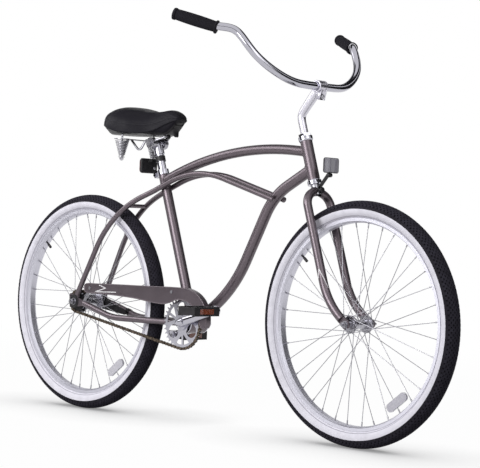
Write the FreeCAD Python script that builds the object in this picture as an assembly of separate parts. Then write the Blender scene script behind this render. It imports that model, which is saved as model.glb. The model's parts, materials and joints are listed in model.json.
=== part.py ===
"""Beach cruiser bicycle: cantilever steel frame, one-piece crank, coaster brake and spoked 26 inch wheels.

Lengths are in millimetres and angles in degrees. +X points forward, +Y to the rider's left and +Z up.
The origin lies on the ground, midway between the wheels. The drive side is the right side, at -Y.
"""

import FreeCAD
import Part
import math
import os

V = FreeCAD.Vector
ORIGIN = V(0, 0, 0)
AHEAD = V(1, 0, 0)
LEFTWARD = V(0, 1, 0)
UPWARD = V(0, 0, 1)
RIGHT = -1
LEFT = 1

# Fits and cuts
OVERRUN = 3.0  # how far a cut runs past the face that it opens
FIT = 0.05  # radial play of a running or sliding fit
GAP = 0.3  # space kept between pieces that rest on each other
CLEARANCE = 0.6  # space kept between pieces that move past each other

# Layout of the bicycle
WHEELBASE = 1094.0
HEAD_ANGLE = 72.0
SEAT_ANGLE = 71.0
FORK_RAKE = 50.0
BRACKET_DROP = 39.0  # crank axis below the wheel axles

# Drivetrain
CHAIN_PITCH = 12.7
CHAIN_LINKS = 100
CHAINRING_TEETH = 36
SPROCKET_TEETH = 16
CHAIN_LINE = 44.0  # chain plane, out from the middle of the bicycle
ROLLER_RADIUS = 3.9
CHAIN_INNER_HALF_WIDTH = 1.65
LINK_PLATE = 1.1
LINK_PLATE_GAP = 0.25
LINK_HALF_HEIGHT = 4.3
LINK_WAIST = 3.3  # half height of a link plate at its middle
LINK_WAIST_SHARE = 0.5  # where a plate's round end meets its waist, as a share of the end's radius
PIN_RADIUS = 1.8
PIN_PLAY = 0.15
PIN_HEAD = 0.5
SPROCKET_SHEET = 2.6
SEAT_PLAY = 0.3  # play of a roller in its seat between two teeth
SEAT_SPREAD = 65.0
TOOTH_HEIGHT = 4.2  # tooth tip above the pitch circle
TOOTH_TIP_SHARE = 0.16
CHAINRING_HOLE_RADIUS = 20.0
CHAINRING_HOLE_CIRCLE = 42.5
CHAINRING_HOLES = 3
CHAINRING_HOLE_ANGLE = -26.0
CHAINRING_WINDOW_OUTER = 61.0
CHAINRING_WINDOW_INNER = 27.0
CHAINRING_WINDOW_SPREAD = 52.0
CHAINRING_ARM_WIDTH = 7.0

# Tyres, inner tubes and rims
TYRE_SECTION_RADIUS = 25.5
TYRE_STAND = 27.0  # middle of the section above the bead seat
TREAD_DEPTH = 1.4
TREAD_SPREAD = 52.0  # tread edge from the crown, round the section
TYRE_WALL = 3.4
TYRE_BEAD_HALF_WIDTH = 13.2
RIM_SEAT_RADIUS = 279.5
RIM_FLANGE_HEIGHT = 6.0
RIM_DEPTH = 7.0  # bead seat to the inner face
RIM_HALF_WIDTH = 16.0
RIM_FLANGE = 2.3
RIM_SIDE_HEIGHT = 4.5
RIM_FLOOR_HALF_WIDTH = 9.0
RIM_WELL_HALF_WIDTH = 6.5
RIM_WELL_DEPTH = 3.2
RIM_WELL_SLOPE = 2.0
TUBE_RUBBER = 1.0
VALVE_RADIUS = 3.0
VALVE_CAP_RADIUS = 4.1
VALVE_CAP_LENGTH = 14.0
VALVE_REACH = 22.0  # valve stem inside the rim
VALVE_ANGLE = 140.0

# Spokes and their reflectors
SPOKES_PER_KIND = 9  # four kinds: both flanges, leaning both ways
SPOKE_PHASE_SHARE = 0.5  # of the step between spokes, which leaves the valve midway between two
SPOKE_RADIUS = 1.0
SPOKE_HEAD_RADIUS = 1.9
SPOKE_HEAD_LENGTH = 1.0
SPOKE_LEAN = 60.0  # hub hole to rim hole, round the axle
SPOKE_STAND_OFF = 1.4  # between a spoke and the face of its flange
NIPPLE_RADIUS = 1.9
NIPPLE_LENGTH = 12.0
RIM_HOLE_OFFSET = 2.0
SPOKE_REFLECTOR_LENGTH = 74.0
SPOKE_REFLECTOR_HEIGHT = 24.0
SPOKE_REFLECTOR_THICKNESS = 7.0
SPOKE_REFLECTOR_CORNER = 10.0
SPOKE_REFLECTOR_RADIUS = 246.0
SPOKE_REFLECTOR_ANGLE = -52.0

# Front hub and axle
FRONT_SPACING = 100.0  # between the fork ends
FRONT_AXLE_RADIUS = 3.97
FRONT_FLANGE_RADIUS = 24.0
FRONT_FLANGE_PLACE = 33.0
FRONT_HOLE_CIRCLE = 20.0
FRONT_BARREL_RADIUS = 12.5
FRONT_MOUTH_RADIUS = 15.0
FRONT_MOUTH_REACH = 5.0
FRONT_CONE_RADIUS = 8.0
FRONT_CONE_REACH = 3.5
FRONT_LOCKNUT_RADIUS = 8.5

# Rear hub, axle and coaster brake
REAR_SPACING = 110.0  # between the dropouts
REAR_AXLE_RADIUS = 4.76
REAR_FLANGE_RADIUS = 34.0
REAR_FLANGE_PLACES = {RIGHT: 28.0, LEFT: 31.0}
REAR_HOLE_CIRCLE = 30.0
REAR_BARREL_RADIUS = 22.5
REAR_MOUTH_RADIUS = 24.5
REAR_MOUTH_REACH = 5.0
BRAKE_CONE_RADIUS = 18.0
BRAKE_CONE_LENGTH = 11.0
DRIVER_RADIUS = 16.0
DRIVER_LENGTH = 26.0
HUB_CAVITY_RADIUS = 19.2
BRAKE_SHOE_WALL = 5.5
BRAKE_SHOE_SLIT = 2.0
BRAKE_ARM_HUB_RADIUS = 19.0
BRAKE_ARM_TIP_RADIUS = 8.0
BRAKE_ARM_SHEET = 3.0
REAR_LOCKNUT_RADIUS = 9.5
REAR_CONE_RADIUS = 10.0
HUB_FLANGE = 3.0
SPOKE_HOLE_PLAY = 0.2
CLIP_PLACE = 84.0  # along the chain stay from its rear end
CLIP_SHEET = 1.5
CLIP_WIDTH = 14.0
CLIP_BOLT_RADIUS = 3.0

# Axle nuts
WASHER = 1.6
WASHER_BRIM = 6.0
AXLE_NUT_HEIGHT = 8.5
FRONT_NUT_FLATS = 14.0
REAR_NUT_FLATS = 16.0
AXLE_THREAD_END = 2.0  # bare thread past the nut
AXLE_TIP = 6.0
AXLE_TIP_SHARE = 0.86  # radius of the turned tip to the axle

# Frame tubes
TUBE_WALL = 1.8
HEAD_TUBE_RADIUS = 17.0
HEAD_TUBE_LENGTH = 112.0
HEADSET_STACK = 13.0  # crown race seat to the head tube
TOP_TUBE_RADIUS = 14.0
TOP_TUBE_SEAT_HEIGHT = 440.0
TOP_TUBE_HEAD_HEIGHT = 81.0  # above the lower end of the head tube
TOP_TUBE_BOW = 40.0
DOWN_TUBE_RADIUS = 15.9
DOWN_TUBE_HEAD_HEIGHT = 32.0
DOWN_TUBE_BEND_SHARES = ((0.358, 0.227), (0.684, 0.832))
DOWN_TUBE_LOWER_BEND = 400.0
DOWN_TUBE_UPPER_BEND = 200.0
SEAT_TUBE_RADIUS = 15.0
SEAT_TUBE_LENGTH = 470.0
SHELL_RADIUS = 28.5
SHELL_WALL = 3.0
SHELL_HALF_WIDTH = 34.0
CANTILEVER_RADIUS = 8.0
CANTILEVER_SEAT_HEIGHT = 420.0
CANTILEVER_RISE = 22.7  # degrees up towards the front where the tubes pass the seat tube
CANTILEVER_BACK = 203.0
CANTILEVER_NECK = 30.0
CANTILEVER_FORE = 157.0
CANTILEVER_TIP = 12.0
CANTILEVER_SPREAD = 47.0
CANTILEVER_REAR_BEND = 340.0
CANTILEVER_NECK_BEND = 200.0
CANTILEVER_FRONT_BEND = 335.0
CHAIN_STAY_RADIUS = 9.5
CHAIN_STAY_START = 46.0
CHAIN_STAY_START_DROP = 4.0
CHAIN_STAY_DIP_SHARE = 0.364  # of the run from the rear axle to the crank axis
CHAIN_STAY_WHEEL_SHARE = 0.652
CHAIN_STAY_NECK_SHARE = 0.835
CHAIN_STAY_DIP_SPREAD = 54.0
CHAIN_STAY_WHEEL_SPREAD = 44.5
CHAIN_STAY_END_SPREAD = 23.5
CHAIN_STAY_DIP_BEND = 220.0
CHAIN_STAY_WHEEL_BEND = 120.0
CHAIN_STAY_NECK_BEND = 60.0
STAY_BRIDGE_RADIUS = 6.0
STAY_BRIDGE_SHARE = 0.75  # along the rear bend of the cantilever tubes
CHAIN_STAY_BRIDGE_SHARE = 0.6

# Dropouts
DROPOUT_SHEET = 5.0
DROPOUT_RADIUS = 17.0
DROPOUT_STAY_RADIUS = 8.0
DROPOUT_STAY_AHEAD = 12.0
DROPOUT_STAY_ABOVE = 22.0
SLOT_PLAY = 0.15
EYELET_RADIUS = 7.5
EYELET_BORE = 2.6
EYELET_BACK = 15.0
EYELET_ABOVE = 17.0

# Seat collar and chain guard
COLLAR_WALL = 3.2
COLLAR_HEIGHT = 15.0
COLLAR_LIP = 4.0
COLLAR_LUG_LENGTH = 13.0
COLLAR_LUG_HALF_WIDTH = 9.0
COLLAR_SLIT = 3.0
COLLAR_BOLT_RADIUS = 3.0
COLLAR_BOLT_HEAD = 4.5
COLLAR_BOLT_FLATS = 10.0
GUARD_FACE = 62.5  # outer face of the guard, out from the middle of the bicycle
GUARD_SHEET = 1.2
GUARD_FLANGE = 21.0
GUARD_RADIUS = 119.0
GUARD_RISE = 104.0
GUARD_NOTCH_RADIUS = 70.0
GUARD_TAIL = 421.0
GUARD_TAIL_DEPTH = 33.0
GUARD_FRONT_DEPTH = 47.0
GUARD_TAIL_CORNER = 14.0
GUARD_END_ANGLE = -13.0
GUARD_SCREW_RADIUS = 2.5
GUARD_SCREW_HEAD_RADIUS = 4.8
GUARD_SCREW_HEAD = 2.4
GUARD_TAIL_SCREW_AHEAD = 30.0
GUARD_TAIL_SCREW_BELOW = 20.0
GUARD_STRAP = 12.0
GUARD_BAND_WALL = 2.0
GUARD_BAND_HEIGHT = 12.0
GUARD_ARM_BELOW = 13.0

# Headset and bottom bracket bearings
CUP_WALL = 2.0
CUP_HEIGHT = 9.0
CUP_RADIUS = 20.0
CUP_SEAT_DEPTH = 9.0
CUP_FLOOR = 3.0
HEADSET_BALLS = 20
HEADSET_BALL_RADIUS = 2.0
LOCKNUT_HEIGHT = 8.0
LOCKNUT_FLATS = 32.0
BRACKET_CUP_BRIM = 3.5
BRACKET_CUP_DEPTH = 10.0
BRACKET_CUP_FLOOR = 3.0
BRACKET_BALLS = 9
BRACKET_BALL_RADIUS = 3.1
BRACKET_CONE_RADIUS = 15.0
BRACKET_NUT_FLATS = 34.0
BRACKET_NUT_HEIGHT = 6.0

# Fork
CROWN_RISE = 76.0  # crown race seat along the steering axis, past the tyre's radius
STEERER_RADIUS = 12.7
STEERER_BORE = 11.1
STEERER_TAIL = 30.0  # steerer below the crown race seat
LOCKNUT_LIP = 1.0  # locknut past the end of the steerer
BLADE_RADIUS = 12.0
BLADE_SPREAD = 48.0
BLADE_SHOULDER = 38.0  # where the blades turn inwards, below the crown race seat
BLADE_CROWN_DROP = 15.0
BLADE_CROWN_BEND = 40.0
BLADE_RAKE_HEIGHT = 76.0
BLADE_RAKE_BEND = 190.0
BLADE_END = 20.0  # blade end to the axle
FORK_END_SHEET = 5.0
FORK_END_RADIUS = 13.0
FORK_END_ROOT_RADIUS = 10.0
FORK_END_LAP = 10.0

# Reflectors
REFLECTOR_WIDTH = 62.0
REFLECTOR_HEIGHT = 42.0
REFLECTOR_DEPTH = 10.0
REFLECTOR_CORNER = 9.0
REFLECTOR_LENS_DEPTH = 3.0
REFLECTOR_RIM = 2.5
BRACKET_STRAP_WIDTH = 14.0
BRACKET_STRAP = 2.5
FRONT_BRACKET_KNEE = 12.0
FRONT_BRACKET_AHEAD = 34.0
FRONT_BRACKET_ABOVE = 40.0
FRONT_BRACKET_TAB = 40.0
BRACKET_BEND = 8.0
KNOB_RADIUS = 7.0
KNOB_LENGTH = 9.0
REAR_BAND_HEIGHT = 16.0
REAR_BAND_WALL = 2.5
REAR_BAND_PLACE = 50.0  # below the saddle clamp axis, along the post
REAR_REFLECTOR_BACK = 48.0
REAR_REFLECTOR_DROP = 20.0

# Stem and handlebar
QUILL_DEPTH = 68.0
STEM_CORNER = 92.0  # above the locknut, along the steering axis
STEM_BEND = 26.0
STEM_ARM = 89.0
STEM_ARM_ANGLE = 29.0
STEM_CLAMP_RADIUS = 17.5
STEM_CLAMP_HALF_WIDTH = 19.0
STEM_CLAMP_LUG = 16.0
STEM_CLAMP_LUG_HALF_WIDTH = 11.0
STEM_CLAMP_SLIT = 3.0
STEM_BOLT_RADIUS = 4.0
STEM_BOLT_FLATS = 13.0
STEM_BOLT_HEAD = 6.0
WEDGE_LENGTH = 24.0
WEDGE_SLANT = 35.0
STEM_BOSS = 15.0
CLAMP_BOLT_RADIUS = 3.5
CLAMP_BOLT_FLATS = 12.0
CLAMP_BOLT_HEAD = 6.0
BAR_RADIUS = 11.1
BAR_WALL = 2.0
BAR_CENTRE_SIDE = 118.0
BAR_CENTRE_BEND = 90.0
BAR_SHOULDER_BACK = 80.0
BAR_SHOULDER_RISE = 122.0
BAR_SHOULDER_SIDE = 250.0
BAR_SHOULDER_BEND = 100.0
BAR_END_BACK = 231.0
BAR_END_RISE = 174.0
BAR_END_SIDE = 343.0
GRIP_LENGTH = 126.0
GRIP_RADIUS = 15.5
GRIP_WAIST = 14.6
GRIP_FLANGE_RADIUS = 18.5
GRIP_FLANGE = 5.0
GRIP_CAP = 4.0
GRIP_RIBS = 9

# Crank and pedals
CRANK_LENGTH = 165.0
CRANK_ANGLE = 16.5
SPINDLE_RADIUS = 11.1
CRANK_PLANE = 73.5  # middle of a crank arm, out from the middle of the bicycle
CRANK_BEND = 24.0
CRANK_ARM_HALF_DEPTH = 7.5
CRANK_ARM_HALF_WIDTH = 13.0
CRANK_TIP_HALF_DEPTH = 7.0
CRANK_TIP_HALF_WIDTH = 10.0
CRANK_EYE_RADIUS = 14.5
CRANK_EYE_HALF_DEPTH = 8.5
CRANK_SHOULDER_RADIUS = 19.0
CRANK_SHOULDER = 5.0
PEDAL_AXLE_RADIUS = 6.0
PEDAL_AXLE_FLATS = 15.0
PEDAL_AXLE_COLLAR = 5.0
PEDAL_LENGTH = 98.0
PEDAL_HALF_WIDTH = 33.0
PEDAL_HALF_HEIGHT = 13.0
PEDAL_RAIL = 9.0
PEDAL_END = 10.0
PEDAL_BARREL_RADIUS = 11.0
PEDAL_WEB = 8.0
PEDAL_GROOVES = 9
PEDAL_GROOVE_WIDTH = 3.0
PEDAL_GROOVE_DEPTH = 2.0
PEDAL_CAP = 6.0
PEDAL_REFLECTOR_LENGTH = 54.0
PEDAL_REFLECTOR_HEIGHT = 15.0
PEDAL_REFLECTOR_DEPTH = 4.0

# Seat post and saddle
POST_RADIUS = 12.7
POST_WALL = 2.2
POST_HEIGHT = 545.0  # crank axis to the top of the post, along the seat tube
POST_DEPTH = 130.0  # post inside the seat tube
SADDLE_AXIS_HEIGHT = 559.0  # crank axis to the clamp bolt, along the seat tube
CLAMP_SOCKET_RADIUS = 16.0
CLAMP_SOCKET_DEPTH = 22.0
CLAMP_BARREL_RADIUS = 13.0
CLAMP_BARREL_HALF_WIDTH = 17.0
CLAMP_PLATE_RADIUS = 17.0
CLAMP_PLATE = 13.0
SADDLE_BOLT_RADIUS = 4.0
SADDLE_BOLT_FLATS = 13.0
SADDLE_BOLT_HEAD = 6.5
RAIL_RADIUS = 3.5
RAIL_ABOVE = 8.5
RAIL_BEND = 10.0
RAIL_NOSE_BEND = 5.0
RAIL_NOSE_SIDE = 9.0
RAIL_FORE = 17.0
RAIL_BACK = 26.0
RAIL_DIP_BACK = 43.0
RAIL_DIP_BELOW = 26.0
RAIL_DIP_SIDE = 32.0
RAIL_REAR_BACK = 76.0
RAIL_REAR_SIDE = 36.0
SADDLE_PIVOT_AHEAD = 44.0
SADDLE_PIVOT_ABOVE = 20.0
PIVOT_LUG_RADIUS = 7.0
PIVOT_LUG_HALF_WIDTH = 5.0
SPRING_BACK = 86.0  # springs behind the clamp bolt
SPRING_SIDE = 65.0
SPRING_PLATE_ABOVE = 9.0
SPRING_PLATE = 2.5
SPRING_PLATE_RADIUS = 24.0
SPRING_PLATE_WIDTH = 26.0
SPRING_HEIGHT = 52.0
SPRING_TOP_RADIUS = 20.0
SPRING_FOOT_RADIUS = 7.0
SPRING_WIRE_RADIUS = 2.0
SPRING_TURNS = 10
SPRING_QUARTERS = 4
ROD_RADIUS = 3.0
ROD_PLAY = 2.5  # room for the rods to swing in the plate
ROD_NUT_FLATS = 11.0
ROD_NUT_HEIGHT = 7.0
ROD_WASHER_RADIUS = 10.0
ROD_WASHER = 1.5
SADDLE_LENGTH = 262.0
SADDLE_NOSE_AHEAD = 109.0  # nose tip ahead of the clamp bolt
SADDLE_WIDTH = 222.0
SADDLE_HEIGHT = 82.0
SADDLE_FLOOR_ABOVE = 29.0  # underside of the cover above the clamp bolt
BASE_SHEET = 4.0
BASE_GAP = 0.9  # below the floor of the cover
BASE_WIDTH_SHARE = 0.86
BASE_FRONT_SHARE = 0.80
# Stations from the rear to the nose: place, half width, and the heights of the top, the side and the floor
SADDLE_STATION_SHARES = (
    (0.00, 0.60, 0.72, 0.34, 0.06),
    (0.05, 0.84, 0.90, 0.40, 0.00),
    (0.18, 1.00, 1.00, 0.42, 0.00),
    (0.34, 0.90, 0.95, 0.42, 0.00),
    (0.50, 0.62, 0.85, 0.42, 0.00),
    (0.68, 0.38, 0.81, 0.42, 0.00),
    (0.80, 0.33, 0.82, 0.40, 0.00),
    (0.89, 0.30, 0.81, 0.36, -0.10),
    (0.96, 0.26, 0.72, 0.30, -0.12),
    (1.00, 0.19, 0.56, 0.24, -0.02),
)
SADDLE_FLOOR_WIDTH_SHARE = 0.90
SADDLE_SHOULDER_WIDTH_SHARE = 0.80
SADDLE_SHOULDER_HEIGHT_SHARE = 0.80


# Shapes that the pieces are made of


def cylinder(radius, start, end):
    """Round bar between two points."""
    axis = end - start
    return Part.makeCylinder(radius, axis.Length, start, axis)


def ring(outer, inner, start, end):
    """Straight tube between two points, open at both ends."""
    past = (end - start).normalize() * OVERRUN
    return cylinder(outer, start, end).cut(cylinder(inner, start - past, end + past))


def box(first, second):
    """Box between two opposite corners."""
    low = V(min(first.x, second.x), min(first.y, second.y), min(first.z, second.z))
    size = V(abs(first.x - second.x), abs(first.y - second.y), abs(first.z - second.z))
    return Part.makeBox(size.x, size.y, size.z, low)


def placed(shape, frame):
    """Copy of a shape, moved from a frame of its own to that frame's place on the bicycle."""
    moved = shape.copy()
    moved.Placement = frame.multiply(shape.Placement)
    return moved


def along(start, direction):
    """Frame at a point, with its Z axis along a direction."""
    return FreeCAD.Placement(start, FreeCAD.Rotation(UPWARD, direction))


def turned(outline):
    """Solid of revolution about Z. The outline lists distances along the axis and radii."""
    points = [V(radius, 0, height) for height, radius in outline]
    face = Part.Face(Part.makePolygon(points + points[:1]))
    return face.revolve(ORIGIN, UPWARD, 360)


def hexagon(flats, start, end):
    """Six-sided bar between two points."""
    axis = end - start
    radius = flats / math.sqrt(3)
    angles = [math.radians(60 * side) for side in range(7)]
    wire = Part.makePolygon([V(radius * math.cos(a), radius * math.sin(a), 0) for a in angles])
    return placed(Part.Face(wire).extrude(UPWARD * axis.Length), along(start, axis))


def bolt(radius, length, flats, head, start, direction):
    """Hexagon bolt whose head sits at a point, with its shank along a direction."""
    step = direction.normalize()
    shank = cylinder(radius, start, start + step * length)
    return hexagon(flats, start - step * head, start).fuse(shank).removeSplitter()


def bent_path(points, bends):
    """Wire of straight runs joined by tangent arcs, with one bend radius for each inner point."""
    edges = []
    start = points[0]
    for before, corner, after, bend in zip(points, points[1:], points[2:], bends):
        back = (before - corner).normalize()
        onward = (after - corner).normalize()
        half = back.getAngle(onward) / 2
        reach = bend / math.tan(half)
        middle = corner + (back + onward).normalize() * (bend / math.sin(half) - bend)
        edges.append(Part.makeLine(start, corner + back * reach))
        start = corner + onward * reach
        edges.append(Part.Arc(edges[-1].Vertexes[1].Point, middle, start).toShape())
    edges.append(Part.makeLine(start, points[-1]))
    return Part.Wire(edges)


def swept(path, radius):
    """Round bar along a wire."""
    first = path.OrderedEdges[0]
    start = first.valueAt(first.FirstParameter)
    direction = first.tangentAt(first.FirstParameter)
    solid = path.makePipeShell([Part.Wire(Part.makeCircle(radius, start, direction))], True, False)
    if solid.Volume < 0:
        solid.reverse()
    return solid


def tube(path, radius, wall):
    """Round tube along a wire, open at both ends."""
    return swept(path, radius).cut(swept(path, radius - wall))


def disc_plate(first, second, first_radius, second_radius, near, far):
    """Flat plate across Y whose outline wraps two discs, from one side place to another."""
    run = V(second.x - first.x, 0, second.z - first.z)
    heading = math.atan2(run.z, run.x)
    spread = math.acos((first_radius - second_radius) / run.Length)
    first = V(first.x, near, first.z)
    second = V(second.x, near, second.z)

    def rim(centre, radius, angle):
        return centre + V(radius * math.cos(angle), 0, radius * math.sin(angle))

    upper = heading + spread
    lower = heading - spread
    edges = [
        Part.makeLine(rim(first, first_radius, upper), rim(second, second_radius, upper)),
        Part.Arc(
            rim(second, second_radius, upper),
            rim(second, second_radius, heading),
            rim(second, second_radius, lower),
        ).toShape(),
        Part.makeLine(rim(second, second_radius, lower), rim(first, first_radius, lower)),
        Part.Arc(
            rim(first, first_radius, lower),
            rim(first, first_radius, heading + math.pi),
            rim(first, first_radius, upper),
        ).toShape(),
    ]
    return Part.Face(Part.Wire(edges)).extrude(LEFTWARD * (far - near))


def rounded_plate(width, height, corner, depth):
    """Plate with rounded corners, centred on the YZ plane and grown along X."""
    plate = box(V(0, -width / 2, -height / 2), V(depth, width / 2, height / 2))
    edges = [edge for edge in plate.Edges if abs(edge.tangentAt(edge.FirstParameter).x) > 0.5]
    return plate.makeFillet(corner, edges)


def strap(points, bend, width, sheet):
    """Bent flat strip that runs through points in the plane Y = 0."""
    path = bent_path(points, [bend] * (len(points) - 2))
    run = (points[1] - points[0]).normalize()
    across = run.cross(LEFTWARD) * (sheet / 2)
    side = LEFTWARD * (width / 2)
    start = points[0]
    corners = [start + across + side, start - across + side, start - across - side, start + across - side]
    profile = Part.makePolygon(corners + corners[:1])
    solid = path.makePipeShell([profile], True, False)
    if solid.Volume < 0:
        solid.reverse()
    return solid


def mirrored(shape):
    """The same piece on the other side of the bicycle."""
    return shape.mirror(ORIGIN, LEFTWARD)


def polar(centre, radius, angle):
    """Point round a centre in the plane of the wheels, with the angle in radians from straight ahead."""
    return centre + V(radius * math.cos(angle), 0, radius * math.sin(angle))


# Chain path round the chainring and the sprocket


def pitch_radius(teeth):
    """Radius of the roller centres on a sprocket."""
    return CHAIN_PITCH / (2 * math.sin(math.pi / teeth))


def chain_runs(centres):
    """Straight run, tangent angle and the two wraps, for a distance between the centres."""
    slope = math.asin((pitch_radius(CHAINRING_TEETH) - pitch_radius(SPROCKET_TEETH)) / centres)
    straight = centres * math.cos(slope)
    ring_wrap = CHAINRING_TEETH * CHAIN_PITCH * (0.5 + slope / math.pi)
    sprocket_wrap = SPROCKET_TEETH * CHAIN_PITCH * (0.5 - slope / math.pi)
    return straight, slope, ring_wrap, sprocket_wrap


def chain_centres():
    """Distance between the crank axis and the rear axle at which the whole chain is taut."""
    length = CHAIN_LINKS * CHAIN_PITCH
    low = length / 8
    high = length / 2
    for _ in range(60):
        middle = (low + high) / 2
        straight, _, ring_wrap, sprocket_wrap = chain_runs(middle)
        if 2 * straight + ring_wrap + sprocket_wrap > length:
            high = middle
        else:
            low = middle
    return middle


# Places that the pieces share

TYRE_CENTRE_RADIUS = RIM_SEAT_RADIUS + TYRE_STAND
TYRE_RADIUS = TYRE_CENTRE_RADIUS + TYRE_SECTION_RADIUS
AXLE_HEIGHT = TYRE_RADIUS
FORK_LENGTH = TYRE_RADIUS + CROWN_RISE
REAR = V(-WHEELBASE / 2, 0, AXLE_HEIGHT)
FRONT = V(WHEELBASE / 2, 0, AXLE_HEIGHT)
CENTRES = chain_centres()
BRACKET = REAR + V(math.sqrt(CENTRES**2 - BRACKET_DROP**2), 0, -BRACKET_DROP)
STEER = FreeCAD.Rotation(LEFTWARD, HEAD_ANGLE - 90)
STEER_FRAME = FreeCAD.Placement(FRONT - STEER.multVec(AHEAD) * FORK_RAKE, STEER)
SEAT_FRAME = FreeCAD.Placement(BRACKET, FreeCAD.Rotation(LEFTWARD, SEAT_ANGLE - 90))
ACROSS = FreeCAD.Rotation(AHEAD, -90)
REAR_FRAME = FreeCAD.Placement(REAR, ACROSS)
FRONT_FRAME = FreeCAD.Placement(FRONT, ACROSS)
HEAD_BOTTOM = FORK_LENGTH + HEADSET_STACK
HEAD_TOP = HEAD_BOTTOM + HEAD_TUBE_LENGTH
LOCKNUT_TOP = HEAD_TOP + HEADSET_STACK + LOCKNUT_HEIGHT
REAR_HALF = REAR_SPACING / 2
FRONT_HALF = FRONT_SPACING / 2
DROPOUT_MIDDLE = REAR_HALF + DROPOUT_SHEET / 2
RIM_INNER_RADIUS = RIM_SEAT_RADIUS - RIM_DEPTH
POST_BORE = POST_RADIUS + FIT
SADDLE_AXIS = SEAT_FRAME.multVec(V(0, 0, SADDLE_AXIS_HEIGHT))
STEM_CORNER_POINT = STEER_FRAME.multVec(V(0, 0, LOCKNUT_TOP + STEM_CORNER))
STEM_RUN = V(math.cos(math.radians(STEM_ARM_ANGLE)), 0, math.sin(math.radians(STEM_ARM_ANGLE)))
BAR_CENTRE = STEM_CORNER_POINT + STEM_RUN * STEM_ARM


def steering(height, forward=0, side=0):
    """Point by its height up the steering axis from the axle, its reach forward and its side."""
    return STEER_FRAME.multVec(V(forward, side, height))


def seat_line(height, forward=0, side=0):
    """Point by its height up the seat tube from the crank axis, its reach forward and its side."""
    return SEAT_FRAME.multVec(V(forward, side, height))


def from_bracket(ahead, side, above):
    """Point by its place from the crank axis."""
    return BRACKET + V(ahead, side, above)


def from_rear(ahead, side, above):
    """Point by its place from the rear axle."""
    return REAR + V(ahead, side, above)


# Frame


def head_tube_bar():
    return cylinder(HEAD_TUBE_RADIUS, steering(HEAD_BOTTOM), steering(HEAD_TOP))


def seat_tube_bar():
    return cylinder(SEAT_TUBE_RADIUS, BRACKET, seat_line(SEAT_TUBE_LENGTH))


def shell_bar():
    side = V(0, SHELL_HALF_WIDTH, 0)
    return cylinder(SHELL_RADIUS, BRACKET - side, BRACKET + side)


def head_tube():
    return ring(HEAD_TUBE_RADIUS, HEAD_TUBE_RADIUS - TUBE_WALL, steering(HEAD_BOTTOM), steering(HEAD_TOP))


def seat_tube():
    walls = ring(SEAT_TUBE_RADIUS, POST_BORE, BRACKET, seat_line(SEAT_TUBE_LENGTH))
    return walls.cut(shell_bar())


def top_tube():
    start = seat_line(TOP_TUBE_SEAT_HEIGHT)
    end = steering(HEAD_BOTTOM + TOP_TUBE_HEAD_HEIGHT)
    rise = (end - start).cross(LEFTWARD).normalize() * TOP_TUBE_BOW
    path = Part.Wire(Part.Arc(start, (start + end) / 2 + rise, end).toShape())
    return tube(path, TOP_TUBE_RADIUS, TUBE_WALL).cut(head_tube_bar().fuse(seat_tube_bar()))


def down_tube_points():
    end = steering(HEAD_BOTTOM + DOWN_TUBE_HEAD_HEIGHT)
    run = end - BRACKET
    bends = [BRACKET + V(run.x * ahead, 0, run.z * up) for ahead, up in DOWN_TUBE_BEND_SHARES]
    return [BRACKET, *bends, end]


def down_tube_path():
    return bent_path(down_tube_points(), [DOWN_TUBE_LOWER_BEND, DOWN_TUBE_UPPER_BEND])


def down_tube():
    return tube(down_tube_path(), DOWN_TUBE_RADIUS, TUBE_WALL).cut(head_tube_bar().fuse(shell_bar()))


def bottom_bracket_shell():
    side = V(0, SHELL_HALF_WIDTH, 0)
    return ring(SHELL_RADIUS, SHELL_RADIUS - SHELL_WALL, BRACKET - side, BRACKET + side)


def cantilever_path():
    """Left cantilever tube: up from the dropout, past the seat tube and down to the down tube."""
    rise = math.radians(CANTILEVER_RISE)
    uphill = V(math.cos(rise), 0, math.sin(rise))
    waist = SEAT_TUBE_RADIUS + CANTILEVER_RADIUS
    passing = seat_line(CANTILEVER_SEAT_HEIGHT) + V(0, waist, 0)
    upper_bend = down_tube_path().OrderedEdges[3]
    meeting = upper_bend.valueAt((upper_bend.FirstParameter + upper_bend.LastParameter) / 2)
    meeting = meeting + V(0, DOWN_TUBE_RADIUS + CANTILEVER_RADIUS, 0)
    crest = passing + uphill * CANTILEVER_FORE
    rear_bend = passing - uphill * CANTILEVER_BACK
    points = [
        from_rear(DROPOUT_STAY_AHEAD, DROPOUT_MIDDLE, DROPOUT_STAY_ABOVE),
        V(rear_bend.x, CANTILEVER_SPREAD, rear_bend.z),
        passing - uphill * CANTILEVER_NECK,
        crest,
        meeting + (meeting - crest).normalize() * CANTILEVER_TIP,
    ]
    return bent_path(points, [CANTILEVER_REAR_BEND, CANTILEVER_NECK_BEND, CANTILEVER_FRONT_BEND])


def cantilever_tube():
    """Left cantilever tube in two lengths that meet beside the seat tube."""
    path = cantilever_path()
    last = path.OrderedEdges[-1]
    tip = last.valueAt(last.LastParameter)
    heading = last.tangentAt(last.LastParameter)
    cap = cylinder(CANTILEVER_RADIUS, tip - heading * TUBE_WALL, tip)
    walls = tube(path, CANTILEVER_RADIUS, TUBE_WALL).fuse(cap)
    walls = walls.cut(dropout()).cut(seat_tube_bar()).cut(swept(down_tube_path(), DOWN_TUBE_RADIUS))
    reach = V(WHEELBASE, WHEELBASE, WHEELBASE)
    turn = FreeCAD.Rotation(LEFTWARD, -CANTILEVER_RISE)
    splice = FreeCAD.Placement(seat_line(CANTILEVER_SEAT_HEIGHT), turn)
    fore = placed(box(V(0, -WHEELBASE, -WHEELBASE), reach), splice)
    return Part.makeCompound(walls.cut(fore).Solids + walls.common(fore).Solids)


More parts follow.
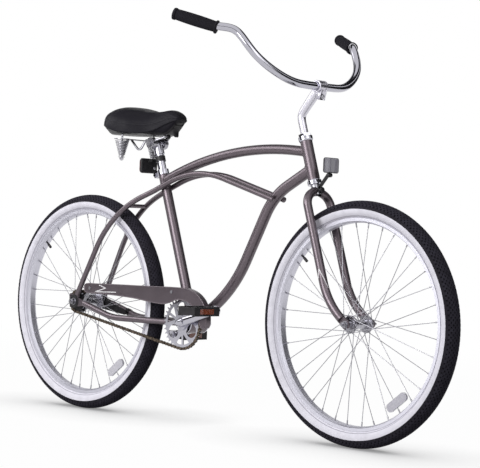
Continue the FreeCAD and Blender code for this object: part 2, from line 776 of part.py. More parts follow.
def dropout():
    """Left dropout: a plate with a slot that opens to the rear and an eyelet behind the stay."""
    inner = REAR_HALF
    outer = REAR_HALF + DROPOUT_SHEET
    stay = from_rear(DROPOUT_STAY_AHEAD, 0, DROPOUT_STAY_ABOVE)
    chain_stay_end = from_rear(CHAIN_STAY_START, 0, -CHAIN_STAY_START_DROP)
    eyelet = from_rear(-EYELET_BACK, 0, EYELET_ABOVE)
    plate = disc_plate(REAR, chain_stay_end, DROPOUT_RADIUS, CHAIN_STAY_RADIUS - TUBE_WALL, inner, outer)
    plate = plate.fuse(disc_plate(REAR, stay, DROPOUT_RADIUS, DROPOUT_STAY_RADIUS, inner, outer))
    plate = plate.fuse(disc_plate(REAR, eyelet, DROPOUT_RADIUS, EYELET_RADIUS, inner, outer))
    slot_half = REAR_AXLE_RADIUS + SLOT_PLAY
    low = from_rear(-DROPOUT_RADIUS - OVERRUN, inner - OVERRUN, -slot_half)
    slot = box(low, from_rear(0, outer + OVERRUN, slot_half))
    past = V(0, OVERRUN, 0)
    slot = slot.fuse(cylinder(slot_half, REAR + V(0, inner, 0) - past, REAR + V(0, outer, 0) + past))
    hole = cylinder(EYELET_BORE, eyelet + V(0, inner, 0) - past, eyelet + V(0, outer, 0) + past)
    return plate.cut(slot).cut(hole).removeSplitter()


def chain_stay_points():
    run = BRACKET.x - REAR.x
    return [
        from_rear(CHAIN_STAY_START, DROPOUT_MIDDLE, -CHAIN_STAY_START_DROP),
        from_rear(run * CHAIN_STAY_DIP_SHARE, CHAIN_STAY_DIP_SPREAD, -BRACKET_DROP),
        from_rear(run * CHAIN_STAY_WHEEL_SHARE, CHAIN_STAY_WHEEL_SPREAD, -BRACKET_DROP),
        from_rear(run * CHAIN_STAY_NECK_SHARE, CHAIN_STAY_END_SPREAD, -BRACKET_DROP),
        BRACKET + V(0, CHAIN_STAY_END_SPREAD, 0),
    ]


def chain_stay_path():
    return bent_path(chain_stay_points(), [CHAIN_STAY_DIP_BEND, CHAIN_STAY_WHEEL_BEND, CHAIN_STAY_NECK_BEND])


def chain_stay():
    walls = tube(chain_stay_path(), CHAIN_STAY_RADIUS, TUBE_WALL).cut(shell_bar())
    return walls.fuse(dropout()).removeSplitter()


def stay_bridges():
    bend = cantilever_path().OrderedEdges[1]
    span = bend.LastParameter - bend.FirstParameter
    upper = bend.valueAt(bend.FirstParameter + span * STAY_BRIDGE_SHARE)
    points = chain_stay_points()
    lower = points[2] + (points[3] - points[2]) * CHAIN_STAY_BRIDGE_SHARE
    bars = []
    for end, path, radius in (
        (upper, cantilever_path(), CANTILEVER_RADIUS),
        (lower, chain_stay_path(), CHAIN_STAY_RADIUS),
    ):
        bar = cylinder(STAY_BRIDGE_RADIUS, V(end.x, -end.y, end.z), end)
        stay = swept(path, radius)
        bars.append(bar.cut(stay).cut(mirrored(stay)))
    return Part.makeCompound(bars)


# Bearings of the headset and the bottom bracket


def headset_cup():
    """Pressed cup in a frame of its own: Z runs into the head tube from the tube's end."""
    seat = HEAD_TUBE_RADIUS - TUBE_WALL
    inner = seat - CUP_WALL
    return turned(
        [
            (CUP_SEAT_DEPTH, seat),
            (0, seat),
            (0, CUP_RADIUS - CUP_WALL),
            (-CUP_FLOOR, CUP_RADIUS),
            (-CUP_HEIGHT, CUP_RADIUS),
            (-CUP_HEIGHT, CUP_RADIUS - CUP_WALL),
            (-CUP_FLOOR, CUP_RADIUS - CUP_WALL),
            (-CUP_FLOOR, inner),
            (CUP_SEAT_DEPTH, inner),
        ]
    )


def bracket_cup():
    """Pressed cup in a frame of its own: Z runs into the shell from the shell's end."""
    seat = SHELL_RADIUS - SHELL_WALL
    inner = seat - CUP_WALL
    return turned(
        [
            (BRACKET_CUP_DEPTH, seat),
            (0, seat),
            (0, SHELL_RADIUS),
            (-BRACKET_CUP_BRIM, SHELL_RADIUS),
            (-BRACKET_CUP_BRIM, inner),
            (BRACKET_CUP_DEPTH - BRACKET_CUP_FLOOR, inner),
            (BRACKET_CUP_DEPTH - BRACKET_CUP_FLOOR, BRACKET_CONE_RADIUS + CLEARANCE),
            (BRACKET_CUP_DEPTH, BRACKET_CONE_RADIUS + CLEARANCE),
        ]
    )


def ball_row(count, ball_radius, row_radius, height):
    """Balls set round the Z axis."""
    balls = []
    for number in range(count):
        angle = 2 * math.pi * number / count
        place = V(row_radius * math.cos(angle), row_radius * math.sin(angle), height)
        balls.append(Part.makeSphere(ball_radius, place))
    return Part.makeCompound(balls)


def headset_frames():
    """Frames at the ends of the head tube, each with Z into the tube."""
    up = STEER.multVec(UPWARD)
    return [along(steering(HEAD_BOTTOM), up), along(steering(HEAD_TOP), up * -1)]


def bracket_frames():
    """Frames at the ends of the shell, each with Z into the shell."""
    side = V(0, SHELL_HALF_WIDTH, 0)
    return [along(BRACKET - side, LEFTWARD), along(BRACKET + side, LEFTWARD * -1)]


def bearings():
    """Pressed cups and their balls."""
    headset_row = CUP_RADIUS - CUP_WALL - HEADSET_BALL_RADIUS
    bracket_row = SHELL_RADIUS - SHELL_WALL - CUP_WALL - BRACKET_BALL_RADIUS
    headset_height = -CUP_FLOOR - HEADSET_BALL_RADIUS
    bracket_height = BRACKET_CUP_DEPTH - BRACKET_CUP_FLOOR - BRACKET_BALL_RADIUS
    solids = []
    for frame in headset_frames():
        balls = ball_row(HEADSET_BALLS, HEADSET_BALL_RADIUS - FIT, headset_row, headset_height)
        solids += [placed(headset_cup(), frame), placed(balls, frame)]
    for frame in bracket_frames():
        balls = ball_row(BRACKET_BALLS, BRACKET_BALL_RADIUS - FIT, bracket_row, bracket_height)
        solids += [placed(bracket_cup(), frame), placed(balls, frame)]
    return Part.makeCompound(solids)


# Seat collar and chain guard


def seat_collar():
    """Split collar round the top of the seat tube, with the bolt through its lugs."""
    outer = SEAT_TUBE_RADIUS + COLLAR_WALL
    bottom = V(0, 0, SEAT_TUBE_LENGTH + COLLAR_LIP - COLLAR_HEIGHT)
    top = V(0, 0, SEAT_TUBE_LENGTH + COLLAR_LIP)
    lug_back = outer + COLLAR_LUG_LENGTH
    band = cylinder(outer, bottom, top)
    lug_side = V(0, COLLAR_LUG_HALF_WIDTH, 0)
    band = band.fuse(box(bottom - V(lug_back, 0, 0) - lug_side, top + lug_side))
    past = V(0, 0, OVERRUN)
    bore = cylinder(SEAT_TUBE_RADIUS, bottom - past, V(0, 0, SEAT_TUBE_LENGTH))
    bore = bore.fuse(cylinder(POST_RADIUS + CLEARANCE, bottom, top + past))
    slit_end = top + past + V(0, COLLAR_SLIT / 2, 0)
    slit = box(bottom - past + V(-lug_back - OVERRUN, -COLLAR_SLIT / 2, 0), slit_end)
    axis = (bottom + top) / 2 + V(-outer - COLLAR_LUG_LENGTH / 2, 0, 0)
    head_place = axis - lug_side
    length = 2 * COLLAR_LUG_HALF_WIDTH + COLLAR_BOLT_HEAD + COLLAR_SLIT
    screw = bolt(COLLAR_BOLT_RADIUS, length, COLLAR_BOLT_FLATS, COLLAR_BOLT_HEAD, head_place, LEFTWARD)
    nut_place = axis + lug_side
    nut = hexagon(COLLAR_BOLT_FLATS, nut_place, nut_place + V(0, COLLAR_BOLT_HEAD, 0)).cut(screw)
    band = band.cut(bore).cut(slit).cut(screw)
    return Part.makeCompound([placed(band, SEAT_FRAME), placed(screw, SEAT_FRAME), placed(nut, SEAT_FRAME)])


def guard_outline(edge):
    """Outline of the guard's plate, or of what lies inside its flange, drawn in from the outer edge."""
    top = GUARD_RISE - edge
    radius = GUARD_RADIUS - edge
    end_angle = math.radians(GUARD_END_ANGLE)
    top_angle = math.asin(top / radius)
    notch_angle = math.pi - math.asin((GUARD_RISE - GUARD_FRONT_DEPTH) / GUARD_NOTCH_RADIUS)
    centre = BRACKET - V(0, GUARD_FACE, 0)
    shoulder = polar(centre, radius, top_angle)
    notch = polar(centre, GUARD_NOTCH_RADIUS, notch_angle)
    inner_end = polar(centre, GUARD_NOTCH_RADIUS, end_angle)
    notch_middle = polar(centre, GUARD_NOTCH_RADIUS, (end_angle + notch_angle) / 2)
    outer_end = polar(centre, radius, end_angle)
    corner = GUARD_TAIL_CORNER
    tail_top = centre + V(corner - GUARD_TAIL, 0, top)
    tail_back = centre + V(-GUARD_TAIL, 0, GUARD_RISE - corner)
    slant = math.radians(135)
    tail_middle = centre + V(corner - GUARD_TAIL, 0, GUARD_RISE - corner)
    tail_middle = tail_middle + V(corner * math.cos(slant), 0, (corner - edge) * math.sin(slant))
    tail_low = centre + V(-GUARD_TAIL, 0, GUARD_RISE - GUARD_TAIL_DEPTH)
    return [
        Part.makeLine(tail_low, tail_back),
        Part.Arc(tail_back, tail_middle, tail_top).toShape(),
        Part.makeLine(tail_top, shoulder),
        Part.Arc(shoulder, polar(centre, radius, (top_angle + end_angle) / 2), outer_end).toShape(),
        Part.makeLine(outer_end, inner_end),
        Part.Arc(inner_end, notch_middle, notch).toShape(),
        Part.makeLine(notch, tail_low),
    ]


def guard_tail_screw():
    return from_bracket(GUARD_TAIL_SCREW_AHEAD - GUARD_TAIL, 0, GUARD_RISE - GUARD_TAIL_SCREW_BELOW)


def guard_arm_height():
    """Height up the seat tube of the bracket that carries the guard's middle."""
    return (GUARD_RISE - GUARD_ARM_BELOW) / math.sin(math.radians(SEAT_ANGLE))


def guard_arm_screw():
    place = seat_line(guard_arm_height())
    return V(place.x, 0, place.z)


def chain_guard():
    """Pressed plate beside the chain with a flange round its upper and front edge."""
    outer = Part.Face(Part.Wire(guard_outline(0)))
    inner = Part.Face(Part.Wire(guard_outline(GUARD_SHEET)))
    plate = outer.extrude(LEFTWARD * GUARD_SHEET)
    rim = outer.cut(inner).extrude(LEFTWARD * GUARD_FLANGE)
    body = plate.fuse(rim)
    for place in (guard_tail_screw(), guard_arm_screw()):
        start = place - V(0, GUARD_FACE + OVERRUN, 0)
        body = body.cut(cylinder(GUARD_SCREW_RADIUS + GAP, start, place))
    return body.removeSplitter()


def chain_guard_mounts():
    """Tab on the right dropout, banded arm on the seat tube, and the two screws."""
    back = GUARD_FACE - GUARD_SHEET
    tail = guard_tail_screw()
    arm = guard_arm_screw()
    half = GUARD_STRAP / 2
    outer = REAR_HALF + DROPOUT_SHEET
    foot = from_rear(CHAIN_STAY_START, 0, -CHAIN_STAY_START_DROP)
    stay = mirrored(swept(chain_stay_path(), CHAIN_STAY_RADIUS))
    tab = disc_plate(foot, tail, half, half, -back, -outer).cut(stay)
    height = guard_arm_height()
    band_half = GUARD_BAND_HEIGHT / 2
    band_radius = SEAT_TUBE_RADIUS + GUARD_BAND_WALL
    band = cylinder(band_radius, seat_line(height - band_half), seat_line(height + band_half))
    reach = box(arm + V(-half, -back, -GUARD_BAND_WALL), arm + V(half, 0, GUARD_BAND_WALL))
    pad = cylinder(half, arm - V(0, back, 0), arm - V(0, back - GUARD_STRAP, 0))
    bar = band.fuse(reach).fuse(pad).cut(cylinder(SEAT_TUBE_RADIUS, BRACKET, seat_line(SEAT_TUBE_LENGTH)))
    screws = []
    for place in (tail, arm):
        face = place - V(0, GUARD_FACE, 0)
        head = cylinder(GUARD_SCREW_HEAD_RADIUS, face - V(0, GUARD_SCREW_HEAD, 0), face)
        shank = cylinder(GUARD_SCREW_RADIUS, face, place - V(0, outer, 0))
        screws.append(head.fuse(shank).removeSplitter())
    return Part.makeCompound([tab.cut(screws[0]), bar.cut(screws[1]).removeSplitter(), *screws])


# Chain, chainring and sprocket


def chain_pins():
    """Pin places in order along the taut chain, and the angle of a roller on each of the two sprockets."""
    straight, slope, ring_wrap, sprocket_wrap = chain_runs(CENTRES)
    heading = math.atan2(REAR.z - BRACKET.z, REAR.x - BRACKET.x)
    upper = heading - math.pi / 2 + slope
    lower = heading + math.pi / 2 - slope
    ring_radius = pitch_radius(CHAINRING_TEETH)
    sprocket_radius = pitch_radius(SPROCKET_TEETH)
    ring_turn = 2 * math.pi / (CHAINRING_TEETH * CHAIN_PITCH)
    sprocket_turn = 2 * math.pi / (SPROCKET_TEETH * CHAIN_PITCH)
    sprocket_angle = None
    pins = []
    for number in range(CHAIN_LINKS):
        way = number * CHAIN_PITCH
        if way <= ring_wrap:
            pins.append(polar(BRACKET, ring_radius, upper - way * ring_turn))
            continue
        way -= ring_wrap
        if way <= straight:
            share = way / straight
            start = polar(BRACKET, ring_radius, lower)
            pins.append(start + (polar(REAR, sprocket_radius, lower) - start) * share)
            continue
        way -= straight
        if way <= sprocket_wrap:
            if sprocket_angle is None:
                sprocket_angle = lower - way * sprocket_turn
            pins.append(polar(REAR, sprocket_radius, lower - way * sprocket_turn))
            continue
        share = (way - sprocket_wrap) / straight
        start = polar(REAR, sprocket_radius, upper)
        pins.append(start + (polar(BRACKET, ring_radius, upper) - start) * share)
    return pins, upper, sprocket_angle


def link_plate(near):
    """Waisted plate between two pins on the X axis, from one side place outwards."""
    half = CHAIN_PITCH / 2
    meet = LINK_HALF_HEIGHT * LINK_WAIST_SHARE
    rise = math.sqrt(LINK_HALF_HEIGHT**2 - meet**2)
    corner = V(half - meet, near, rise)

    def at(sign_x, sign_z):
        return V(corner.x * sign_x, near, corner.z * sign_z)

    edges = [
        Part.Arc(at(1, 1), V(half + LINK_HALF_HEIGHT, near, 0), at(1, -1)).toShape(),
        Part.Arc(at(1, -1), V(0, near, -LINK_WAIST), at(-1, -1)).toShape(),
        Part.Arc(at(-1, -1), V(-half - LINK_HALF_HEIGHT, near, 0), at(-1, 1)).toShape(),
        Part.Arc(at(-1, 1), V(0, near, LINK_WAIST), at(1, 1)).toShape(),
    ]
    return Part.Face(Part.Wire(edges)).extrude(LEFTWARD * LINK_PLATE)


def inner_link():
    """Two inner plates joined by their rollers."""
    outside = CHAIN_INNER_HALF_WIDTH + LINK_PLATE
    body = link_plate(CHAIN_INNER_HALF_WIDTH).fuse(link_plate(-outside))
    for end in (-CHAIN_PITCH / 2, CHAIN_PITCH / 2):
        side = V(0, CHAIN_INNER_HALF_WIDTH, 0)
        past = V(0, outside + OVERRUN, 0)
        body = body.fuse(cylinder(ROLLER_RADIUS, V(end, 0, 0) - side, V(end, 0, 0) + side))
        body = body.cut(cylinder(PIN_RADIUS + PIN_PLAY, V(end, 0, 0) - past, V(end, 0, 0) + past))
    return body


def outer_link():
    """Two outer plates joined by their pins."""
    inside = CHAIN_INNER_HALF_WIDTH + LINK_PLATE + LINK_PLATE_GAP
    body = link_plate(inside).fuse(link_plate(-inside - LINK_PLATE))
    for end in (-CHAIN_PITCH / 2, CHAIN_PITCH / 2):
        side = V(0, inside + LINK_PLATE + PIN_HEAD, 0)
        body = body.fuse(cylinder(PIN_RADIUS, V(end, 0, 0) - side, V(end, 0, 0) + side))
    return body


def chain():
    kinds = (outer_link(), inner_link())
    pins, _, _ = chain_pins()
    links = []
    for number, pin in enumerate(pins):
        after = pins[(number + 1) % CHAIN_LINKS]
        run = after - pin
        tilt = FreeCAD.Rotation(LEFTWARD, -math.degrees(math.atan2(run.z, run.x)))
        place = (pin + after) / 2 - V(0, CHAIN_LINE, 0)
        links.append(placed(kinds[number % 2], FreeCAD.Placement(place, tilt)))
    return Part.makeCompound(links)


def toothed_plate(centre, teeth, first_angle):
    """Sprocket plate on the chain line, with a roller seat at the first angle."""
    near = centre - V(0, CHAIN_LINE + SPROCKET_SHEET / 2, 0)
    radius = pitch_radius(teeth)
    seat = ROLLER_RADIUS + SEAT_PLAY
    spread = math.radians(SEAT_SPREAD)
    step = 2 * math.pi / teeth
    tip_half = step * TOOTH_TIP_SHARE / 2
    corners = []
    for number in range(teeth):
        angle = first_angle + number * step
        roller = polar(near, radius, angle)
        entry = polar(roller, seat, angle + math.pi + spread)
        floor = polar(roller, seat, angle + math.pi)
        leave = polar(roller, seat, angle + math.pi - spread)
        rise = polar(near, radius + TOOTH_HEIGHT, angle + step / 2 - tip_half)
        fall = polar(near, radius + TOOTH_HEIGHT, angle + step / 2 + tip_half)
        corners.append((entry, floor, leave, rise, fall))
    edges = []
    for number, (entry, floor, leave, rise, fall) in enumerate(corners):
        following = corners[(number + 1) % teeth][0]
        edges.append(Part.Arc(entry, floor, leave).toShape())
        edges += [Part.makeLine(leave, rise), Part.makeLine(rise, fall), Part.makeLine(fall, following)]
    return Part.Face(Part.Wire(edges)).extrude(LEFTWARD * SPROCKET_SHEET)


def chainring():
    """Stamped chainring: round holes, and between them windows that an arm splits."""
    _, ring_angle, _ = chain_pins()
    plate = toothed_plate(BRACKET, CHAINRING_TEETH, ring_angle)
    low = BRACKET - V(0, CHAIN_LINE + SPROCKET_SHEET, 0)
    depth = V(0, 2 * SPROCKET_SHEET, 0)
    plate = plate.cut(cylinder(SPINDLE_RADIUS, low, low + depth))
    for number in range(CHAINRING_HOLES):
        angle = math.radians(CHAINRING_HOLE_ANGLE + 360 * number / CHAINRING_HOLES)
        hole = polar(low, CHAINRING_HOLE_CIRCLE, angle)
        plate = plate.cut(cylinder(CHAINRING_HOLE_RADIUS, hole, hole + depth))
        plate = plate.cut(chainring_window(low, depth, angle + math.pi / CHAINRING_HOLES))
    return plate


def chainring_window(low, depth, middle):
    """Ring-shaped window with an arm left standing across its middle."""
    half = math.radians(CHAINRING_WINDOW_SPREAD / 2)
    outer = CHAINRING_WINDOW_OUTER
    inner = CHAINRING_WINDOW_INNER
    edges = [
        Part.Arc(
            polar(low, outer, middle - half), polar(low, outer, middle), polar(low, outer, middle + half)
        ).toShape(),
        Part.makeLine(polar(low, outer, middle + half), polar(low, inner, middle)),
        Part.makeLine(polar(low, inner, middle), polar(low, outer, middle - half)),
    ]
    window = Part.Face(Part.Wire(edges)).extrude(depth)
    arm = box(V(0, 0, -CHAINRING_ARM_WIDTH / 2), V(outer + OVERRUN, depth.y, CHAINRING_ARM_WIDTH / 2))
    turn = FreeCAD.Rotation(LEFTWARD, -math.degrees(middle))
    return window.cut(placed(arm, FreeCAD.Placement(low, turn)))


def driver_sprocket():
    """Coaster driver on the axle with the sprocket pressed on it."""
    _, _, sprocket_angle = chain_pins()
    outer = CHAIN_LINE + SPROCKET_SHEET
    step = SPROCKET_SHEET / 2
    bore = REAR_AXLE_RADIUS + FIT
    driver = turned(
        [
            (-outer, DRIVER_RADIUS - step),
            (-outer, bore),
            (DRIVER_LENGTH - outer, bore),
            (DRIVER_LENGTH - outer, DRIVER_RADIUS),
            (-CHAIN_LINE + step, DRIVER_RADIUS),
            (-CHAIN_LINE + step, DRIVER_RADIUS - step),
        ]
    )
    driver = placed(driver, REAR_FRAME)
    sprocket = toothed_plate(REAR, SPROCKET_TEETH, sprocket_angle)
    low = REAR - V(0, CHAIN_LINE + SPROCKET_SHEET, 0)
    sprocket = sprocket.cut(cylinder(DRIVER_RADIUS - step, low, low + V(0, 2 * SPROCKET_SHEET, 0)))
    return Part.makeCompound([driver, sprocket])


# Wheels, built about their own axle with Z across the bicycle


def tyre():
    """Open carcass with a raised tread, its beads held between the rim's flanges."""
    carcass = TYRE_SECTION_RADIUS - TREAD_DEPTH
    inside = carcass - TYRE_WALL
    edge = math.radians(TREAD_SPREAD)
    bead = math.pi - math.asin(TYRE_BEAD_HALF_WIDTH / carcass)
    inner_bead = math.pi - math.asin((TYRE_BEAD_HALF_WIDTH - TYRE_WALL) / inside)
    foot = RIM_SEAT_RADIUS + GAP

    def at(radius, angle):
        return V(TYRE_CENTRE_RADIUS + radius * math.cos(angle), 0, radius * math.sin(angle))

    def arc(radius, start, end):
        return Part.Arc(at(radius, start), at(radius, (start + end) / 2), at(radius, end)).toShape()

    def drop(point):
        return V(foot, 0, point.z)

    outer_left = at(carcass, bead)
    outer_right = at(carcass, -bead)
    inner_left = at(inside, inner_bead)
    inner_right = at(inside, -inner_bead)
    edges = [
        arc(carcass, bead, edge),
        Part.makeLine(at(carcass, edge), at(TYRE_SECTION_RADIUS, edge)),
        arc(TYRE_SECTION_RADIUS, edge, -edge),
        Part.makeLine(at(TYRE_SECTION_RADIUS, -edge), at(carcass, -edge)),
        arc(carcass, -edge, -bead),
        Part.makeLine(outer_right, drop(outer_right)),
        Part.makeLine(drop(outer_right), drop(inner_right)),
        Part.makeLine(drop(inner_right), inner_right),
        arc(inside, -inner_bead, inner_bead),
        Part.makeLine(inner_left, drop(inner_left)),
        Part.makeLine(drop(inner_left), drop(outer_left)),
        Part.makeLine(drop(outer_left), outer_left),
    ]
    return Part.Face(Part.Wire(edges)).revolve(ORIGIN, UPWARD, 360)


def rim():
    """Alloy rim with two bead flanges, a drop well and a hole for the valve."""
    top = RIM_SEAT_RADIUS + RIM_FLANGE_HEIGHT
    inner = RIM_HALF_WIDTH - RIM_FLANGE
    well = RIM_SEAT_RADIUS - RIM_WELL_DEPTH
    right = [
        (RIM_FLOOR_HALF_WIDTH, RIM_INNER_RADIUS),
        (RIM_HALF_WIDTH, RIM_INNER_RADIUS + RIM_SIDE_HEIGHT),
        (RIM_HALF_WIDTH, top),
        (inner, top),
        (inner, RIM_SEAT_RADIUS),
        (RIM_WELL_HALF_WIDTH + RIM_WELL_SLOPE, RIM_SEAT_RADIUS),
        (RIM_WELL_HALF_WIDTH, well),
    ]
    left = [(-place, radius) for place, radius in reversed(right)]
    angle = math.radians(-VALVE_ANGLE)
    away = V(math.cos(angle), math.sin(angle), 0)
    hole = cylinder(VALVE_RADIUS + GAP, away * (RIM_INNER_RADIUS - OVERRUN), away * RIM_SEAT_RADIUS)
    return turned(right + left).cut(hole)


def inner_tube():
    """Hollow rubber ring inside the tyre, with its valve through the rim."""
    radius = TYRE_SECTION_RADIUS - TREAD_DEPTH - TYRE_WALL - GAP
    bore = radius - TUBE_RUBBER
    angle = math.radians(-VALVE_ANGLE)
    away = V(math.cos(angle), math.sin(angle), 0)
    tip = RIM_INNER_RADIUS - VALVE_REACH
    valve = cylinder(VALVE_RADIUS, away * tip, away * TYRE_CENTRE_RADIUS)
    valve = valve.fuse(cylinder(VALVE_CAP_RADIUS, away * tip, away * (tip + VALVE_CAP_LENGTH)))
    skin = Part.makeTorus(TYRE_CENTRE_RADIUS, radius)
    return skin.fuse(valve).cut(Part.makeTorus(TYRE_CENTRE_RADIUS, bore))


def spokes(hole_circle, flange_places):
    """Spokes with heads, elbows and nipples, crossed three times on each side."""
    lean = math.radians(SPOKE_LEAN)
    step = 2 * math.pi / (4 * SPOKES_PER_KIND)
    stand_off = HUB_FLANGE / 2 + SPOKE_RADIUS + SPOKE_STAND_OFF
    solids = []
    for side, flange in flange_places.items():
        for kind, way in enumerate((-1, 1)):
            start_angle = step * (SPOKE_PHASE_SHARE + (1 - side) / 2 + 2 * kind)
            hub_angle = start_angle + way * lean
            place = side * flange + way * stand_off
            start = V(hole_circle * math.cos(hub_angle), hole_circle * math.sin(hub_angle), place)
            reach = RIM_INNER_RADIUS - GAP
            end = V(reach * math.cos(start_angle), reach * math.sin(start_angle), side * RIM_HOLE_OFFSET)
            run = (end - start).normalize()
            elbow = V(start.x, start.y, side * flange - way * HUB_FLANGE / 2)
            head = elbow - V(0, 0, way * SPOKE_HEAD_LENGTH)
            spoke = cylinder(SPOKE_RADIUS, start, end).fuse(cylinder(SPOKE_RADIUS, start, elbow))
            spoke = spoke.fuse(Part.makeSphere(SPOKE_RADIUS, start))
            spoke = spoke.fuse(cylinder(SPOKE_HEAD_RADIUS, elbow, head))
            spoke = spoke.fuse(cylinder(NIPPLE_RADIUS, end - run * NIPPLE_LENGTH, end))
            for number in range(SPOKES_PER_KIND):
                turn = FreeCAD.Rotation(UPWARD, 360 * number / SPOKES_PER_KIND)
                solids.append(placed(spoke, FreeCAD.Placement(ORIGIN, turn)))
    return Part.makeCompound(solids)


def spoke_holes(hole_circle, flange_places):
    """Bars that cut the spoke holes in a hub's flanges."""
    lean = math.radians(SPOKE_LEAN)
    step = 2 * math.pi / (4 * SPOKES_PER_KIND)
    reach = UPWARD * (HUB_FLANGE / 2 + OVERRUN)
    bars = []
    for side, flange in flange_places.items():
        for kind, way in enumerate((-1, 1)):
            for number in range(SPOKES_PER_KIND):
                angle = step * (SPOKE_PHASE_SHARE + (1 - side) / 2 + 2 * kind + 4 * number) + way * lean
                place = V(hole_circle * math.cos(angle), hole_circle * math.sin(angle), side * flange)
                bars.append(cylinder(SPOKE_RADIUS + SPOKE_HOLE_PLAY, place - reach, place + reach))
    return Part.makeCompound(bars)


def front_hub():
    """Narrow hub whose two mouths run on the axle's cones."""
    end = FRONT_FLANGE_PLACE + FRONT_MOUTH_REACH
    flange = HUB_FLANGE / 2
    mouth = FRONT_CONE_RADIUS + FIT
    right = [
        (FRONT_FLANGE_PLACE - flange - FRONT_MOUTH_REACH, FRONT_BARREL_RADIUS),
        (FRONT_FLANGE_PLACE - flange, FRONT_MOUTH_RADIUS),
        (FRONT_FLANGE_PLACE - flange, FRONT_FLANGE_RADIUS),
        (FRONT_FLANGE_PLACE + flange, FRONT_FLANGE_RADIUS),
        (FRONT_FLANGE_PLACE + flange, FRONT_MOUTH_RADIUS),
        (end, FRONT_MOUTH_RADIUS - flange),
        (end, mouth),
    ]
    left = [(-place, radius) for place, radius in reversed(right)]
    return turned(right + left).cut(spoke_holes(FRONT_HOLE_CIRCLE, front_flanges()))


def front_flanges():
    return {RIGHT: FRONT_FLANGE_PLACE, LEFT: FRONT_FLANGE_PLACE}


def hub_end():
    """Distance from the middle plane to the rear hub's left mouth."""
    return REAR_FLANGE_PLACES[LEFT] + REAR_MOUTH_REACH


def rear_hub_shell():
    """Coaster hub shell that runs on the driver to the right and on the brake cone to the left."""
    flange = HUB_FLANGE / 2
    right = REAR_FLANGE_PLACES[RIGHT]
    left = REAR_FLANGE_PLACES[LEFT]
    right_end = right + REAR_MOUTH_REACH
    left_end = hub_end()
    driver_end = CHAIN_LINE + SPROCKET_SHEET - DRIVER_LENGTH
    cone_end = left_end - BRAKE_CONE_LENGTH
    outline = [
        (-right_end, REAR_MOUTH_RADIUS - flange),
        (-right - flange, REAR_MOUTH_RADIUS),
        (-right - flange, REAR_FLANGE_RADIUS),
        (-right + flange, REAR_FLANGE_RADIUS),
        (-right + flange, REAR_BARREL_RADIUS),
        (left - flange, REAR_BARREL_RADIUS),
        (left - flange, REAR_FLANGE_RADIUS),
        (left + flange, REAR_FLANGE_RADIUS),
        (left + flange, REAR_MOUTH_RADIUS),
        (left_end, REAR_MOUTH_RADIUS - flange),
        (left_end, BRAKE_CONE_RADIUS + FIT),
        (cone_end, BRAKE_CONE_RADIUS + FIT),
        (cone_end, HUB_CAVITY_RADIUS),
        (-driver_end, HUB_CAVITY_RADIUS),
        (-driver_end, DRIVER_RADIUS + FIT),
        (-right_end, DRIVER_RADIUS + FIT),
    ]
    return turned(outline).cut(spoke_holes(REAR_HOLE_CIRCLE, REAR_FLANGE_PLACES))


def spoke_reflector(hole_circle, flange):
    """Oblong reflector clipped on the right side of the spokes."""
    low = SPOKE_REFLECTOR_RADIUS - SPOKE_REFLECTOR_HEIGHT / 2
    share = (low - hole_circle) / (RIM_INNER_RADIUS - hole_circle)
    outermost = flange + HUB_FLANGE / 2 + SPOKE_RADIUS + SPOKE_STAND_OFF
    spoke_place = outermost + (RIM_HOLE_OFFSET - outermost) * share
    plate = rounded_plate(
        SPOKE_REFLECTOR_LENGTH, SPOKE_REFLECTOR_HEIGHT, SPOKE_REFLECTOR_CORNER, SPOKE_REFLECTOR_THICKNESS
    )
    stand = FreeCAD.Placement(ORIGIN, FreeCAD.Rotation(LEFTWARD, 90))
    lying = placed(plate, stand)
    depth = -spoke_place - SPOKE_RADIUS - GAP
    lifted = FreeCAD.Placement(V(SPOKE_REFLECTOR_RADIUS, 0, depth), FreeCAD.Rotation())
    turn = FreeCAD.Placement(ORIGIN, FreeCAD.Rotation(UPWARD, -SPOKE_REFLECTOR_ANGLE))
    return placed(placed(lying, lifted), turn)


# Axles, cones, nuts and the coaster brake


def axle_nuts(centre, axle_radius, flats, outside):
    """Washer and nut on both ends of an axle, outside a pair of plates."""
    solids = []
    for side in (RIGHT, LEFT):
        out = V(0, side, 0)
        face = centre + out * outside
        top = face + out * WASHER
        solids.append(ring(axle_radius + WASHER_BRIM, axle_radius, face, top))
        nut = hexagon(flats, top, top + out * AXLE_NUT_HEIGHT)
        solids.append(nut.cut(cylinder(axle_radius, face, top + out * (AXLE_NUT_HEIGHT + OVERRUN))))
    return solids


def axle_bar(centre, axle_radius, outside):
    """Threaded axle that stands past its nuts on both sides, with turned tips."""
    thread = V(0, outside + WASHER + AXLE_NUT_HEIGHT + AXLE_THREAD_END, 0)
    reach = thread + V(0, AXLE_TIP, 0)
    tips = cylinder(axle_radius * AXLE_TIP_SHARE, centre - reach, centre + reach)
    return cylinder(axle_radius, centre - thread, centre + thread).fuse(tips)


def front_axle():
    """Axle, bearing cones, locknuts, washers and nuts."""
    outside = FRONT_HALF + FORK_END_SHEET
    solids = [axle_bar(FRONT, FRONT_AXLE_RADIUS, outside)]
    cone_start = FRONT_FLANGE_PLACE - FRONT_CONE_REACH
    cone_end = FRONT_FLANGE_PLACE + FRONT_MOUTH_REACH + FRONT_CONE_REACH
    for side in (RIGHT, LEFT):
        out = V(0, side, 0)
        face = FRONT + out * cone_end
        solids.append(ring(FRONT_CONE_RADIUS, FRONT_AXLE_RADIUS, FRONT + out * cone_start, face))
        solids.append(ring(FRONT_LOCKNUT_RADIUS, FRONT_AXLE_RADIUS, face, FRONT + out * FRONT_HALF))
    return Part.makeCompound(solids + axle_nuts(FRONT, FRONT_AXLE_RADIUS, FRONT_NUT_FLATS, outside))


def brake_arm_place():
    """Distance from the middle plane to the inner face of the brake arm."""
    return hub_end() + CLEARANCE


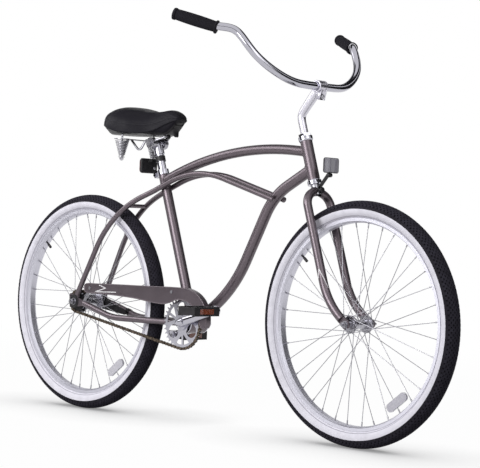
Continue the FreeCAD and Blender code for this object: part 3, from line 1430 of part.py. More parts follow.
def rear_axle():
    """Axle, cones, locknuts, brake shoes on their expander, washers and nuts."""
    outside = REAR_HALF + DROPOUT_SHEET
    radius = REAR_AXLE_RADIUS
    arm = brake_arm_place()
    cone_start = hub_end() - BRAKE_CONE_LENGTH
    driver_outer = CHAIN_LINE + SPROCKET_SHEET + GAP
    driver_inner = driver_outer - DRIVER_LENGTH - 2 * GAP
    shoe_radius = HUB_CAVITY_RADIUS - CLEARANCE
    shoe_bore = shoe_radius - BRAKE_SHOE_WALL

    def at(place):
        return REAR + V(0, place, 0)

    shoes = ring(shoe_radius, shoe_bore, at(-driver_inner), at(cone_start - CLEARANCE))
    slit_corner = V(shoe_radius, 0, BRAKE_SHOE_SLIT / 2)
    slit = box(at(-driver_inner) - slit_corner, at(cone_start) + slit_corner)
    solids = [
        axle_bar(REAR, radius, outside),
        ring(REAR_CONE_RADIUS, radius, at(-REAR_HALF), at(-driver_outer)),
        ring(shoe_bore, radius, at(-driver_inner), at(cone_start)),
        shoes.cut(slit),
        ring(BRAKE_CONE_RADIUS, radius, at(cone_start), at(arm)),
        ring(REAR_LOCKNUT_RADIUS, radius, at(arm + BRAKE_ARM_SHEET), at(REAR_HALF)),
    ]
    return Part.makeCompound(solids + axle_nuts(REAR, radius, REAR_NUT_FLATS, outside))


def brake_arm():
    """Coaster brake arm with the clip that holds it to the left chain stay."""
    near = brake_arm_place()
    far = near + BRAKE_ARM_SHEET
    points = chain_stay_points()
    run = (points[1] - points[0]).normalize()
    clip_place = points[0] + run * CLIP_PLACE
    half = run * (CLIP_WIDTH / 2)
    stay = cylinder(CHAIN_STAY_RADIUS, clip_place - run * CLIP_WIDTH, clip_place + run * CLIP_WIDTH)
    clip = cylinder(CHAIN_STAY_RADIUS + CLIP_SHEET, clip_place - half, clip_place + half)
    bolt_start = V(clip_place.x, near - CLIP_SHEET, clip_place.z)
    clip = clip.fuse(cylinder(CLIP_BOLT_RADIUS, bolt_start, clip_place))
    clip = clip.fuse(cylinder(2 * CLIP_BOLT_RADIUS, bolt_start, bolt_start + V(0, CLIP_SHEET, 0)))
    arm = disc_plate(REAR, clip_place, BRAKE_ARM_HUB_RADIUS, BRAKE_ARM_TIP_RADIUS, near, far)
    arm = arm.cut(cylinder(REAR_AXLE_RADIUS, REAR, REAR + V(0, REAR_HALF, 0)))
    clip = clip.cut(stay)
    return Part.makeCompound([arm.cut(clip), clip])


# Fork and headset


def steerer_tube():
    bottom = steering(FORK_LENGTH - STEERER_TAIL)
    return ring(STEERER_RADIUS, STEERER_BORE, bottom, steering(LOCKNUT_TOP - LOCKNUT_LIP))


def fork_blade():
    """Left blade: turned in to the steerer at the crown, raked forward to a slotted end."""
    rake = steering(BLADE_RAKE_HEIGHT, 0, BLADE_SPREAD)
    axle = FRONT + V(0, FRONT_HALF + FORK_END_SHEET / 2, 0)
    up_blade = (rake - axle).normalize()
    end = axle + up_blade * BLADE_END
    points = [
        end,
        rake,
        steering(FORK_LENGTH - BLADE_SHOULDER, 0, BLADE_SPREAD),
        steering(FORK_LENGTH - BLADE_CROWN_DROP),
    ]
    path = bent_path(points, [BLADE_RAKE_BEND, BLADE_CROWN_BEND])
    blade = tube(path, BLADE_RADIUS, TUBE_WALL).fuse(cylinder(BLADE_RADIUS, end, end + up_blade * TUBE_WALL))
    steerer = cylinder(STEERER_RADIUS, steering(0), steering(HEAD_TOP))
    root = end + up_blade * FORK_END_LAP
    outer = FRONT_HALF + FORK_END_SHEET
    plate = disc_plate(FRONT, root, FORK_END_RADIUS, FORK_END_ROOT_RADIUS, FRONT_HALF, outer)
    slot_half = FRONT_AXLE_RADIUS + SLOT_PLAY
    below = steering(-FORK_END_RADIUS - OVERRUN, FORK_RAKE)
    slot = disc_plate(FRONT, below, slot_half, slot_half, FRONT_HALF - OVERRUN, outer + OVERRUN)
    return blade.cut(steerer).fuse(plate).cut(slot)


def bearing_race():
    """Race on the steerer: Z runs from its seat into the cup."""
    brim = HEADSET_STACK - CUP_HEIGHT - CLEARANCE
    inside = CUP_RADIUS - CUP_WALL - CLEARANCE
    top = HEADSET_STACK - CUP_FLOOR - 2 * HEADSET_BALL_RADIUS
    return turned(
        [
            (0, STEERER_RADIUS),
            (0, CUP_RADIUS),
            (brim, CUP_RADIUS),
            (brim, inside),
            (top, inside),
            (top, STEERER_RADIUS),
        ]
    )


def headset_races():
    """Crown race, adjustable upper race and locknut."""
    up = STEER.multVec(UPWARD)
    upper = steering(HEAD_TOP + HEADSET_STACK)
    locknut = hexagon(LOCKNUT_FLATS, upper, steering(LOCKNUT_TOP))
    return Part.makeCompound(
        [
            placed(bearing_race(), along(steering(FORK_LENGTH), up)),
            placed(bearing_race(), along(upper, up * -1)),
            locknut.cut(cylinder(STEERER_RADIUS, steering(0), steering(LOCKNUT_TOP + OVERRUN))),
        ]
    )


def reflector(facing):
    """Housing with a lens let into its face, centred on the YZ plane and facing along X."""
    housing = rounded_plate(REFLECTOR_WIDTH, REFLECTOR_HEIGHT, REFLECTOR_CORNER, REFLECTOR_DEPTH)
    lens = rounded_plate(
        REFLECTOR_WIDTH - 2 * REFLECTOR_RIM,
        REFLECTOR_HEIGHT - 2 * REFLECTOR_RIM,
        REFLECTOR_CORNER - REFLECTOR_RIM,
        REFLECTOR_LENS_DEPTH,
    )
    lens.translate(V(REFLECTOR_DEPTH - REFLECTOR_LENS_DEPTH, 0, 0))
    pair = Part.makeCompound([housing.cut(lens), lens])
    if facing < 0:
        pair = pair.mirror(ORIGIN, AHEAD)
    return pair


def front_bracket_points():
    """Strap from the crown's front, forward and up to the reflector's back."""
    stand = STEERER_RADIUS + BRACKET_STRAP / 2
    knee = steering(FORK_LENGTH - FRONT_BRACKET_KNEE, stand)
    top = knee + V(FRONT_BRACKET_AHEAD, 0, FRONT_BRACKET_ABOVE)
    return [
        steering(FORK_LENGTH - STEERER_TAIL, stand),
        knee,
        top,
        top + V(0, 0, FRONT_BRACKET_TAB),
    ]


def front_reflector_bracket():
    points = front_bracket_points()
    strip = strap(points, BRACKET_BEND, BRACKET_STRAP_WIDTH, BRACKET_STRAP)
    middle = (FORK_LENGTH - STEERER_TAIL + FORK_LENGTH - FRONT_BRACKET_KNEE) / 2
    face = STEERER_RADIUS + BRACKET_STRAP
    knob = cylinder(KNOB_RADIUS, steering(middle, face), steering(middle, face + KNOB_LENGTH))
    return Part.makeCompound([strip, knob])


def front_reflector():
    tab = front_bracket_points()[3]
    place = tab + V(BRACKET_STRAP / 2, 0, -FRONT_BRACKET_TAB / 2)
    return placed(reflector(1), FreeCAD.Placement(place, FreeCAD.Rotation()))


# Stem and handlebar


def wedge_cut(drop):
    """Everything below the slanted end of the quill, lowered by a distance."""
    radius = STEERER_RADIUS
    block = box(V(-4 * radius, -2 * radius, -8 * radius), V(4 * radius, 2 * radius, 0))
    place = V(0, 0, LOCKNUT_TOP - QUILL_DEPTH - drop)
    slant = FreeCAD.Placement(place, FreeCAD.Rotation(LEFTWARD, WEDGE_SLANT))
    return placed(block, STEER_FRAME.multiply(slant))


def bar_frame():
    """Frame at the middle of the handlebar's clamp, with X along the stem's arm."""
    return FreeCAD.Placement(BAR_CENTRE, FreeCAD.Rotation(LEFTWARD, -STEM_ARM_ANGLE))


def stem():
    """Quill, swan neck and split clamp."""
    radius = STEERER_BORE - FIT
    quill_end = steering(LOCKNUT_TOP - QUILL_DEPTH - WEDGE_LENGTH)
    neck = swept(bent_path([quill_end, STEM_CORNER_POINT, BAR_CENTRE], [STEM_BEND]), radius)
    boss_top = LOCKNUT_TOP + STEM_CORNER + STEM_BOSS
    boss = cylinder(radius, steering(LOCKNUT_TOP + STEM_CORNER - STEM_BEND), steering(boss_top))
    side = V(0, STEM_CLAMP_HALF_WIDTH, 0)
    clamp = cylinder(STEM_CLAMP_RADIUS, BAR_CENTRE - side, BAR_CENTRE + side)
    depth = STEM_CLAMP_RADIUS + STEM_CLAMP_LUG
    half = STEM_CLAMP_LUG_HALF_WIDTH
    lug = placed(box(V(-half, -half, -depth), V(half, half, 0)), bar_frame())
    past = V(0, OVERRUN, 0)
    bore = cylinder(BAR_RADIUS + FIT, BAR_CENTRE - side - past, BAR_CENTRE + side + past)
    slit_half = STEM_CLAMP_SLIT / 2
    slit_side = STEM_CLAMP_HALF_WIDTH + OVERRUN
    slit = placed(box(V(-slit_half, -slit_side, -depth - OVERRUN), V(slit_half, slit_side, 0)), bar_frame())
    shaft = cylinder(STEM_BOLT_RADIUS + GAP, steering(0), steering(boss_top + OVERRUN))
    body = neck.fuse(boss).fuse(clamp).fuse(lug).removeSplitter()
    return body.cut(bore).cut(slit).cut(shaft).cut(wedge_cut(0)).cut(clamp_bolt(GAP))


def clamp_bolt(play):
    """Bolt through the lug under the handlebar, or the hole that it needs."""
    half = STEM_CLAMP_LUG_HALF_WIDTH
    place = V(-half, 0, -STEM_CLAMP_RADIUS - STEM_CLAMP_LUG / 2)
    length = 2 * half + CLAMP_BOLT_HEAD
    screw = bolt(CLAMP_BOLT_RADIUS + play, length, CLAMP_BOLT_FLATS, CLAMP_BOLT_HEAD, place, AHEAD)
    return placed(screw, bar_frame())


def stem_bolts():
    """Expander bolt with its wedge, and the clamp bolt with its nut."""
    top = steering(LOCKNUT_TOP + STEM_CORNER + STEM_BOSS)
    down = STEER.multVec(UPWARD) * -1
    length = STEM_CORNER + STEM_BOSS + QUILL_DEPTH + WEDGE_LENGTH
    expander = bolt(STEM_BOLT_RADIUS, length, STEM_BOLT_FLATS, STEM_BOLT_HEAD, top, down)
    low = LOCKNUT_TOP - QUILL_DEPTH - WEDGE_LENGTH
    wedge = cylinder(STEERER_BORE - FIT, steering(low), steering(LOCKNUT_TOP))
    wedge = wedge.common(wedge_cut(GAP)).cut(expander)
    screw = clamp_bolt(0)
    half = STEM_CLAMP_LUG_HALF_WIDTH
    start = bar_frame().multVec(V(half, 0, -STEM_CLAMP_RADIUS - STEM_CLAMP_LUG / 2))
    nut = hexagon(CLAMP_BOLT_FLATS, start, start + STEM_RUN * CLAMP_BOLT_HEAD).cut(screw)
    return Part.makeCompound([expander, wedge, screw, nut])


def bar_points():
    """Left half of the bar: clamp line, shoulder and end."""
    return [
        BAR_CENTRE + V(0, BAR_CENTRE_SIDE, 0),
        BAR_CENTRE + V(-BAR_SHOULDER_BACK, BAR_SHOULDER_SIDE, BAR_SHOULDER_RISE),
        BAR_CENTRE + V(-BAR_END_BACK, BAR_END_SIDE, BAR_END_RISE),
    ]


def handlebar():
    left = bar_points()
    right = [V(point.x, -point.y, point.z) for point in reversed(left)]
    bends = [BAR_SHOULDER_BEND, BAR_CENTRE_BEND, BAR_CENTRE_BEND, BAR_SHOULDER_BEND]
    return tube(bent_path(right + left, bends), BAR_RADIUS, BAR_WALL)


def grip():
    """Left grip: inner flange, ribbed sleeve and closed end."""
    _, shoulder, end = bar_points()
    out = (end - shoulder).normalize()
    step = (GRIP_LENGTH - GRIP_FLANGE) / (2 * GRIP_RIBS)
    outline = [(0, BAR_RADIUS), (0, GRIP_FLANGE_RADIUS), (GRIP_FLANGE, GRIP_FLANGE_RADIUS)]
    for number in range(GRIP_RIBS):
        start = GRIP_FLANGE + 2 * step * number
        outline += [(start, GRIP_WAIST), (start + step, GRIP_WAIST)]
        outline += [(start + step, GRIP_RADIUS), (start + 2 * step, GRIP_RADIUS)]
    outline += [(GRIP_LENGTH + GRIP_CAP, GRIP_WAIST), (GRIP_LENGTH + GRIP_CAP, 0)]
    outline += [(GRIP_LENGTH, 0), (GRIP_LENGTH, BAR_RADIUS)]
    return placed(turned(outline), along(end - out * GRIP_LENGTH, out))


# Crankset and pedals


def pedal_eye(side):
    """Middle of the pedal eye of a crank arm."""
    turn = math.radians(CRANK_ANGLE) + (math.pi if side == LEFT else 0)
    return polar(BRACKET, CRANK_LENGTH, turn) + V(0, side * CRANK_PLANE, 0)


def crank():
    """One-piece crank: round spindle, bent elbows, tapered arms and pedal eyes."""
    elbows = {side: BRACKET + V(0, side * CRANK_PLANE, 0) for side in (RIGHT, LEFT)}
    ways = {side: (pedal_eye(side) - elbows[side]).normalize() for side in (RIGHT, LEFT)}
    reach = CRANK_BEND + CRANK_ARM_HALF_WIDTH
    points = [
        elbows[RIGHT] + ways[RIGHT] * reach,
        elbows[RIGHT],
        elbows[LEFT],
        elbows[LEFT] + ways[LEFT] * reach,
    ]
    body = swept(bent_path(points, [CRANK_BEND, CRANK_BEND]), SPINDLE_RADIUS)
    ring_face = -CHAIN_LINE - SPROCKET_SHEET / 2
    shoulder_end = BRACKET + V(0, ring_face - CRANK_SHOULDER, 0)
    body = body.fuse(cylinder(CRANK_SHOULDER_RADIUS, shoulder_end, BRACKET + V(0, ring_face, 0)))
    for side in (RIGHT, LEFT):
        eye = pedal_eye(side)
        start = elbows[side] + ways[side] * CRANK_BEND
        broad = ways[side].cross(LEFTWARD)
        sections = []
        for place, wide, deep in (
            (start, CRANK_ARM_HALF_WIDTH, CRANK_ARM_HALF_DEPTH),
            (eye, CRANK_TIP_HALF_WIDTH, CRANK_TIP_HALF_DEPTH),
        ):
            oval = Part.Ellipse(place + broad * wide, place + LEFTWARD * deep, place)
            sections.append(Part.Wire(oval.toShape()))
        body = body.fuse(Part.makeLoft(sections, True))
        depth = V(0, CRANK_EYE_HALF_DEPTH, 0)
        body = body.fuse(cylinder(CRANK_EYE_RADIUS, eye - depth, eye + depth))
        past = V(0, CRANK_EYE_HALF_DEPTH + OVERRUN, 0)
        body = body.cut(cylinder(PEDAL_AXLE_RADIUS, eye - past, eye + past))
    return body


def crank_cones():
    """Bearing cones on the spindle and the left locknut."""
    row = SHELL_RADIUS - SHELL_WALL - CUP_WALL - 2 * BRACKET_BALL_RADIUS
    ball_height = BRACKET_CUP_DEPTH - BRACKET_CUP_FLOOR - BRACKET_BALL_RADIUS
    to_ring = CHAIN_LINE - SPROCKET_SHEET / 2 - SHELL_HALF_WIDTH
    to_nut = BRACKET_CUP_BRIM + CLEARANCE
    solids = []
    for frame, reach in zip(bracket_frames(), (to_ring, to_nut)):
        outline = [
            (BRACKET_CUP_DEPTH, SPINDLE_RADIUS),
            (BRACKET_CUP_DEPTH, BRACKET_CONE_RADIUS),
            (BRACKET_CUP_DEPTH - BRACKET_CUP_FLOOR, BRACKET_CONE_RADIUS),
            (ball_height, row),
            (-reach, row),
            (-reach, SPINDLE_RADIUS),
        ]
        solids.append(placed(turned(outline), frame))
    start = BRACKET + V(0, SHELL_HALF_WIDTH + to_nut, 0)
    nut = hexagon(BRACKET_NUT_FLATS, start, start + V(0, BRACKET_NUT_HEIGHT, 0))
    past = V(0, BRACKET_NUT_HEIGHT + OVERRUN, 0)
    return Part.makeCompound([*solids, nut.cut(cylinder(SPINDLE_RADIUS, start - past, start + past))])


def pedal_start():
    """Distance from a pedal eye's middle to the pedal's inner end."""
    return CRANK_EYE_HALF_DEPTH + PEDAL_AXLE_COLLAR + CLEARANCE


def pedal_spindles():
    spindles = []
    for side in (RIGHT, LEFT):
        eye = pedal_eye(side)
        out = V(0, side, 0)
        face = eye + out * CRANK_EYE_HALF_DEPTH
        end = eye + out * (pedal_start() + PEDAL_LENGTH - PEDAL_CAP - GAP)
        bar = cylinder(PEDAL_AXLE_RADIUS, eye - out * CRANK_EYE_HALF_DEPTH, end)
        spindles.append(bar.fuse(hexagon(PEDAL_AXLE_FLATS, face, face + out * PEDAL_AXLE_COLLAR)))
    return Part.makeCompound(spindles)


def pedal_reflectors(side):
    """Reflectors let into the front and rear rails."""
    eye = pedal_eye(side)
    middle = eye + V(0, side * (pedal_start() + PEDAL_LENGTH / 2), 0)
    half = PEDAL_REFLECTOR_LENGTH / 2
    rise = PEDAL_REFLECTOR_HEIGHT / 2
    solids = []
    for way in (-1, 1):
        inner = middle + V(way * (PEDAL_HALF_WIDTH - PEDAL_REFLECTOR_DEPTH), -half, -rise)
        solids.append(box(inner, middle + V(way * PEDAL_HALF_WIDTH, half, rise)))
    return Part.makeCompound(solids)


def pedal(side):
    """Moulded platform: barrel, two end plates, a web and two grooved rails."""
    eye = pedal_eye(side)
    out = V(0, side, 0)
    start = eye + out * pedal_start()
    end = start + out * PEDAL_LENGTH
    wide = V(PEDAL_HALF_WIDTH, 0, 0)
    tall = V(0, 0, PEDAL_HALF_HEIGHT)
    low = V(0, 0, PEDAL_BARREL_RADIUS)
    body = cylinder(PEDAL_BARREL_RADIUS, start, end)
    for first in (start, end - out * PEDAL_END):
        body = body.fuse(box(first - wide - low, first + wide + low + out * PEDAL_END))
    web = (start + end - out * PEDAL_WEB) / 2
    body = body.fuse(box(web - wide - low, web + wide + low + out * PEDAL_WEB))
    for way in (-1, 1):
        inner = V(way * (PEDAL_HALF_WIDTH - PEDAL_RAIL), 0, 0)
        body = body.fuse(box(start + inner - tall, end + wide * way + tall))
    pitch = PEDAL_LENGTH / PEDAL_GROOVES
    for number in range(PEDAL_GROOVES):
        place = start + out * (pitch * (number + 0.5) - PEDAL_GROOVE_WIDTH / 2)
        for way in (-1, 1):
            top = V(0, 0, way * PEDAL_HALF_HEIGHT)
            floor = V(0, 0, way * (PEDAL_HALF_HEIGHT - PEDAL_GROOVE_DEPTH))
            past = wide + V(OVERRUN, 0, 0)
            body = body.cut(box(place - past + floor, place + past + top + out * PEDAL_GROOVE_WIDTH))
    bore_end = end - out * PEDAL_CAP
    body = body.cut(cylinder(PEDAL_AXLE_RADIUS + FIT, start - out * OVERRUN, bore_end))
    return body.cut(pedal_reflectors(side)).removeSplitter()


# Seat post, its reflector and the saddle


def seat_post():
    """Post with the saddle clamp's socket on its top."""
    bottom = seat_line(SEAT_TUBE_LENGTH - POST_DEPTH)
    post = ring(POST_RADIUS, POST_RADIUS - POST_WALL, bottom, seat_line(POST_HEIGHT))
    socket = cylinder(CLAMP_SOCKET_RADIUS, seat_line(POST_HEIGHT - CLAMP_SOCKET_DEPTH), SADDLE_AXIS)
    side = V(0, CLAMP_BARREL_HALF_WIDTH, 0)
    past = V(0, OVERRUN, 0)
    socket = socket.fuse(cylinder(CLAMP_BARREL_RADIUS, SADDLE_AXIS - side, SADDLE_AXIS + side))
    socket = socket.cut(cylinder(POST_RADIUS, bottom, seat_line(POST_HEIGHT)))
    hole = cylinder(SADDLE_BOLT_RADIUS + FIT, SADDLE_AXIS - side - past, SADDLE_AXIS + side + past)
    return Part.makeCompound([post, socket.cut(hole).removeSplitter()])


def rear_reflector_place():
    """Middle of the rear reflector's front face."""
    return seat_line(SADDLE_AXIS_HEIGHT - REAR_BAND_PLACE) - V(REAR_REFLECTOR_BACK, 0, REAR_REFLECTOR_DROP)


def rear_reflector_bracket():
    """Band round the post with a strap back to the reflector."""
    middle = SADDLE_AXIS_HEIGHT - REAR_BAND_PLACE
    half = REAR_BAND_HEIGHT / 2
    outer = POST_RADIUS + REAR_BAND_WALL
    band = cylinder(outer, seat_line(middle - half), seat_line(middle + half))
    root = seat_line(middle)
    foot = rear_reflector_place() + V(BRACKET_STRAP / 2, 0, REFLECTOR_CORNER - REFLECTOR_HEIGHT / 2)
    arm = strap([root, V(foot.x, 0, root.z), foot], BRACKET_BEND, BRACKET_STRAP_WIDTH, BRACKET_STRAP)
    return band.fuse(arm).cut(cylinder(POST_RADIUS, BRACKET, SADDLE_AXIS)).removeSplitter()


def rear_reflector():
    return placed(reflector(-1), FreeCAD.Placement(rear_reflector_place(), FreeCAD.Rotation()))


def from_saddle(ahead, side, above):
    """Point by its place from the saddle clamp's bolt."""
    return SADDLE_AXIS + V(ahead, side, above)


def rail_side():
    return CLAMP_BARREL_HALF_WIDTH + GAP + CLAMP_PLATE / 2


def rail_path():
    """One wire from the right spring plate round the pivot at the nose to the left spring plate."""
    left = [
        from_saddle(SADDLE_PIVOT_AHEAD, RAIL_NOSE_SIDE, SADDLE_PIVOT_ABOVE),
        from_saddle(RAIL_FORE, rail_side(), RAIL_ABOVE),
        from_saddle(-RAIL_BACK, rail_side(), RAIL_ABOVE),
        from_saddle(-RAIL_DIP_BACK, RAIL_DIP_SIDE, -RAIL_DIP_BELOW),
        from_saddle(-RAIL_REAR_BACK, RAIL_REAR_SIDE, SPRING_PLATE_ABOVE),
    ]
    right = [V(point.x, -point.y, point.z) for point in reversed(left)]
    bends = [RAIL_BEND, RAIL_BEND, RAIL_BEND, RAIL_NOSE_BEND]
    return bent_path(right + left, bends + bends[::-1])


def spring_axis(side):
    """Point on a spring's axis at the level of the clamp's bolt."""
    return from_saddle(-SPRING_BACK, side * SPRING_SIDE, 0)


def saddle_rails():
    """Wire rails welded to the plate that the springs hang from."""
    low = V(0, 0, SPRING_PLATE_ABOVE)
    high = V(0, 0, SPRING_PLATE_ABOVE + SPRING_PLATE)
    right = spring_axis(RIGHT)
    left = spring_axis(LEFT)
    half = V(SPRING_PLATE_WIDTH / 2, 0, 0)
    plate = box(right + low - half, left + high + half)
    for place in (right, left):
        plate = plate.fuse(cylinder(SPRING_PLATE_RADIUS, place + low, place + high))
    body = plate.fuse(swept(rail_path(), RAIL_RADIUS))
    for place in (right, left):
        past = V(0, 0, OVERRUN)
        body = body.cut(cylinder(ROD_RADIUS + ROD_PLAY, place + low - past, place + high + past))
    return body.removeSplitter()


def saddle_clamp():
    """Two plates that grip the rails, with the bolt and nut through them."""
    inner = CLAMP_BARREL_HALF_WIDTH + GAP
    outer = inner + CLAMP_PLATE
    rails = swept(rail_path(), RAIL_RADIUS)
    start = SADDLE_AXIS - V(0, outer, 0)
    length = 2 * outer + SADDLE_BOLT_HEAD
    screw = bolt(SADDLE_BOLT_RADIUS, length, SADDLE_BOLT_FLATS, SADDLE_BOLT_HEAD, start, V(0, 1, 0))
    solids = [screw]
    for side in (RIGHT, LEFT):
        out = V(0, side, 0)
        plate = cylinder(CLAMP_PLATE_RADIUS, SADDLE_AXIS + out * inner, SADDLE_AXIS + out * outer)
        solids.append(plate.cut(rails).cut(screw))
    far = SADDLE_AXIS + V(0, outer, 0)
    solids.append(hexagon(SADDLE_BOLT_FLATS, far, far + V(0, SADDLE_BOLT_HEAD, 0)).cut(screw))
    return Part.makeCompound(solids)


def spring_points():
    """Points and headings each quarter turn down a cone spring about the Z axis, from its top."""
    count = SPRING_TURNS * SPRING_QUARTERS
    top = -GAP - SPRING_WIRE_RADIUS
    fall = SPRING_HEIGHT - 2 * SPRING_WIRE_RADIUS - 2 * GAP
    narrow = SPRING_TOP_RADIUS - SPRING_FOOT_RADIUS
    turn = 2 * math.pi * SPRING_TURNS
    points = []
    for number in range(count + 1):
        share = number / count
        angle = turn * share
        radius = SPRING_TOP_RADIUS - narrow * share
        point = V(radius * math.cos(angle), radius * math.sin(angle), top - fall * share)
        swing = V(-math.sin(angle), math.cos(angle), 0) * (radius * turn)
        heading = swing - V(math.cos(angle), math.sin(angle), 0) * narrow - V(0, 0, fall)
        points.append((point, heading.normalize()))
    return points


def biarc(first, first_heading, second, second_heading):
    """Two arcs that leave one point and reach another along given headings."""
    chord = second - first
    both = first_heading + second_heading
    bend = 2 * (1 - first_heading.dot(second_heading))
    reach = chord.dot(both)
    length = (math.sqrt(reach**2 + bend * chord.dot(chord)) - reach) / bend
    middle = (first + second + (first_heading - second_heading) * length) / 2
    arcs = []
    for start, corner, end in (
        (first, first + first_heading * length, middle),
        (middle, second - second_heading * length, second),
    ):
        centre = (start + end) / 2
        rise = (corner - centre).Length
        half = (end - start).Length / 2
        crown = half * math.tan(math.atan2(rise, half) / 2)
        arcs.append(Part.Arc(start, centre + (corner - centre) * (crown / rise), end).toShape())
    return arcs


def spring_gap(points):
    """Least gap between neighbouring turns of the spring's wire."""
    least = min(
        (points[number][0] - points[number + SPRING_QUARTERS][0]).Length
        for number in range(len(points) - SPRING_QUARTERS)
    )
    return least - 2 * SPRING_WIRE_RADIUS


def saddle_springs():
    """Two cone springs that hang from the rails' plate."""
    points = spring_points()
    edges = []
    for (first, first_heading), (second, second_heading) in zip(points, points[1:]):
        edges += biarc(first, first_heading, second, second_heading)
    coil = swept(Part.Wire(edges), SPRING_WIRE_RADIUS)
    print("least gap between the turns of a saddle spring:", round(spring_gap(points), 2))
    coils = []
    for side in (RIGHT, LEFT):
        seat = spring_axis(side) + V(0, 0, SPRING_PLATE_ABOVE)
        coils.append(placed(coil, FreeCAD.Placement(seat, FreeCAD.Rotation())))
    return Part.makeCompound(coils)


def base_underside():
    """Height of the pan's underside above the clamp's bolt."""
    return SADDLE_FLOOR_ABOVE - BASE_GAP - BASE_SHEET


def spring_rods():
    """Rods from the base down through the springs, each with a washer and nut under its spring."""
    top = base_underside()
    foot = SPRING_PLATE_ABOVE - SPRING_HEIGHT
    solids = []
    for side in (RIGHT, LEFT):
        axis = spring_axis(side)
        washer = foot - ROD_WASHER
        nut = washer - ROD_NUT_HEIGHT
        rod = cylinder(ROD_RADIUS, axis + UPWARD * (nut - ROD_RADIUS), axis + UPWARD * top)
        rod = rod.fuse(cylinder(ROD_WASHER_RADIUS, axis + UPWARD * washer, axis + UPWARD * foot))
        rod = rod.fuse(hexagon(ROD_NUT_FLATS, axis + UPWARD * nut, axis + UPWARD * washer))
        solids.append(rod.removeSplitter())
    return Part.makeCompound(solids)


def saddle_stations():
    """Sections of the saddle from its rear to its nose, in millimetres from the clamp's bolt."""
    rear = SADDLE_NOSE_AHEAD - SADDLE_LENGTH
    stations = []
    for place, wide, top, side, floor in SADDLE_STATION_SHARES:
        stations.append(
            (
                rear + SADDLE_LENGTH * place,
                SADDLE_WIDTH / 2 * wide,
                SADDLE_FLOOR_ABOVE + SADDLE_HEIGHT * top,
                SADDLE_FLOOR_ABOVE + SADDLE_HEIGHT * side,
                SADDLE_FLOOR_ABOVE + SADDLE_HEIGHT * floor,
            )
        )
    return stations


def saddle_cover():
    """Padded cover with a crowned top and drawn-in sides."""
    sections = []
    for ahead, wide, top, side, floor in saddle_stations():
        foot = wide * SADDLE_FLOOR_WIDTH_SHARE
        brow = wide * SADDLE_SHOULDER_WIDTH_SHARE
        shoulder = floor + (top - floor) * SADDLE_SHOULDER_HEIGHT_SHARE
        low_left = from_saddle(ahead, foot, floor)
        low_right = from_saddle(ahead, -foot, floor)
        high_left = from_saddle(ahead, brow, shoulder)
        high_right = from_saddle(ahead, -brow, shoulder)
        edges = [
            Part.makeLine(low_right, low_left),
            Part.Arc(low_left, from_saddle(ahead, wide, side), high_left).toShape(),
            Part.Arc(high_left, from_saddle(ahead, 0, top), high_right).toShape(),
            Part.Arc(high_right, from_saddle(ahead, -wide, side), low_right).toShape(),
        ]
        sections.append(Part.Wire(edges))
    return Part.makeLoft(sections, True)


def saddle_base():
    """Pan under the cover with the lug that turns on the rails' nose."""
    low = base_underside()
    left = []
    for shares, (ahead, wide, *_) in zip(SADDLE_STATION_SHARES, saddle_stations()):
        if shares[0] <= BASE_FRONT_SHARE:
            left.append(from_saddle(ahead, wide * BASE_WIDTH_SHARE, low))
    right = [V(point.x, -point.y, point.z) for point in reversed(left)]
    outline = left + right
    pan = Part.Face(Part.makePolygon(outline + outline[:1])).extrude(UPWARD * BASE_SHEET)
    pivot = from_saddle(SADDLE_PIVOT_AHEAD, 0, SADDLE_PIVOT_ABOVE)
    side = V(0, PIVOT_LUG_HALF_WIDTH, 0)
    past = V(0, OVERRUN, 0)
    lug = cylinder(PIVOT_LUG_RADIUS, pivot - side, pivot + side)
    pan = pan.fuse(lug)
    return pan.cut(cylinder(RAIL_RADIUS + FIT, pivot - side - past, pivot + side + past)).removeSplitter()


# Nodes


def wheel_nodes(name, frame, hole_circle, flanges):
    """Tyre, rim, inner tube, spokes and reflector of one wheel."""
    pieces = {
        "tyre": tyre(),
        "rim": rim(),
        "inner_tube": inner_tube(),
        "spokes": spokes(hole_circle, flanges),
        "spoke_reflector": spoke_reflector(hole_circle, flanges[RIGHT]),
    }
    return {f"{name}_{piece}": placed(shape, frame) for piece, shape in pieces.items()}


def paired_nodes(name, left):
    """A left piece and its mirror image."""
    return {f"{name}_left": left, f"{name}_right": mirrored(left)}


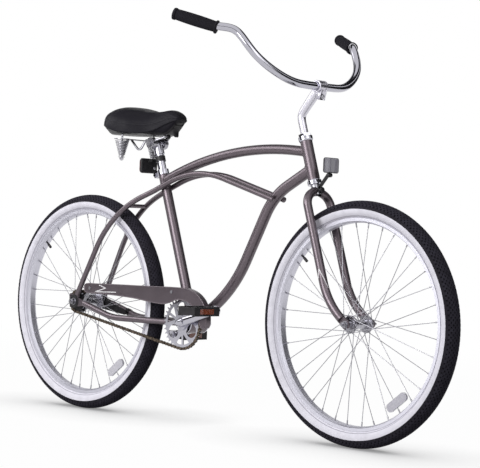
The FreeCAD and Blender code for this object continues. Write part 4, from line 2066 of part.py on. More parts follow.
def all_nodes():
    nodes = {
        "head_tube": head_tube(),
        "top_tube": top_tube(),
        "down_tube": down_tube(),
        "seat_tube": seat_tube(),
        "bottom_bracket_shell": bottom_bracket_shell(),
        "stay_bridges": stay_bridges(),
        "bearings": bearings(),
        "seat_collar": seat_collar(),
        "chain_guard": chain_guard(),
        "chain_guard_mounts": chain_guard_mounts(),
        "rear_axle": rear_axle(),
        "brake_arm": brake_arm(),
        "chain": chain(),
        "driver_sprocket": driver_sprocket(),
        "steerer_tube": steerer_tube(),
        "headset_races": headset_races(),
        "front_axle": front_axle(),
        "front_reflector_bracket": front_reflector_bracket(),
        "front_reflector": front_reflector(),
        "stem": stem(),
        "stem_bolts": stem_bolts(),
        "handlebar": handlebar(),
        "crank": crank(),
        "chainring": chainring(),
        "crank_cones": crank_cones(),
        "pedal_spindles": pedal_spindles(),
        "seat_post": seat_post(),
        "rear_reflector_bracket": rear_reflector_bracket(),
        "rear_reflector": rear_reflector(),
        "saddle_rails": saddle_rails(),
        "saddle_clamp": saddle_clamp(),
        "saddle_springs": saddle_springs(),
        "saddle_base": saddle_base(),
        "spring_rods": spring_rods(),
        "saddle_cover": saddle_cover(),
    }
    nodes.update(paired_nodes("cantilever_tube", cantilever_tube()))
    nodes.update(paired_nodes("chain_stay", chain_stay()))
    nodes.update(paired_nodes("fork_blade", fork_blade()))
    nodes.update(paired_nodes("grip", grip()))
    for name, side in (("right", RIGHT), ("left", LEFT)):
        nodes[f"pedal_{name}"] = pedal(side)
        nodes[f"pedal_reflectors_{name}"] = pedal_reflectors(side)
    nodes.update(wheel_nodes("front", FRONT_FRAME, FRONT_HOLE_CIRCLE, front_flanges()))
    nodes.update(wheel_nodes("rear", REAR_FRAME, REAR_HOLE_CIRCLE, REAR_FLANGE_PLACES))
    nodes["front_hub"] = placed(front_hub(), FRONT_FRAME)
    nodes["rear_hub_shell"] = placed(rear_hub_shell(), REAR_FRAME)
    return nodes


if __name__ == "__main__":
    os.makedirs("parts", exist_ok=True)
    for node, shape in all_nodes().items():
        shape.exportStep(f"parts/{node}.step")
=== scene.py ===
"""Looks of a beach cruiser bicycle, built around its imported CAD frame."""

from __future__ import annotations

import json
import logging
import math
from collections.abc import Iterable
from dataclasses import dataclass
from enum import Enum, IntEnum
from typing import Any

import bmesh
import bpy
import numpy as np
from mathutils import Matrix, Vector
from mathutils.bvhtree import BVHTree

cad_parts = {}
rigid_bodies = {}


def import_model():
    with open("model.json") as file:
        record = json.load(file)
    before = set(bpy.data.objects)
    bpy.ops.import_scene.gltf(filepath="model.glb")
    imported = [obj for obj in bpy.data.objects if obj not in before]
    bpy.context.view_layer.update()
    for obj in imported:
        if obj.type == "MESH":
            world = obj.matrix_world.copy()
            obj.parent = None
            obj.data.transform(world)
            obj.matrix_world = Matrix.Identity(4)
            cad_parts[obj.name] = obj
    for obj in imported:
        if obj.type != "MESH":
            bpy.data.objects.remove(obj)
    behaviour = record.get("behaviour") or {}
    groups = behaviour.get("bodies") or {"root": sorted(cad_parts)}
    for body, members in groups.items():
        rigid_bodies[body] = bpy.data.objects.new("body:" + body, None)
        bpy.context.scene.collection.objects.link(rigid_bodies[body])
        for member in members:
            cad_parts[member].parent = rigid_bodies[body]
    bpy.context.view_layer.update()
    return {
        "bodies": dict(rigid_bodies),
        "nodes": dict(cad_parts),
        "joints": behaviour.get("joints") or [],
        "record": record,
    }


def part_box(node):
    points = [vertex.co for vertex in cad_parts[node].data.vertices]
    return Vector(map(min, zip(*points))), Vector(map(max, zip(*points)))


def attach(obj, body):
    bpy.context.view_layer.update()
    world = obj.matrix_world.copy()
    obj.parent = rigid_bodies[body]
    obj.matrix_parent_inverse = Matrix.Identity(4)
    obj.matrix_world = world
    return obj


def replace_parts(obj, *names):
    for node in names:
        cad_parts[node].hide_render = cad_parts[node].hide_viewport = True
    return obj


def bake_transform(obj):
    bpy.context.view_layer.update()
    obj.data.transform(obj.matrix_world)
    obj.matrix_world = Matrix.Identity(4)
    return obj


LOG = logging.getLogger("cruiser")
MM = 0.001
SIDEWAYS = Vector((0, 1, 0))
FRONT_AXLE_MM = (547.0, 0.0, 332.0)
REAR_AXLE_MM = (-547.0, 0.0, 332.0)
STEER_RUN = (-0.309017, 0.0, 0.951057)
GUARD_FACE_MM = -62.5
Point = tuple[float, float, float]
Pair = tuple[float, float]
Quad = tuple[float, float, float, float]
Object = bpy.types.Object
Nodes = dict[str, Object]
Tree = bpy.types.NodeTree
Links = dict[str | int, Any]


# Small helpers


def linear(code: str) -> Quad:
    """Turn an sRGB hex colour into linear RGBA.

    Args:
        code: Colour such as "#6b6264".

    Returns:
        Linear red, green, blue and an alpha of 1.
    """
    parts = [int(code[i : i + 2], 16) / 255 for i in (1, 3, 5)]
    r, g, b = (c / 12.92 if c <= 0.04045 else ((c + 0.055) / 1.055) ** 2.4 for c in parts)
    return (r, g, b, 1.0)


def add_node(tree: Tree, kind: str, links: Links | None = None, **settings: Any) -> Any:
    """Add a node with its settings, values and links.

    Args:
        tree: Shader or geometry tree.
        kind: Node type name.
        links: Value, node or output socket for each named or numbered input; a node gives its first output, and
            a list fills an input that joins several.
        **settings: Attributes of the node.

    Returns:
        The new node.
    """
    node = tree.nodes.new(kind)
    for name, value in settings.items():
        setattr(node, name, value)
    for key, value in (links or {}).items():
        socket = node.inputs[key]
        for source in value if isinstance(value, list) else [value]:
            if isinstance(source, bpy.types.Node):
                source = source.outputs[0]
            if isinstance(source, bpy.types.NodeSocket):
                tree.links.new(source, socket)
            else:
                socket.default_value = source
    return node


class Side(IntEnum):
    """Side of the bicycle, as the sign of Y."""

    LEFT = 1
    RIGHT = -1

    def named(self, name: str) -> str:
        """Return a name with this side at its end."""
        return f"{name}_{self.name.lower()}"


def new_object(name: str, data: bpy.types.ID) -> Object:
    """Link a mesh or curve to the scene as an object at the origin.

    Args:
        name: Object name.
        data: Its mesh or curve, placed in the part's frame.

    Returns:
        The object.
    """
    made = bpy.data.objects.new(name, data)
    bpy.context.scene.collection.objects.link(made)
    return made


def grid_faces(rows: int, count: int, ring: bool = False, loop: bool = False) -> list[tuple[int, ...]]:
    """Join rows of points into four-sided faces.

    Args:
        rows: Number of rows.
        count: Points in a row.
        ring: Whether each row's end joins its start.
        loop: Whether the last row joins the first.

    Returns:
        Vertex numbers of each face.
    """
    faces = []
    for k in range(rows if loop else rows - 1):
        here, there = k * count, (k + 1) % rows * count
        for n in range(count if ring else count - 1):
            after = (n + 1) % count
            faces.append((here + n, here + after, there + after, there + n))
    return faces


def mesh_from(name: str, points: Iterable[Point], faces: Iterable[tuple[int, ...]],
              smooth: bool = True) -> bpy.types.Mesh:
    """Make a mesh from points in metres and faces.

    Args:
        name: Mesh name.
        points: Vertex places.
        faces: Vertex numbers of each face.
        smooth: Whether the faces shade smoothly.

    Returns:
        The mesh, with its normals made to agree and point outwards.
    """
    mesh = bpy.data.meshes.new(name)
    mesh.from_pydata([tuple(p) for p in points], [], [tuple(f) for f in faces])
    work = bmesh.new()
    work.from_mesh(mesh)
    bmesh.ops.recalc_face_normals(work, faces=work.faces)
    work.to_mesh(mesh)
    work.free()
    mesh.polygons.foreach_set("use_smooth", [smooth] * len(mesh.polygons))
    return mesh


def settled(source: Object, name: str) -> Object:
    """Turn an object with modifiers into a plain mesh object and remove the source.

    Args:
        source: Object with its modifiers.
        name: Name of the plain piece.

    Returns:
        The plain object at the origin.
    """
    graph = bpy.context.evaluated_depsgraph_get()
    mesh = bpy.data.meshes.new_from_object(source.evaluated_get(graph), depsgraph=graph)
    mesh.transform(source.matrix_world)
    bpy.data.objects.remove(source)
    mesh.name = name
    return new_object(name, mesh)


def pressed(name: str, mesh: bpy.types.Mesh, sheet_mm: float, levels: int = 0) -> Object:
    """Give a surface the thickness of a sheet, half to each side.

    Args:
        name: Piece name.
        mesh: Surface.
        sheet_mm: Thickness in millimetres.
        levels: Times that the result is subdivided.

    Returns:
        The plain piece.
    """
    flat = new_object(name + "_sheet", mesh)
    wall = flat.modifiers.new("wall", "SOLIDIFY")
    wall.thickness = sheet_mm * MM
    wall.offset = 0
    if levels:
        refine = flat.modifiers.new("fine", "SUBSURF")
        refine.levels = refine.render_levels = levels
    return settled(flat, name)


def blocks(name: str, boxes: Iterable[Matrix], edge_mm: float, segments: int, smooth: bool) -> Object:
    """Make blocks with rounded edges.

    Args:
        name: Piece name.
        boxes: Matrix that takes a cube with sides of 1 to each block, in millimetres.
        edge_mm: Radius of the edges in millimetres.
        segments: Steps round an edge.
        smooth: Whether the faces shade smoothly.

    Returns:
        The blocks as one piece.
    """
    work = bmesh.new()
    for box in boxes:
        for vertex in bmesh.ops.create_cube(work, size=1.0)["verts"]:
            vertex.co = box @ vertex.co * MM
    bmesh.ops.bevel(work, geom=work.edges[:], offset=edge_mm * MM, segments=segments, affect="EDGES")
    mesh = bpy.data.meshes.new(name)
    work.to_mesh(mesh)
    work.free()
    mesh.polygons.foreach_set("use_smooth", [smooth] * len(mesh.polygons))
    return new_object(name, mesh)


def turned(name: str, profile: list[Pair], place: Vector, run: Vector, count: int = 48,
           closed: bool = False) -> Object:
    """Turn a profile about an axis.

    Args:
        name: Piece name.
        profile: Pairs of place along the axis and radius, in millimetres.
        place: Start of the axis in millimetres.
        run: Direction of the axis.
        count: Steps round the axis.
        closed: Whether the profile's end joins its start, as for a ring.

    Returns:
        The turned piece at the origin.
    """
    run = run.normalized()
    across = run.orthogonal().normalized()
    other = run.cross(across)
    points, faces, rings = [], [], []
    for along, radius in profile:
        spot = place + run * along
        if radius <= 0:
            rings.append([len(points)] * count)
            points.append(spot * MM)
            continue
        rings.append(list(range(len(points), len(points) + count)))
        for k in range(count):
            angle = 2 * math.pi * k / count
            points.append((spot + (across * math.cos(angle) + other * math.sin(angle)) * radius) * MM)
    pairs = list(zip(rings, rings[1:])) + ([(rings[-1], rings[0])] if closed else [])
    for first, second in pairs:
        for k in range(count):
            after = (k + 1) % count
            corners = dict.fromkeys((first[k], first[after], second[after], second[k]))
            if len(corners) > 2:
                faces.append(tuple(corners))
    if not closed:
        faces += [tuple(ring) for ring in (rings[0], rings[-1]) if ring[0] != ring[1]]
    return new_object(name, mesh_from(name, points, faces))


# Finishes


@dataclass(frozen=True)
class Finish:
    """A real surface finish, built once as a node material.

    Attributes:
        name: Common name of the material and how it was made.
        colour: sRGB hex colour.
        roughness: Principled roughness.
        metallic: Share of metal.
        coat: Weight of a clear coat.
        coat_roughness: Roughness of that coat.
        gloss: Specular level, lower where pores swallow the light.
    """

    name: str
    colour: str
    roughness: float
    metallic: float = 0.0
    coat: float = 0.0
    coat_roughness: float = 0.1
    gloss: float = 0.5

    def material(self) -> bpy.types.Material:
        """Return the material of this finish, made on first use."""
        found = bpy.data.materials.get(self.name)
        if found:
            return found
        made = bpy.data.materials.new(self.name)
        made.use_nodes = True
        tree = made.node_tree
        tree.nodes.clear()
        values = {
            "Base Color": linear(self.colour),
            "Roughness": self.roughness,
            "Metallic": self.metallic,
            "Coat Weight": self.coat,
            "Coat Roughness": self.coat_roughness,
            "Specular IOR Level": self.gloss,
            **self.pattern(tree, add_node(tree, "ShaderNodeTexCoord").outputs["Object"]),
        }
        shader = add_node(tree, "ShaderNodeBsdfPrincipled", values)
        add_node(tree, "ShaderNodeOutputMaterial", {"Surface": shader})
        return made

    def pattern(self, tree: Tree, spot: Any) -> dict[str, Any]:
        """Add the surface detail of the finish to its tree.

        Args:
            tree: Material tree.
            spot: Output socket of the place on the piece, in metres.

        Returns:
            Value, node or output socket of each shader input that the detail sets.
        """
        return {}

    def dress(self, piece: Object) -> Object:
        """Put the finish on a piece as its only material.

        Args:
            piece: Object to dress.

        Returns:
            The same object.
        """
        piece.data.materials.clear()
        piece.data.materials.append(self.material())
        return piece

    def sheen(self, low: float, high: float) -> Pair:
        """Return two values of roughness, each so much more than the finish has."""
        return self.roughness + low, self.roughness + high

    def blotches(self, tree: Tree, spot: Any, size_mm: float, low: float, high: float,
                 detail: float = 2.0) -> Any:
        """Spread soft blotches over the surface, from one value to another.

        Args:
            tree: Material tree.
            spot: Output socket of the place on the piece.
            size_mm: Size of a blotch in millimetres.
            low: Value at the dark side.
            high: Value at the bright side.
            detail: Octaves of noise.

        Returns:
            The node that gives the value.
        """
        links = {"Vector": spot, "Scale": 1 / (size_mm * MM), "Detail": detail}
        noise = add_node(tree, "ShaderNodeTexNoise", links)
        links = {"Value": noise, "From Min": 0.3, "From Max": 0.7, "To Min": low, "To Max": high}
        return add_node(tree, "ShaderNodeMapRange", links)

    def mottle(self, tree: Tree, spot: Any, size_mm: float, detail: float, tones: tuple[str, str]) -> Any:
        """Colour the surface in soft blotches of two tones.

        Args:
            tree: Material tree.
            spot: Output socket of the place on the piece.
            size_mm: Size of a blotch in millimetres.
            detail: Octaves of noise.
            tones: Hex colours of the dark and the bright side.

        Returns:
            Output socket of the colour.
        """
        first, second = (linear(tone) for tone in tones)
        links = {"Factor": self.blotches(tree, spot, size_mm, 0.0, 1.0, detail), 6: first, 7: second}
        return add_node(tree, "ShaderNodeMix", links, data_type="RGBA").outputs[2]

    def pebbles(self, tree: Tree, spot: Any, size_mm: float, depth_mm: float, strength: float,
                detail: float = 2.0) -> Any:
        """Raise a fine pebble on the surface.

        Args:
            tree: Material tree.
            spot: Output socket of the place on the piece.
            size_mm: Size of a pebble in millimetres.
            depth_mm: Height of a pebble in millimetres.
            strength: Share of the relief that shows.
            detail: Octaves of noise.

        Returns:
            The node that gives the normal.
        """
        links = {"Vector": spot, "Scale": 1 / (size_mm * MM), "Detail": detail}
        noise = add_node(tree, "ShaderNodeTexNoise", links)
        links = {"Height": noise, "Distance": depth_mm * MM, "Strength": strength}
        return add_node(tree, "ShaderNodeBump", links)


@dataclass(frozen=True)
class MetallicEnamel(Finish):
    """Sprayed enamel with metal flake under a satin clear coat: fine sparkle and a faint orange peel."""

    fleck: str = "#7b7178"
    shade: str = "#4a4146"
    fleck_mm: float = 0.8
    wear_mm: float = 40.0
    peel_mm: float = 3.0

    def pattern(self, tree: Tree, spot: Any) -> dict[str, Any]:
        """Flake is far finer than a pixel, so its blotches are drawn at 0.8 mm; orange peel is 3 mm."""
        return {
            "Base Color": self.mottle(tree, spot, self.fleck_mm, detail=3.0, tones=(self.shade, self.fleck)),
            "Roughness": self.blotches(tree, spot, self.wear_mm, *self.sheen(-0.04, 0.05)),
            "Normal": self.pebbles(tree, spot, self.peel_mm, depth_mm=0.05, strength=0.35),
        }


@dataclass(frozen=True)
class PlatedMetal(Finish):
    """Plated or polished metal: a mirror with a faint haze of handling, and fine wire-drawn scratches."""

    haze: float = 0.05
    haze_mm: float = 25.0
    scratch_mm: float = 0.0

    def pattern(self, tree: Tree, spot: Any) -> dict[str, Any]:
        """Haze changes the roughness by patches, and scratches run as a fine noise where the metal is drawn."""
        rough = self.blotches(tree, spot, self.haze_mm, *self.sheen(0.0, self.haze), detail=4.0)
        if not self.scratch_mm:
            return {"Roughness": rough}
        drawn_lines = self.pebbles(tree, spot, self.scratch_mm, depth_mm=0.03, strength=0.4, detail=4.0)
        return {"Roughness": rough, "Normal": drawn_lines}


@dataclass(frozen=True)
class OiledSteel(Finish):
    """Blued chain steel with a film of brown oil: dark plates, worn brighter in patches."""

    worn: str = "#766a5e"
    film_mm: float = 6.0

    def pattern(self, tree: Tree, spot: Any) -> dict[str, Any]:
        """Oil pools in patches of about 6 mm, and each plate is worn to its own degree."""
        link = add_node(tree, "ShaderNodeNewGeometry").outputs["Random Per Island"]
        wear = add_node(tree, "ShaderNodeMapRange", {"Value": link, "From Min": 0.3, "From Max": 0.7})
        links = {"Factor": wear, 6: linear(self.colour), 7: linear(self.worn)}
        return {
            "Base Color": add_node(tree, "ShaderNodeMix", links, data_type="RGBA").outputs[2],
            "Roughness": self.blotches(tree, spot, self.film_mm, *self.sheen(0.12, -0.08), detail=4.0),
        }


@dataclass(frozen=True)
class TurnedAluminium(Finish):
    """Rolled and anodised aluminium: fine lines that run round the wheel and a satin sheen.

    Attributes:
        centre_mm: Wheel centre.
        line_mm: Distance between the lines, drawn wider than the real 0.2 mm so that they show.
    """

    centre_mm: Point = (0.0, 0.0, 0.0)
    line_mm: float = 1.2

    def pattern(self, tree: Tree, spot: Any) -> dict[str, Any]:
        """Lines follow the distance from the wheel's axle."""
        place = tuple(-c * MM for c in self.centre_mm)
        mapped = add_node(tree, "ShaderNodeMapping", {"Vector": spot, "Location": place})
        links = {0: mapped, 1: (1, 0, 1)}
        flat = add_node(tree, "ShaderNodeVectorMath", links, operation="MULTIPLY")
        radius = add_node(tree, "ShaderNodeVectorMath", {0: flat}, operation="LENGTH")
        links = {"W": radius.outputs["Value"], "Scale": 1 / (self.line_mm * MM)}
        lines = add_node(tree, "ShaderNodeTexNoise", links, noise_dimensions="1D")
        low, high = self.sheen(-0.06, 0.1)
        links = {"Value": lines, "From Min": 0.3, "From Max": 0.7, "To Min": low, "To Max": high}
        rough = add_node(tree, "ShaderNodeMapRange", links)
        bump = add_node(tree, "ShaderNodeBump", {"Height": lines, "Distance": 0.04 * MM, "Strength": 0.5})
        return {"Roughness": rough, "Normal": bump}


@dataclass(frozen=True)
class MouldedRubber(Finish):
    """Vulcanised rubber or moulded resin: dull, with dust in its pores and a fine pebble."""

    dust: str = "#3a383c"
    dust_mm: float = 15.0
    pebble_mm: float = 1.0
    pebble_depth_mm: float = 0.08

    def pattern(self, tree: Tree, spot: Any) -> dict[str, Any]:
        """Dust is mottled over 15 mm, and the pebble comes from the mould's blasted wall."""
        return {
            "Base Color": self.mottle(tree, spot, self.dust_mm, detail=5.0, tones=(self.colour, self.dust)),
            "Roughness": self.blotches(tree, spot, self.dust_mm, *self.sheen(-0.05, 0.08), detail=5.0),
            "Normal": self.pebbles(tree, spot, self.pebble_mm, self.pebble_depth_mm, strength=0.6),
        }


@dataclass(frozen=True)
class GrainedVinyl(Finish):
    """Embossed vinyl over foam: a leather grain of small cells with soft creases between them."""

    cell_mm: float = 1.6
    # Colour of the painted shade in the creases between the grain cells.
    painted_crease_shade: str = "#121116"
    sheen_mm: float = 30.0

    def pattern(self, tree: Tree, spot: Any) -> dict[str, Any]:
        """Grain cells are about 1.6 mm, drawn a little coarse so that they show; the creases between them are
        darkened with painted shade.
        """
        links = {"Vector": spot, "Scale": 1 / (self.cell_mm * MM), "Randomness": 0.9}
        cells = add_node(tree, "ShaderNodeTexVoronoi", links, feature="DISTANCE_TO_EDGE")
        edge = add_node(tree, "ShaderNodeMapRange", {"Value": cells, "From Max": 0.16})
        # The creases between the cells take the painted shade colour.
        links = {"Factor": edge, 6: linear(self.painted_crease_shade), 7: linear(self.colour)}
        bump = add_node(tree, "ShaderNodeBump", {"Height": edge, "Distance": 0.12 * MM, "Strength": 0.5})
        return {
            "Base Color": add_node(tree, "ShaderNodeMix", links, data_type="RGBA").outputs[2],
            "Roughness": self.blotches(tree, spot, self.sheen_mm, *self.sheen(-0.05, 0.08), detail=4.0),
            "Normal": bump,
        }


@dataclass(frozen=True)
class PrismLens(Finish):
    """Moulded reflector plastic: a glossy face over small corner prisms that break up the light.

    Attributes:
        deep: Hex colour of the painted shade between the prisms, towards which each prism darkens from its
            middle.
        prism_mm: Width of a prism.
        see_through: Share of light that goes through.
    """

    deep: str = "#400000"
    prism_mm: float = 3.0
    see_through: float = 0.25

    def pattern(self, tree: Tree, spot: Any) -> dict[str, Any]:
        """Prisms are cells in a square grid, tilted each its own way; each darkens from its middle to painted
        shade at its edges.
        """
        links = {"Vector": spot, "Scale": 1 / (self.prism_mm * MM), "Randomness": 0.25}
        cells = add_node(tree, "ShaderNodeTexVoronoi", links, feature="F1", distance="MANHATTAN")
        # Each prism darkens from its middle towards its edges: painted shade between the prisms.
        links = {"Factor": cells, 6: linear(self.colour), 7: linear(self.deep)}
        bump = add_node(tree, "ShaderNodeBump", {"Height": cells, "Distance": 0.6 * MM, "Strength": 0.6})
        return {
            "Base Color": add_node(tree, "ShaderNodeMix", links, data_type="RGBA").outputs[2],
            "Transmission Weight": self.see_through,
            "Normal": bump,
        }


@dataclass(frozen=True)
class WhitewallRubber(Finish):
    """Black tyre rubber with a white sidewall band cured into it, a little dusty towards the tread.

    Attributes:
        band_mm: Inner and outer radius of the band, from the axle.
        blur_mm: Width of the band's edge.
        groove_mm: Radius of the moulded line next to the rim, along which the band is darkened with painted
            shade.
        groove_width_mm: Distances from that radius where that painted shade starts to fade and ends.
    """

    white: str = "#e9e7f0"
    soil: str = "#dcdae3"
    # Colour of the painted shade along the moulded line next to the rim.
    line: str = "#a9a7b2"
    dust: str = "#2b2930"
    dust_mm: float = 18.0
    band_mm: Pair = (281.0, 308.9)
    blur_mm: float = 0.35
    groove_mm: float = 290.3
    groove_width_mm: Pair = (0.5, 1.3)

    def pattern(self, tree: Tree, spot: Any) -> dict[str, Any]:
        """The tyre's UV map holds the distance from the axle in V, in metres; a line of painted shade darkens
        the band next to the rim.
        """
        place = add_node(tree, "ShaderNodeUVMap", uv_map="section")
        radius = add_node(tree, "ShaderNodeSeparateXYZ", {"Vector": place}).outputs["Y"]
        edges = []
        for start, sign in zip(self.band_mm, (1, -1)):
            limits = [(start + way * sign * self.blur_mm) * MM for way in (-1, 1)]
            links = {"Value": radius, "From Min": limits[0], "From Max": limits[1]}
            edges.append(add_node(tree, "ShaderNodeMapRange", links))
        band = add_node(tree, "ShaderNodeMath", {0: edges[0], 1: edges[1]}, operation="MULTIPLY")
        # A line of painted shade darkens the band along the moulded line next to the rim.
        off = add_node(tree, "ShaderNodeMath", {0: radius, 1: self.groove_mm * MM}, operation="SUBTRACT")
        away = add_node(tree, "ShaderNodeMath", {0: off}, operation="ABSOLUTE")
        near, far = (width * MM for width in self.groove_width_mm)
        links = {"Value": away, "From Min": far, "From Max": near}
        groove = add_node(tree, "ShaderNodeMapRange", links)
        soiled = self.mottle(tree, spot, self.dust_mm, detail=5.0, tones=(self.white, self.soil))
        links = {"Factor": groove, 6: soiled, 7: linear(self.line)}
        painted_shade_lined = add_node(tree, "ShaderNodeMix", links, data_type="RGBA").outputs[2]
        rubber = self.mottle(tree, spot, self.dust_mm, detail=5.0, tones=(self.colour, self.dust))
        links = {"Factor": band, 6: rubber, 7: painted_shade_lined}
        return {
            "Base Color": add_node(tree, "ShaderNodeMix", links, data_type="RGBA").outputs[2],
            "Normal": self.pebbles(tree, spot, size_mm=1.4, depth_mm=0.06, strength=0.4),
        }


class Coat(Enum):
    """Finishes of the bicycle, each named for its real material."""

    # A dark mauve grey that sparkles faintly and turns pale where it faces the light.
    FRAME = MetallicEnamel("metallic_enamel_mauve_grey", "#6a626a", 0.36, 0.8, 0.18, 0.16)
    # A flat, opaque white line.
    STRIPE = Finish("screen_printed_enamel_white", "#e4e2e4", 0.4)
    # A cool mirror with long dark and white streaks.
    CHROME = PlatedMetal("chrome_plate_polished", "#b9b8c1", 0.1, 1.0)
    # A pale, softly blurred mirror.
    SATIN = PlatedMetal("satin_chrome_plate", "#cfcdd6", 0.3, 1.0, haze=0.08, haze_mm=14.0)
    # A duller grey mirror with cloudy patches and fine scratches.
    STEEL = PlatedMetal("zinc_plated_steel", "#a3a2a8", 0.26, 1.0, haze=0.12, haze_mm=8.0, scratch_mm=1.0)
    # Thin bright lines that darken against the white.
    STAINLESS = PlatedMetal("stainless_wire_drawn", "#9c9ba1", 0.24, 1.0, haze=0.08, haze_mm=12.0)
    # Dark brown links, some rubbed bright, that break the chain into dots.
    CHAIN = OiledSteel("chain_steel_oiled", "#2e251f", 0.42, 0.85)
    # A black that is not quite flat, with a weak sheen.
    BLACK_STEEL = MouldedRubber("black_oxide_steel", "#1d1c1f", 0.42, 0.3, dust="#2c2a2d", pebble_mm=2.0,
                                gloss=0.3)
    # A pale satin ring with fine lines along it.
    FRONT_RIM = TurnedAluminium("anodised_aluminium_front_rim", "#d0cfd9", 0.44, 1.0, centre_mm=FRONT_AXLE_MM)
    REAR_RIM = TurnedAluminium("anodised_aluminium_rear_rim", "#d0cfd9", 0.44, 1.0, centre_mm=REAR_AXLE_MM)
    # A bright, slightly cloudy mirror.
    HUB = PlatedMetal("polished_hub_alloy", "#b4b3ba", 0.2, 1.0, haze=0.1, haze_mm=10.0)
    # Dull black, greyed by dust on the blocks.
    TREAD = MouldedRubber("vulcanised_tread_rubber", "#26242b", 0.8, dust="#34323b", pebble_mm=1.6, gloss=0.08)
    # A crisp white band between dull black edges, with a line of painted shade next to the rim.
    WHITEWALL = WhitewallRubber("vulcanised_whitewall_rubber", "#1e1c22", 0.72, gloss=0.08)
    # Plain black with a low sheen.
    TUBE = MouldedRubber("butyl_tube_rubber", "#1b1a1c", 0.6, gloss=0.3)
    # Dense black whose ribs catch a little light.
    GRIP = MouldedRubber("moulded_grip_rubber", "#17161b", 0.72, dust="#1f1d24", pebble_mm=0.8, gloss=0.12)
    # Black with a soft sheen and a fine blasted pebble.
    RESIN = MouldedRubber("moulded_black_nylon", "#18171a", 0.46, dust="#222024", pebble_mm=0.7,
                          pebble_depth_mm=0.05, gloss=0.35)
    # Deep colour that glows in small facets under a glossy face, each facet darkening to painted shade at its
    # edges.
    AMBER = PrismLens("amber_reflector_acrylic", "#d8620f", 0.12, coat=1.0, coat_roughness=0.04, deep="#7c2c04")
    RED = PrismLens("red_reflector_acrylic", "#b3121a", 0.12, coat=1.0, coat_roughness=0.04, deep="#520509")
    # Silvery grey in small facets, each darkening to painted shade at its edges.
    CLEAR = PrismLens("clear_reflector_acrylic", "#e6e5ea", 0.14, coat=0.6, coat_roughness=0.06, deep="#bbb9c4",
                      see_through=0.1)
    # Fine grey dashes on the black cover.
    THREAD = MouldedRubber("bonded_nylon_thread", "#3b3940", 0.6, dust="#46444b", pebble_mm=0.6, gloss=0.3)
    # Soft black that turns grey where it slopes to the light, with a leather grain whose creases carry painted
    # shade.
    VINYL = GrainedVinyl("embossed_saddle_vinyl", "#1a1820", 0.46, gloss=0.12)

    def on(self, piece: Object) -> Object:
        """Dress a piece in this finish and return it."""
        return self.value.dress(piece)


# Geometry trees


class GeometryTree:
    """A geometry node tree with named inputs, put on an object and turned into a plain mesh."""

    SOCKETS = {float: "NodeSocketFloat", int: "NodeSocketInt", tuple: "NodeSocketVector"}

    def __init__(self, name: str, inputs: dict[str, Any]) -> None:
        """Make the tree with its inputs.

        Args:
            name: Name of the tree.
            inputs: Value of each named input, which also sets its kind.
        """
        self.tree = bpy.data.node_groups.new(name, "GeometryNodeTree")
        face = self.tree.interface
        face.new_socket("Geometry", in_out="INPUT", socket_type="NodeSocketGeometry")
        face.new_socket("Geometry", in_out="OUTPUT", socket_type="NodeSocketGeometry")
        self.values: dict[str, Any] = {}
        for label, value in inputs.items():
            made = face.new_socket(label, in_out="INPUT", socket_type=self.SOCKETS[type(value)])
            self.values[made.identifier] = value
        self.source = self.add("NodeGroupInput")

    def add(self, kind: str, links: Links | None = None, **settings: Any) -> Any:
        """Add a node to the tree, as add_node does."""
        return add_node(self.tree, kind, links, **settings)

    def value(self, label: str) -> Any:
        """Return the output socket of a named input."""
        return self.source.outputs[label]

    def piece(self, name: str, geometry: Any, coat: Coat, smooth: bool = False,
              base: Object | None = None) -> Object:
        """End the tree in real, dressed geometry and make a plain piece of it.

        Args:
            name: Piece name.
            geometry: Node that gives the geometry.
            coat: Finish of the piece.
            smooth: Whether it shades smoothly.
            base: Object that the tree works on; an empty mesh where there is none.

        Returns:
            The plain piece.
        """
        real = self.add("GeometryNodeRealizeInstances", {"Geometry": geometry})
        links = {"Geometry": real, "Shade Smooth": smooth}
        shaded = self.add("GeometryNodeSetShadeSmooth", links)
        links = {"Geometry": shaded, "Material": coat.value.material()}
        dressed = self.add("GeometryNodeSetMaterial", links)
        self.add("NodeGroupOutput", {"Geometry": dressed})
        host = base or new_object(name + "_host", bpy.data.meshes.new(name))
        modifier = host.modifiers.new("tree", "NODES")
        modifier.node_group = self.tree
        for identifier, value in self.values.items():
            modifier[identifier] = value
        return settled(host, name)


def smooth_line(spots: np.ndarray, steps: int) -> np.ndarray:
    """Divide a line through spots into a smooth curve.

    Args:
        spots: Rows of coordinates.
        steps: Steps between two spots.

    Returns:
        Rows of coordinates along the curve.
    """
    slopes = np.gradient(spots, axis=0)
    rows = []
    for k in range(len(spots) - 1):
        ends = (spots[k], slopes[k], spots[k + 1], slopes[k + 1])
        for t in np.arange(steps) / steps:
            rows.append(sum(w * p for w, p in zip(bend_weights(t), ends)))
    return np.array([*rows, spots[-1]])


def bend_weights(t: float) -> Quad:
    """Return how much the start, its slope, the end and its slope count on a cubic curve, from 0 to 1."""
    return (2 * t**3 - 3 * t**2 + 1, t**3 - 2 * t**2 + t, 3 * t**2 - 2 * t**3, t**3 - t**2)


def drawn(name: str, lines: Iterable[list[Any]], closed: bool = False, kind: str = "POLY") -> Object:
    """Draw lines as a curve for a geometry tree to work on.

    Args:
        name: Object name.
        lines: Points of each line, in metres.
        closed: Whether each line's end joins its start.
        kind: Kind of spline.

    Returns:
        The curve object.
    """
    curve = bpy.data.curves.new(name, "CURVE")
    curve.dimensions = "3D"
    for line in lines:
        spline = curve.splines.new(kind)
        spline.points.add(len(line) - 1)
        for place, spot in zip(spline.points, line):
            place.co = (*spot, 1)
        spline.use_cyclic_u = closed
    return new_object(name, curve)


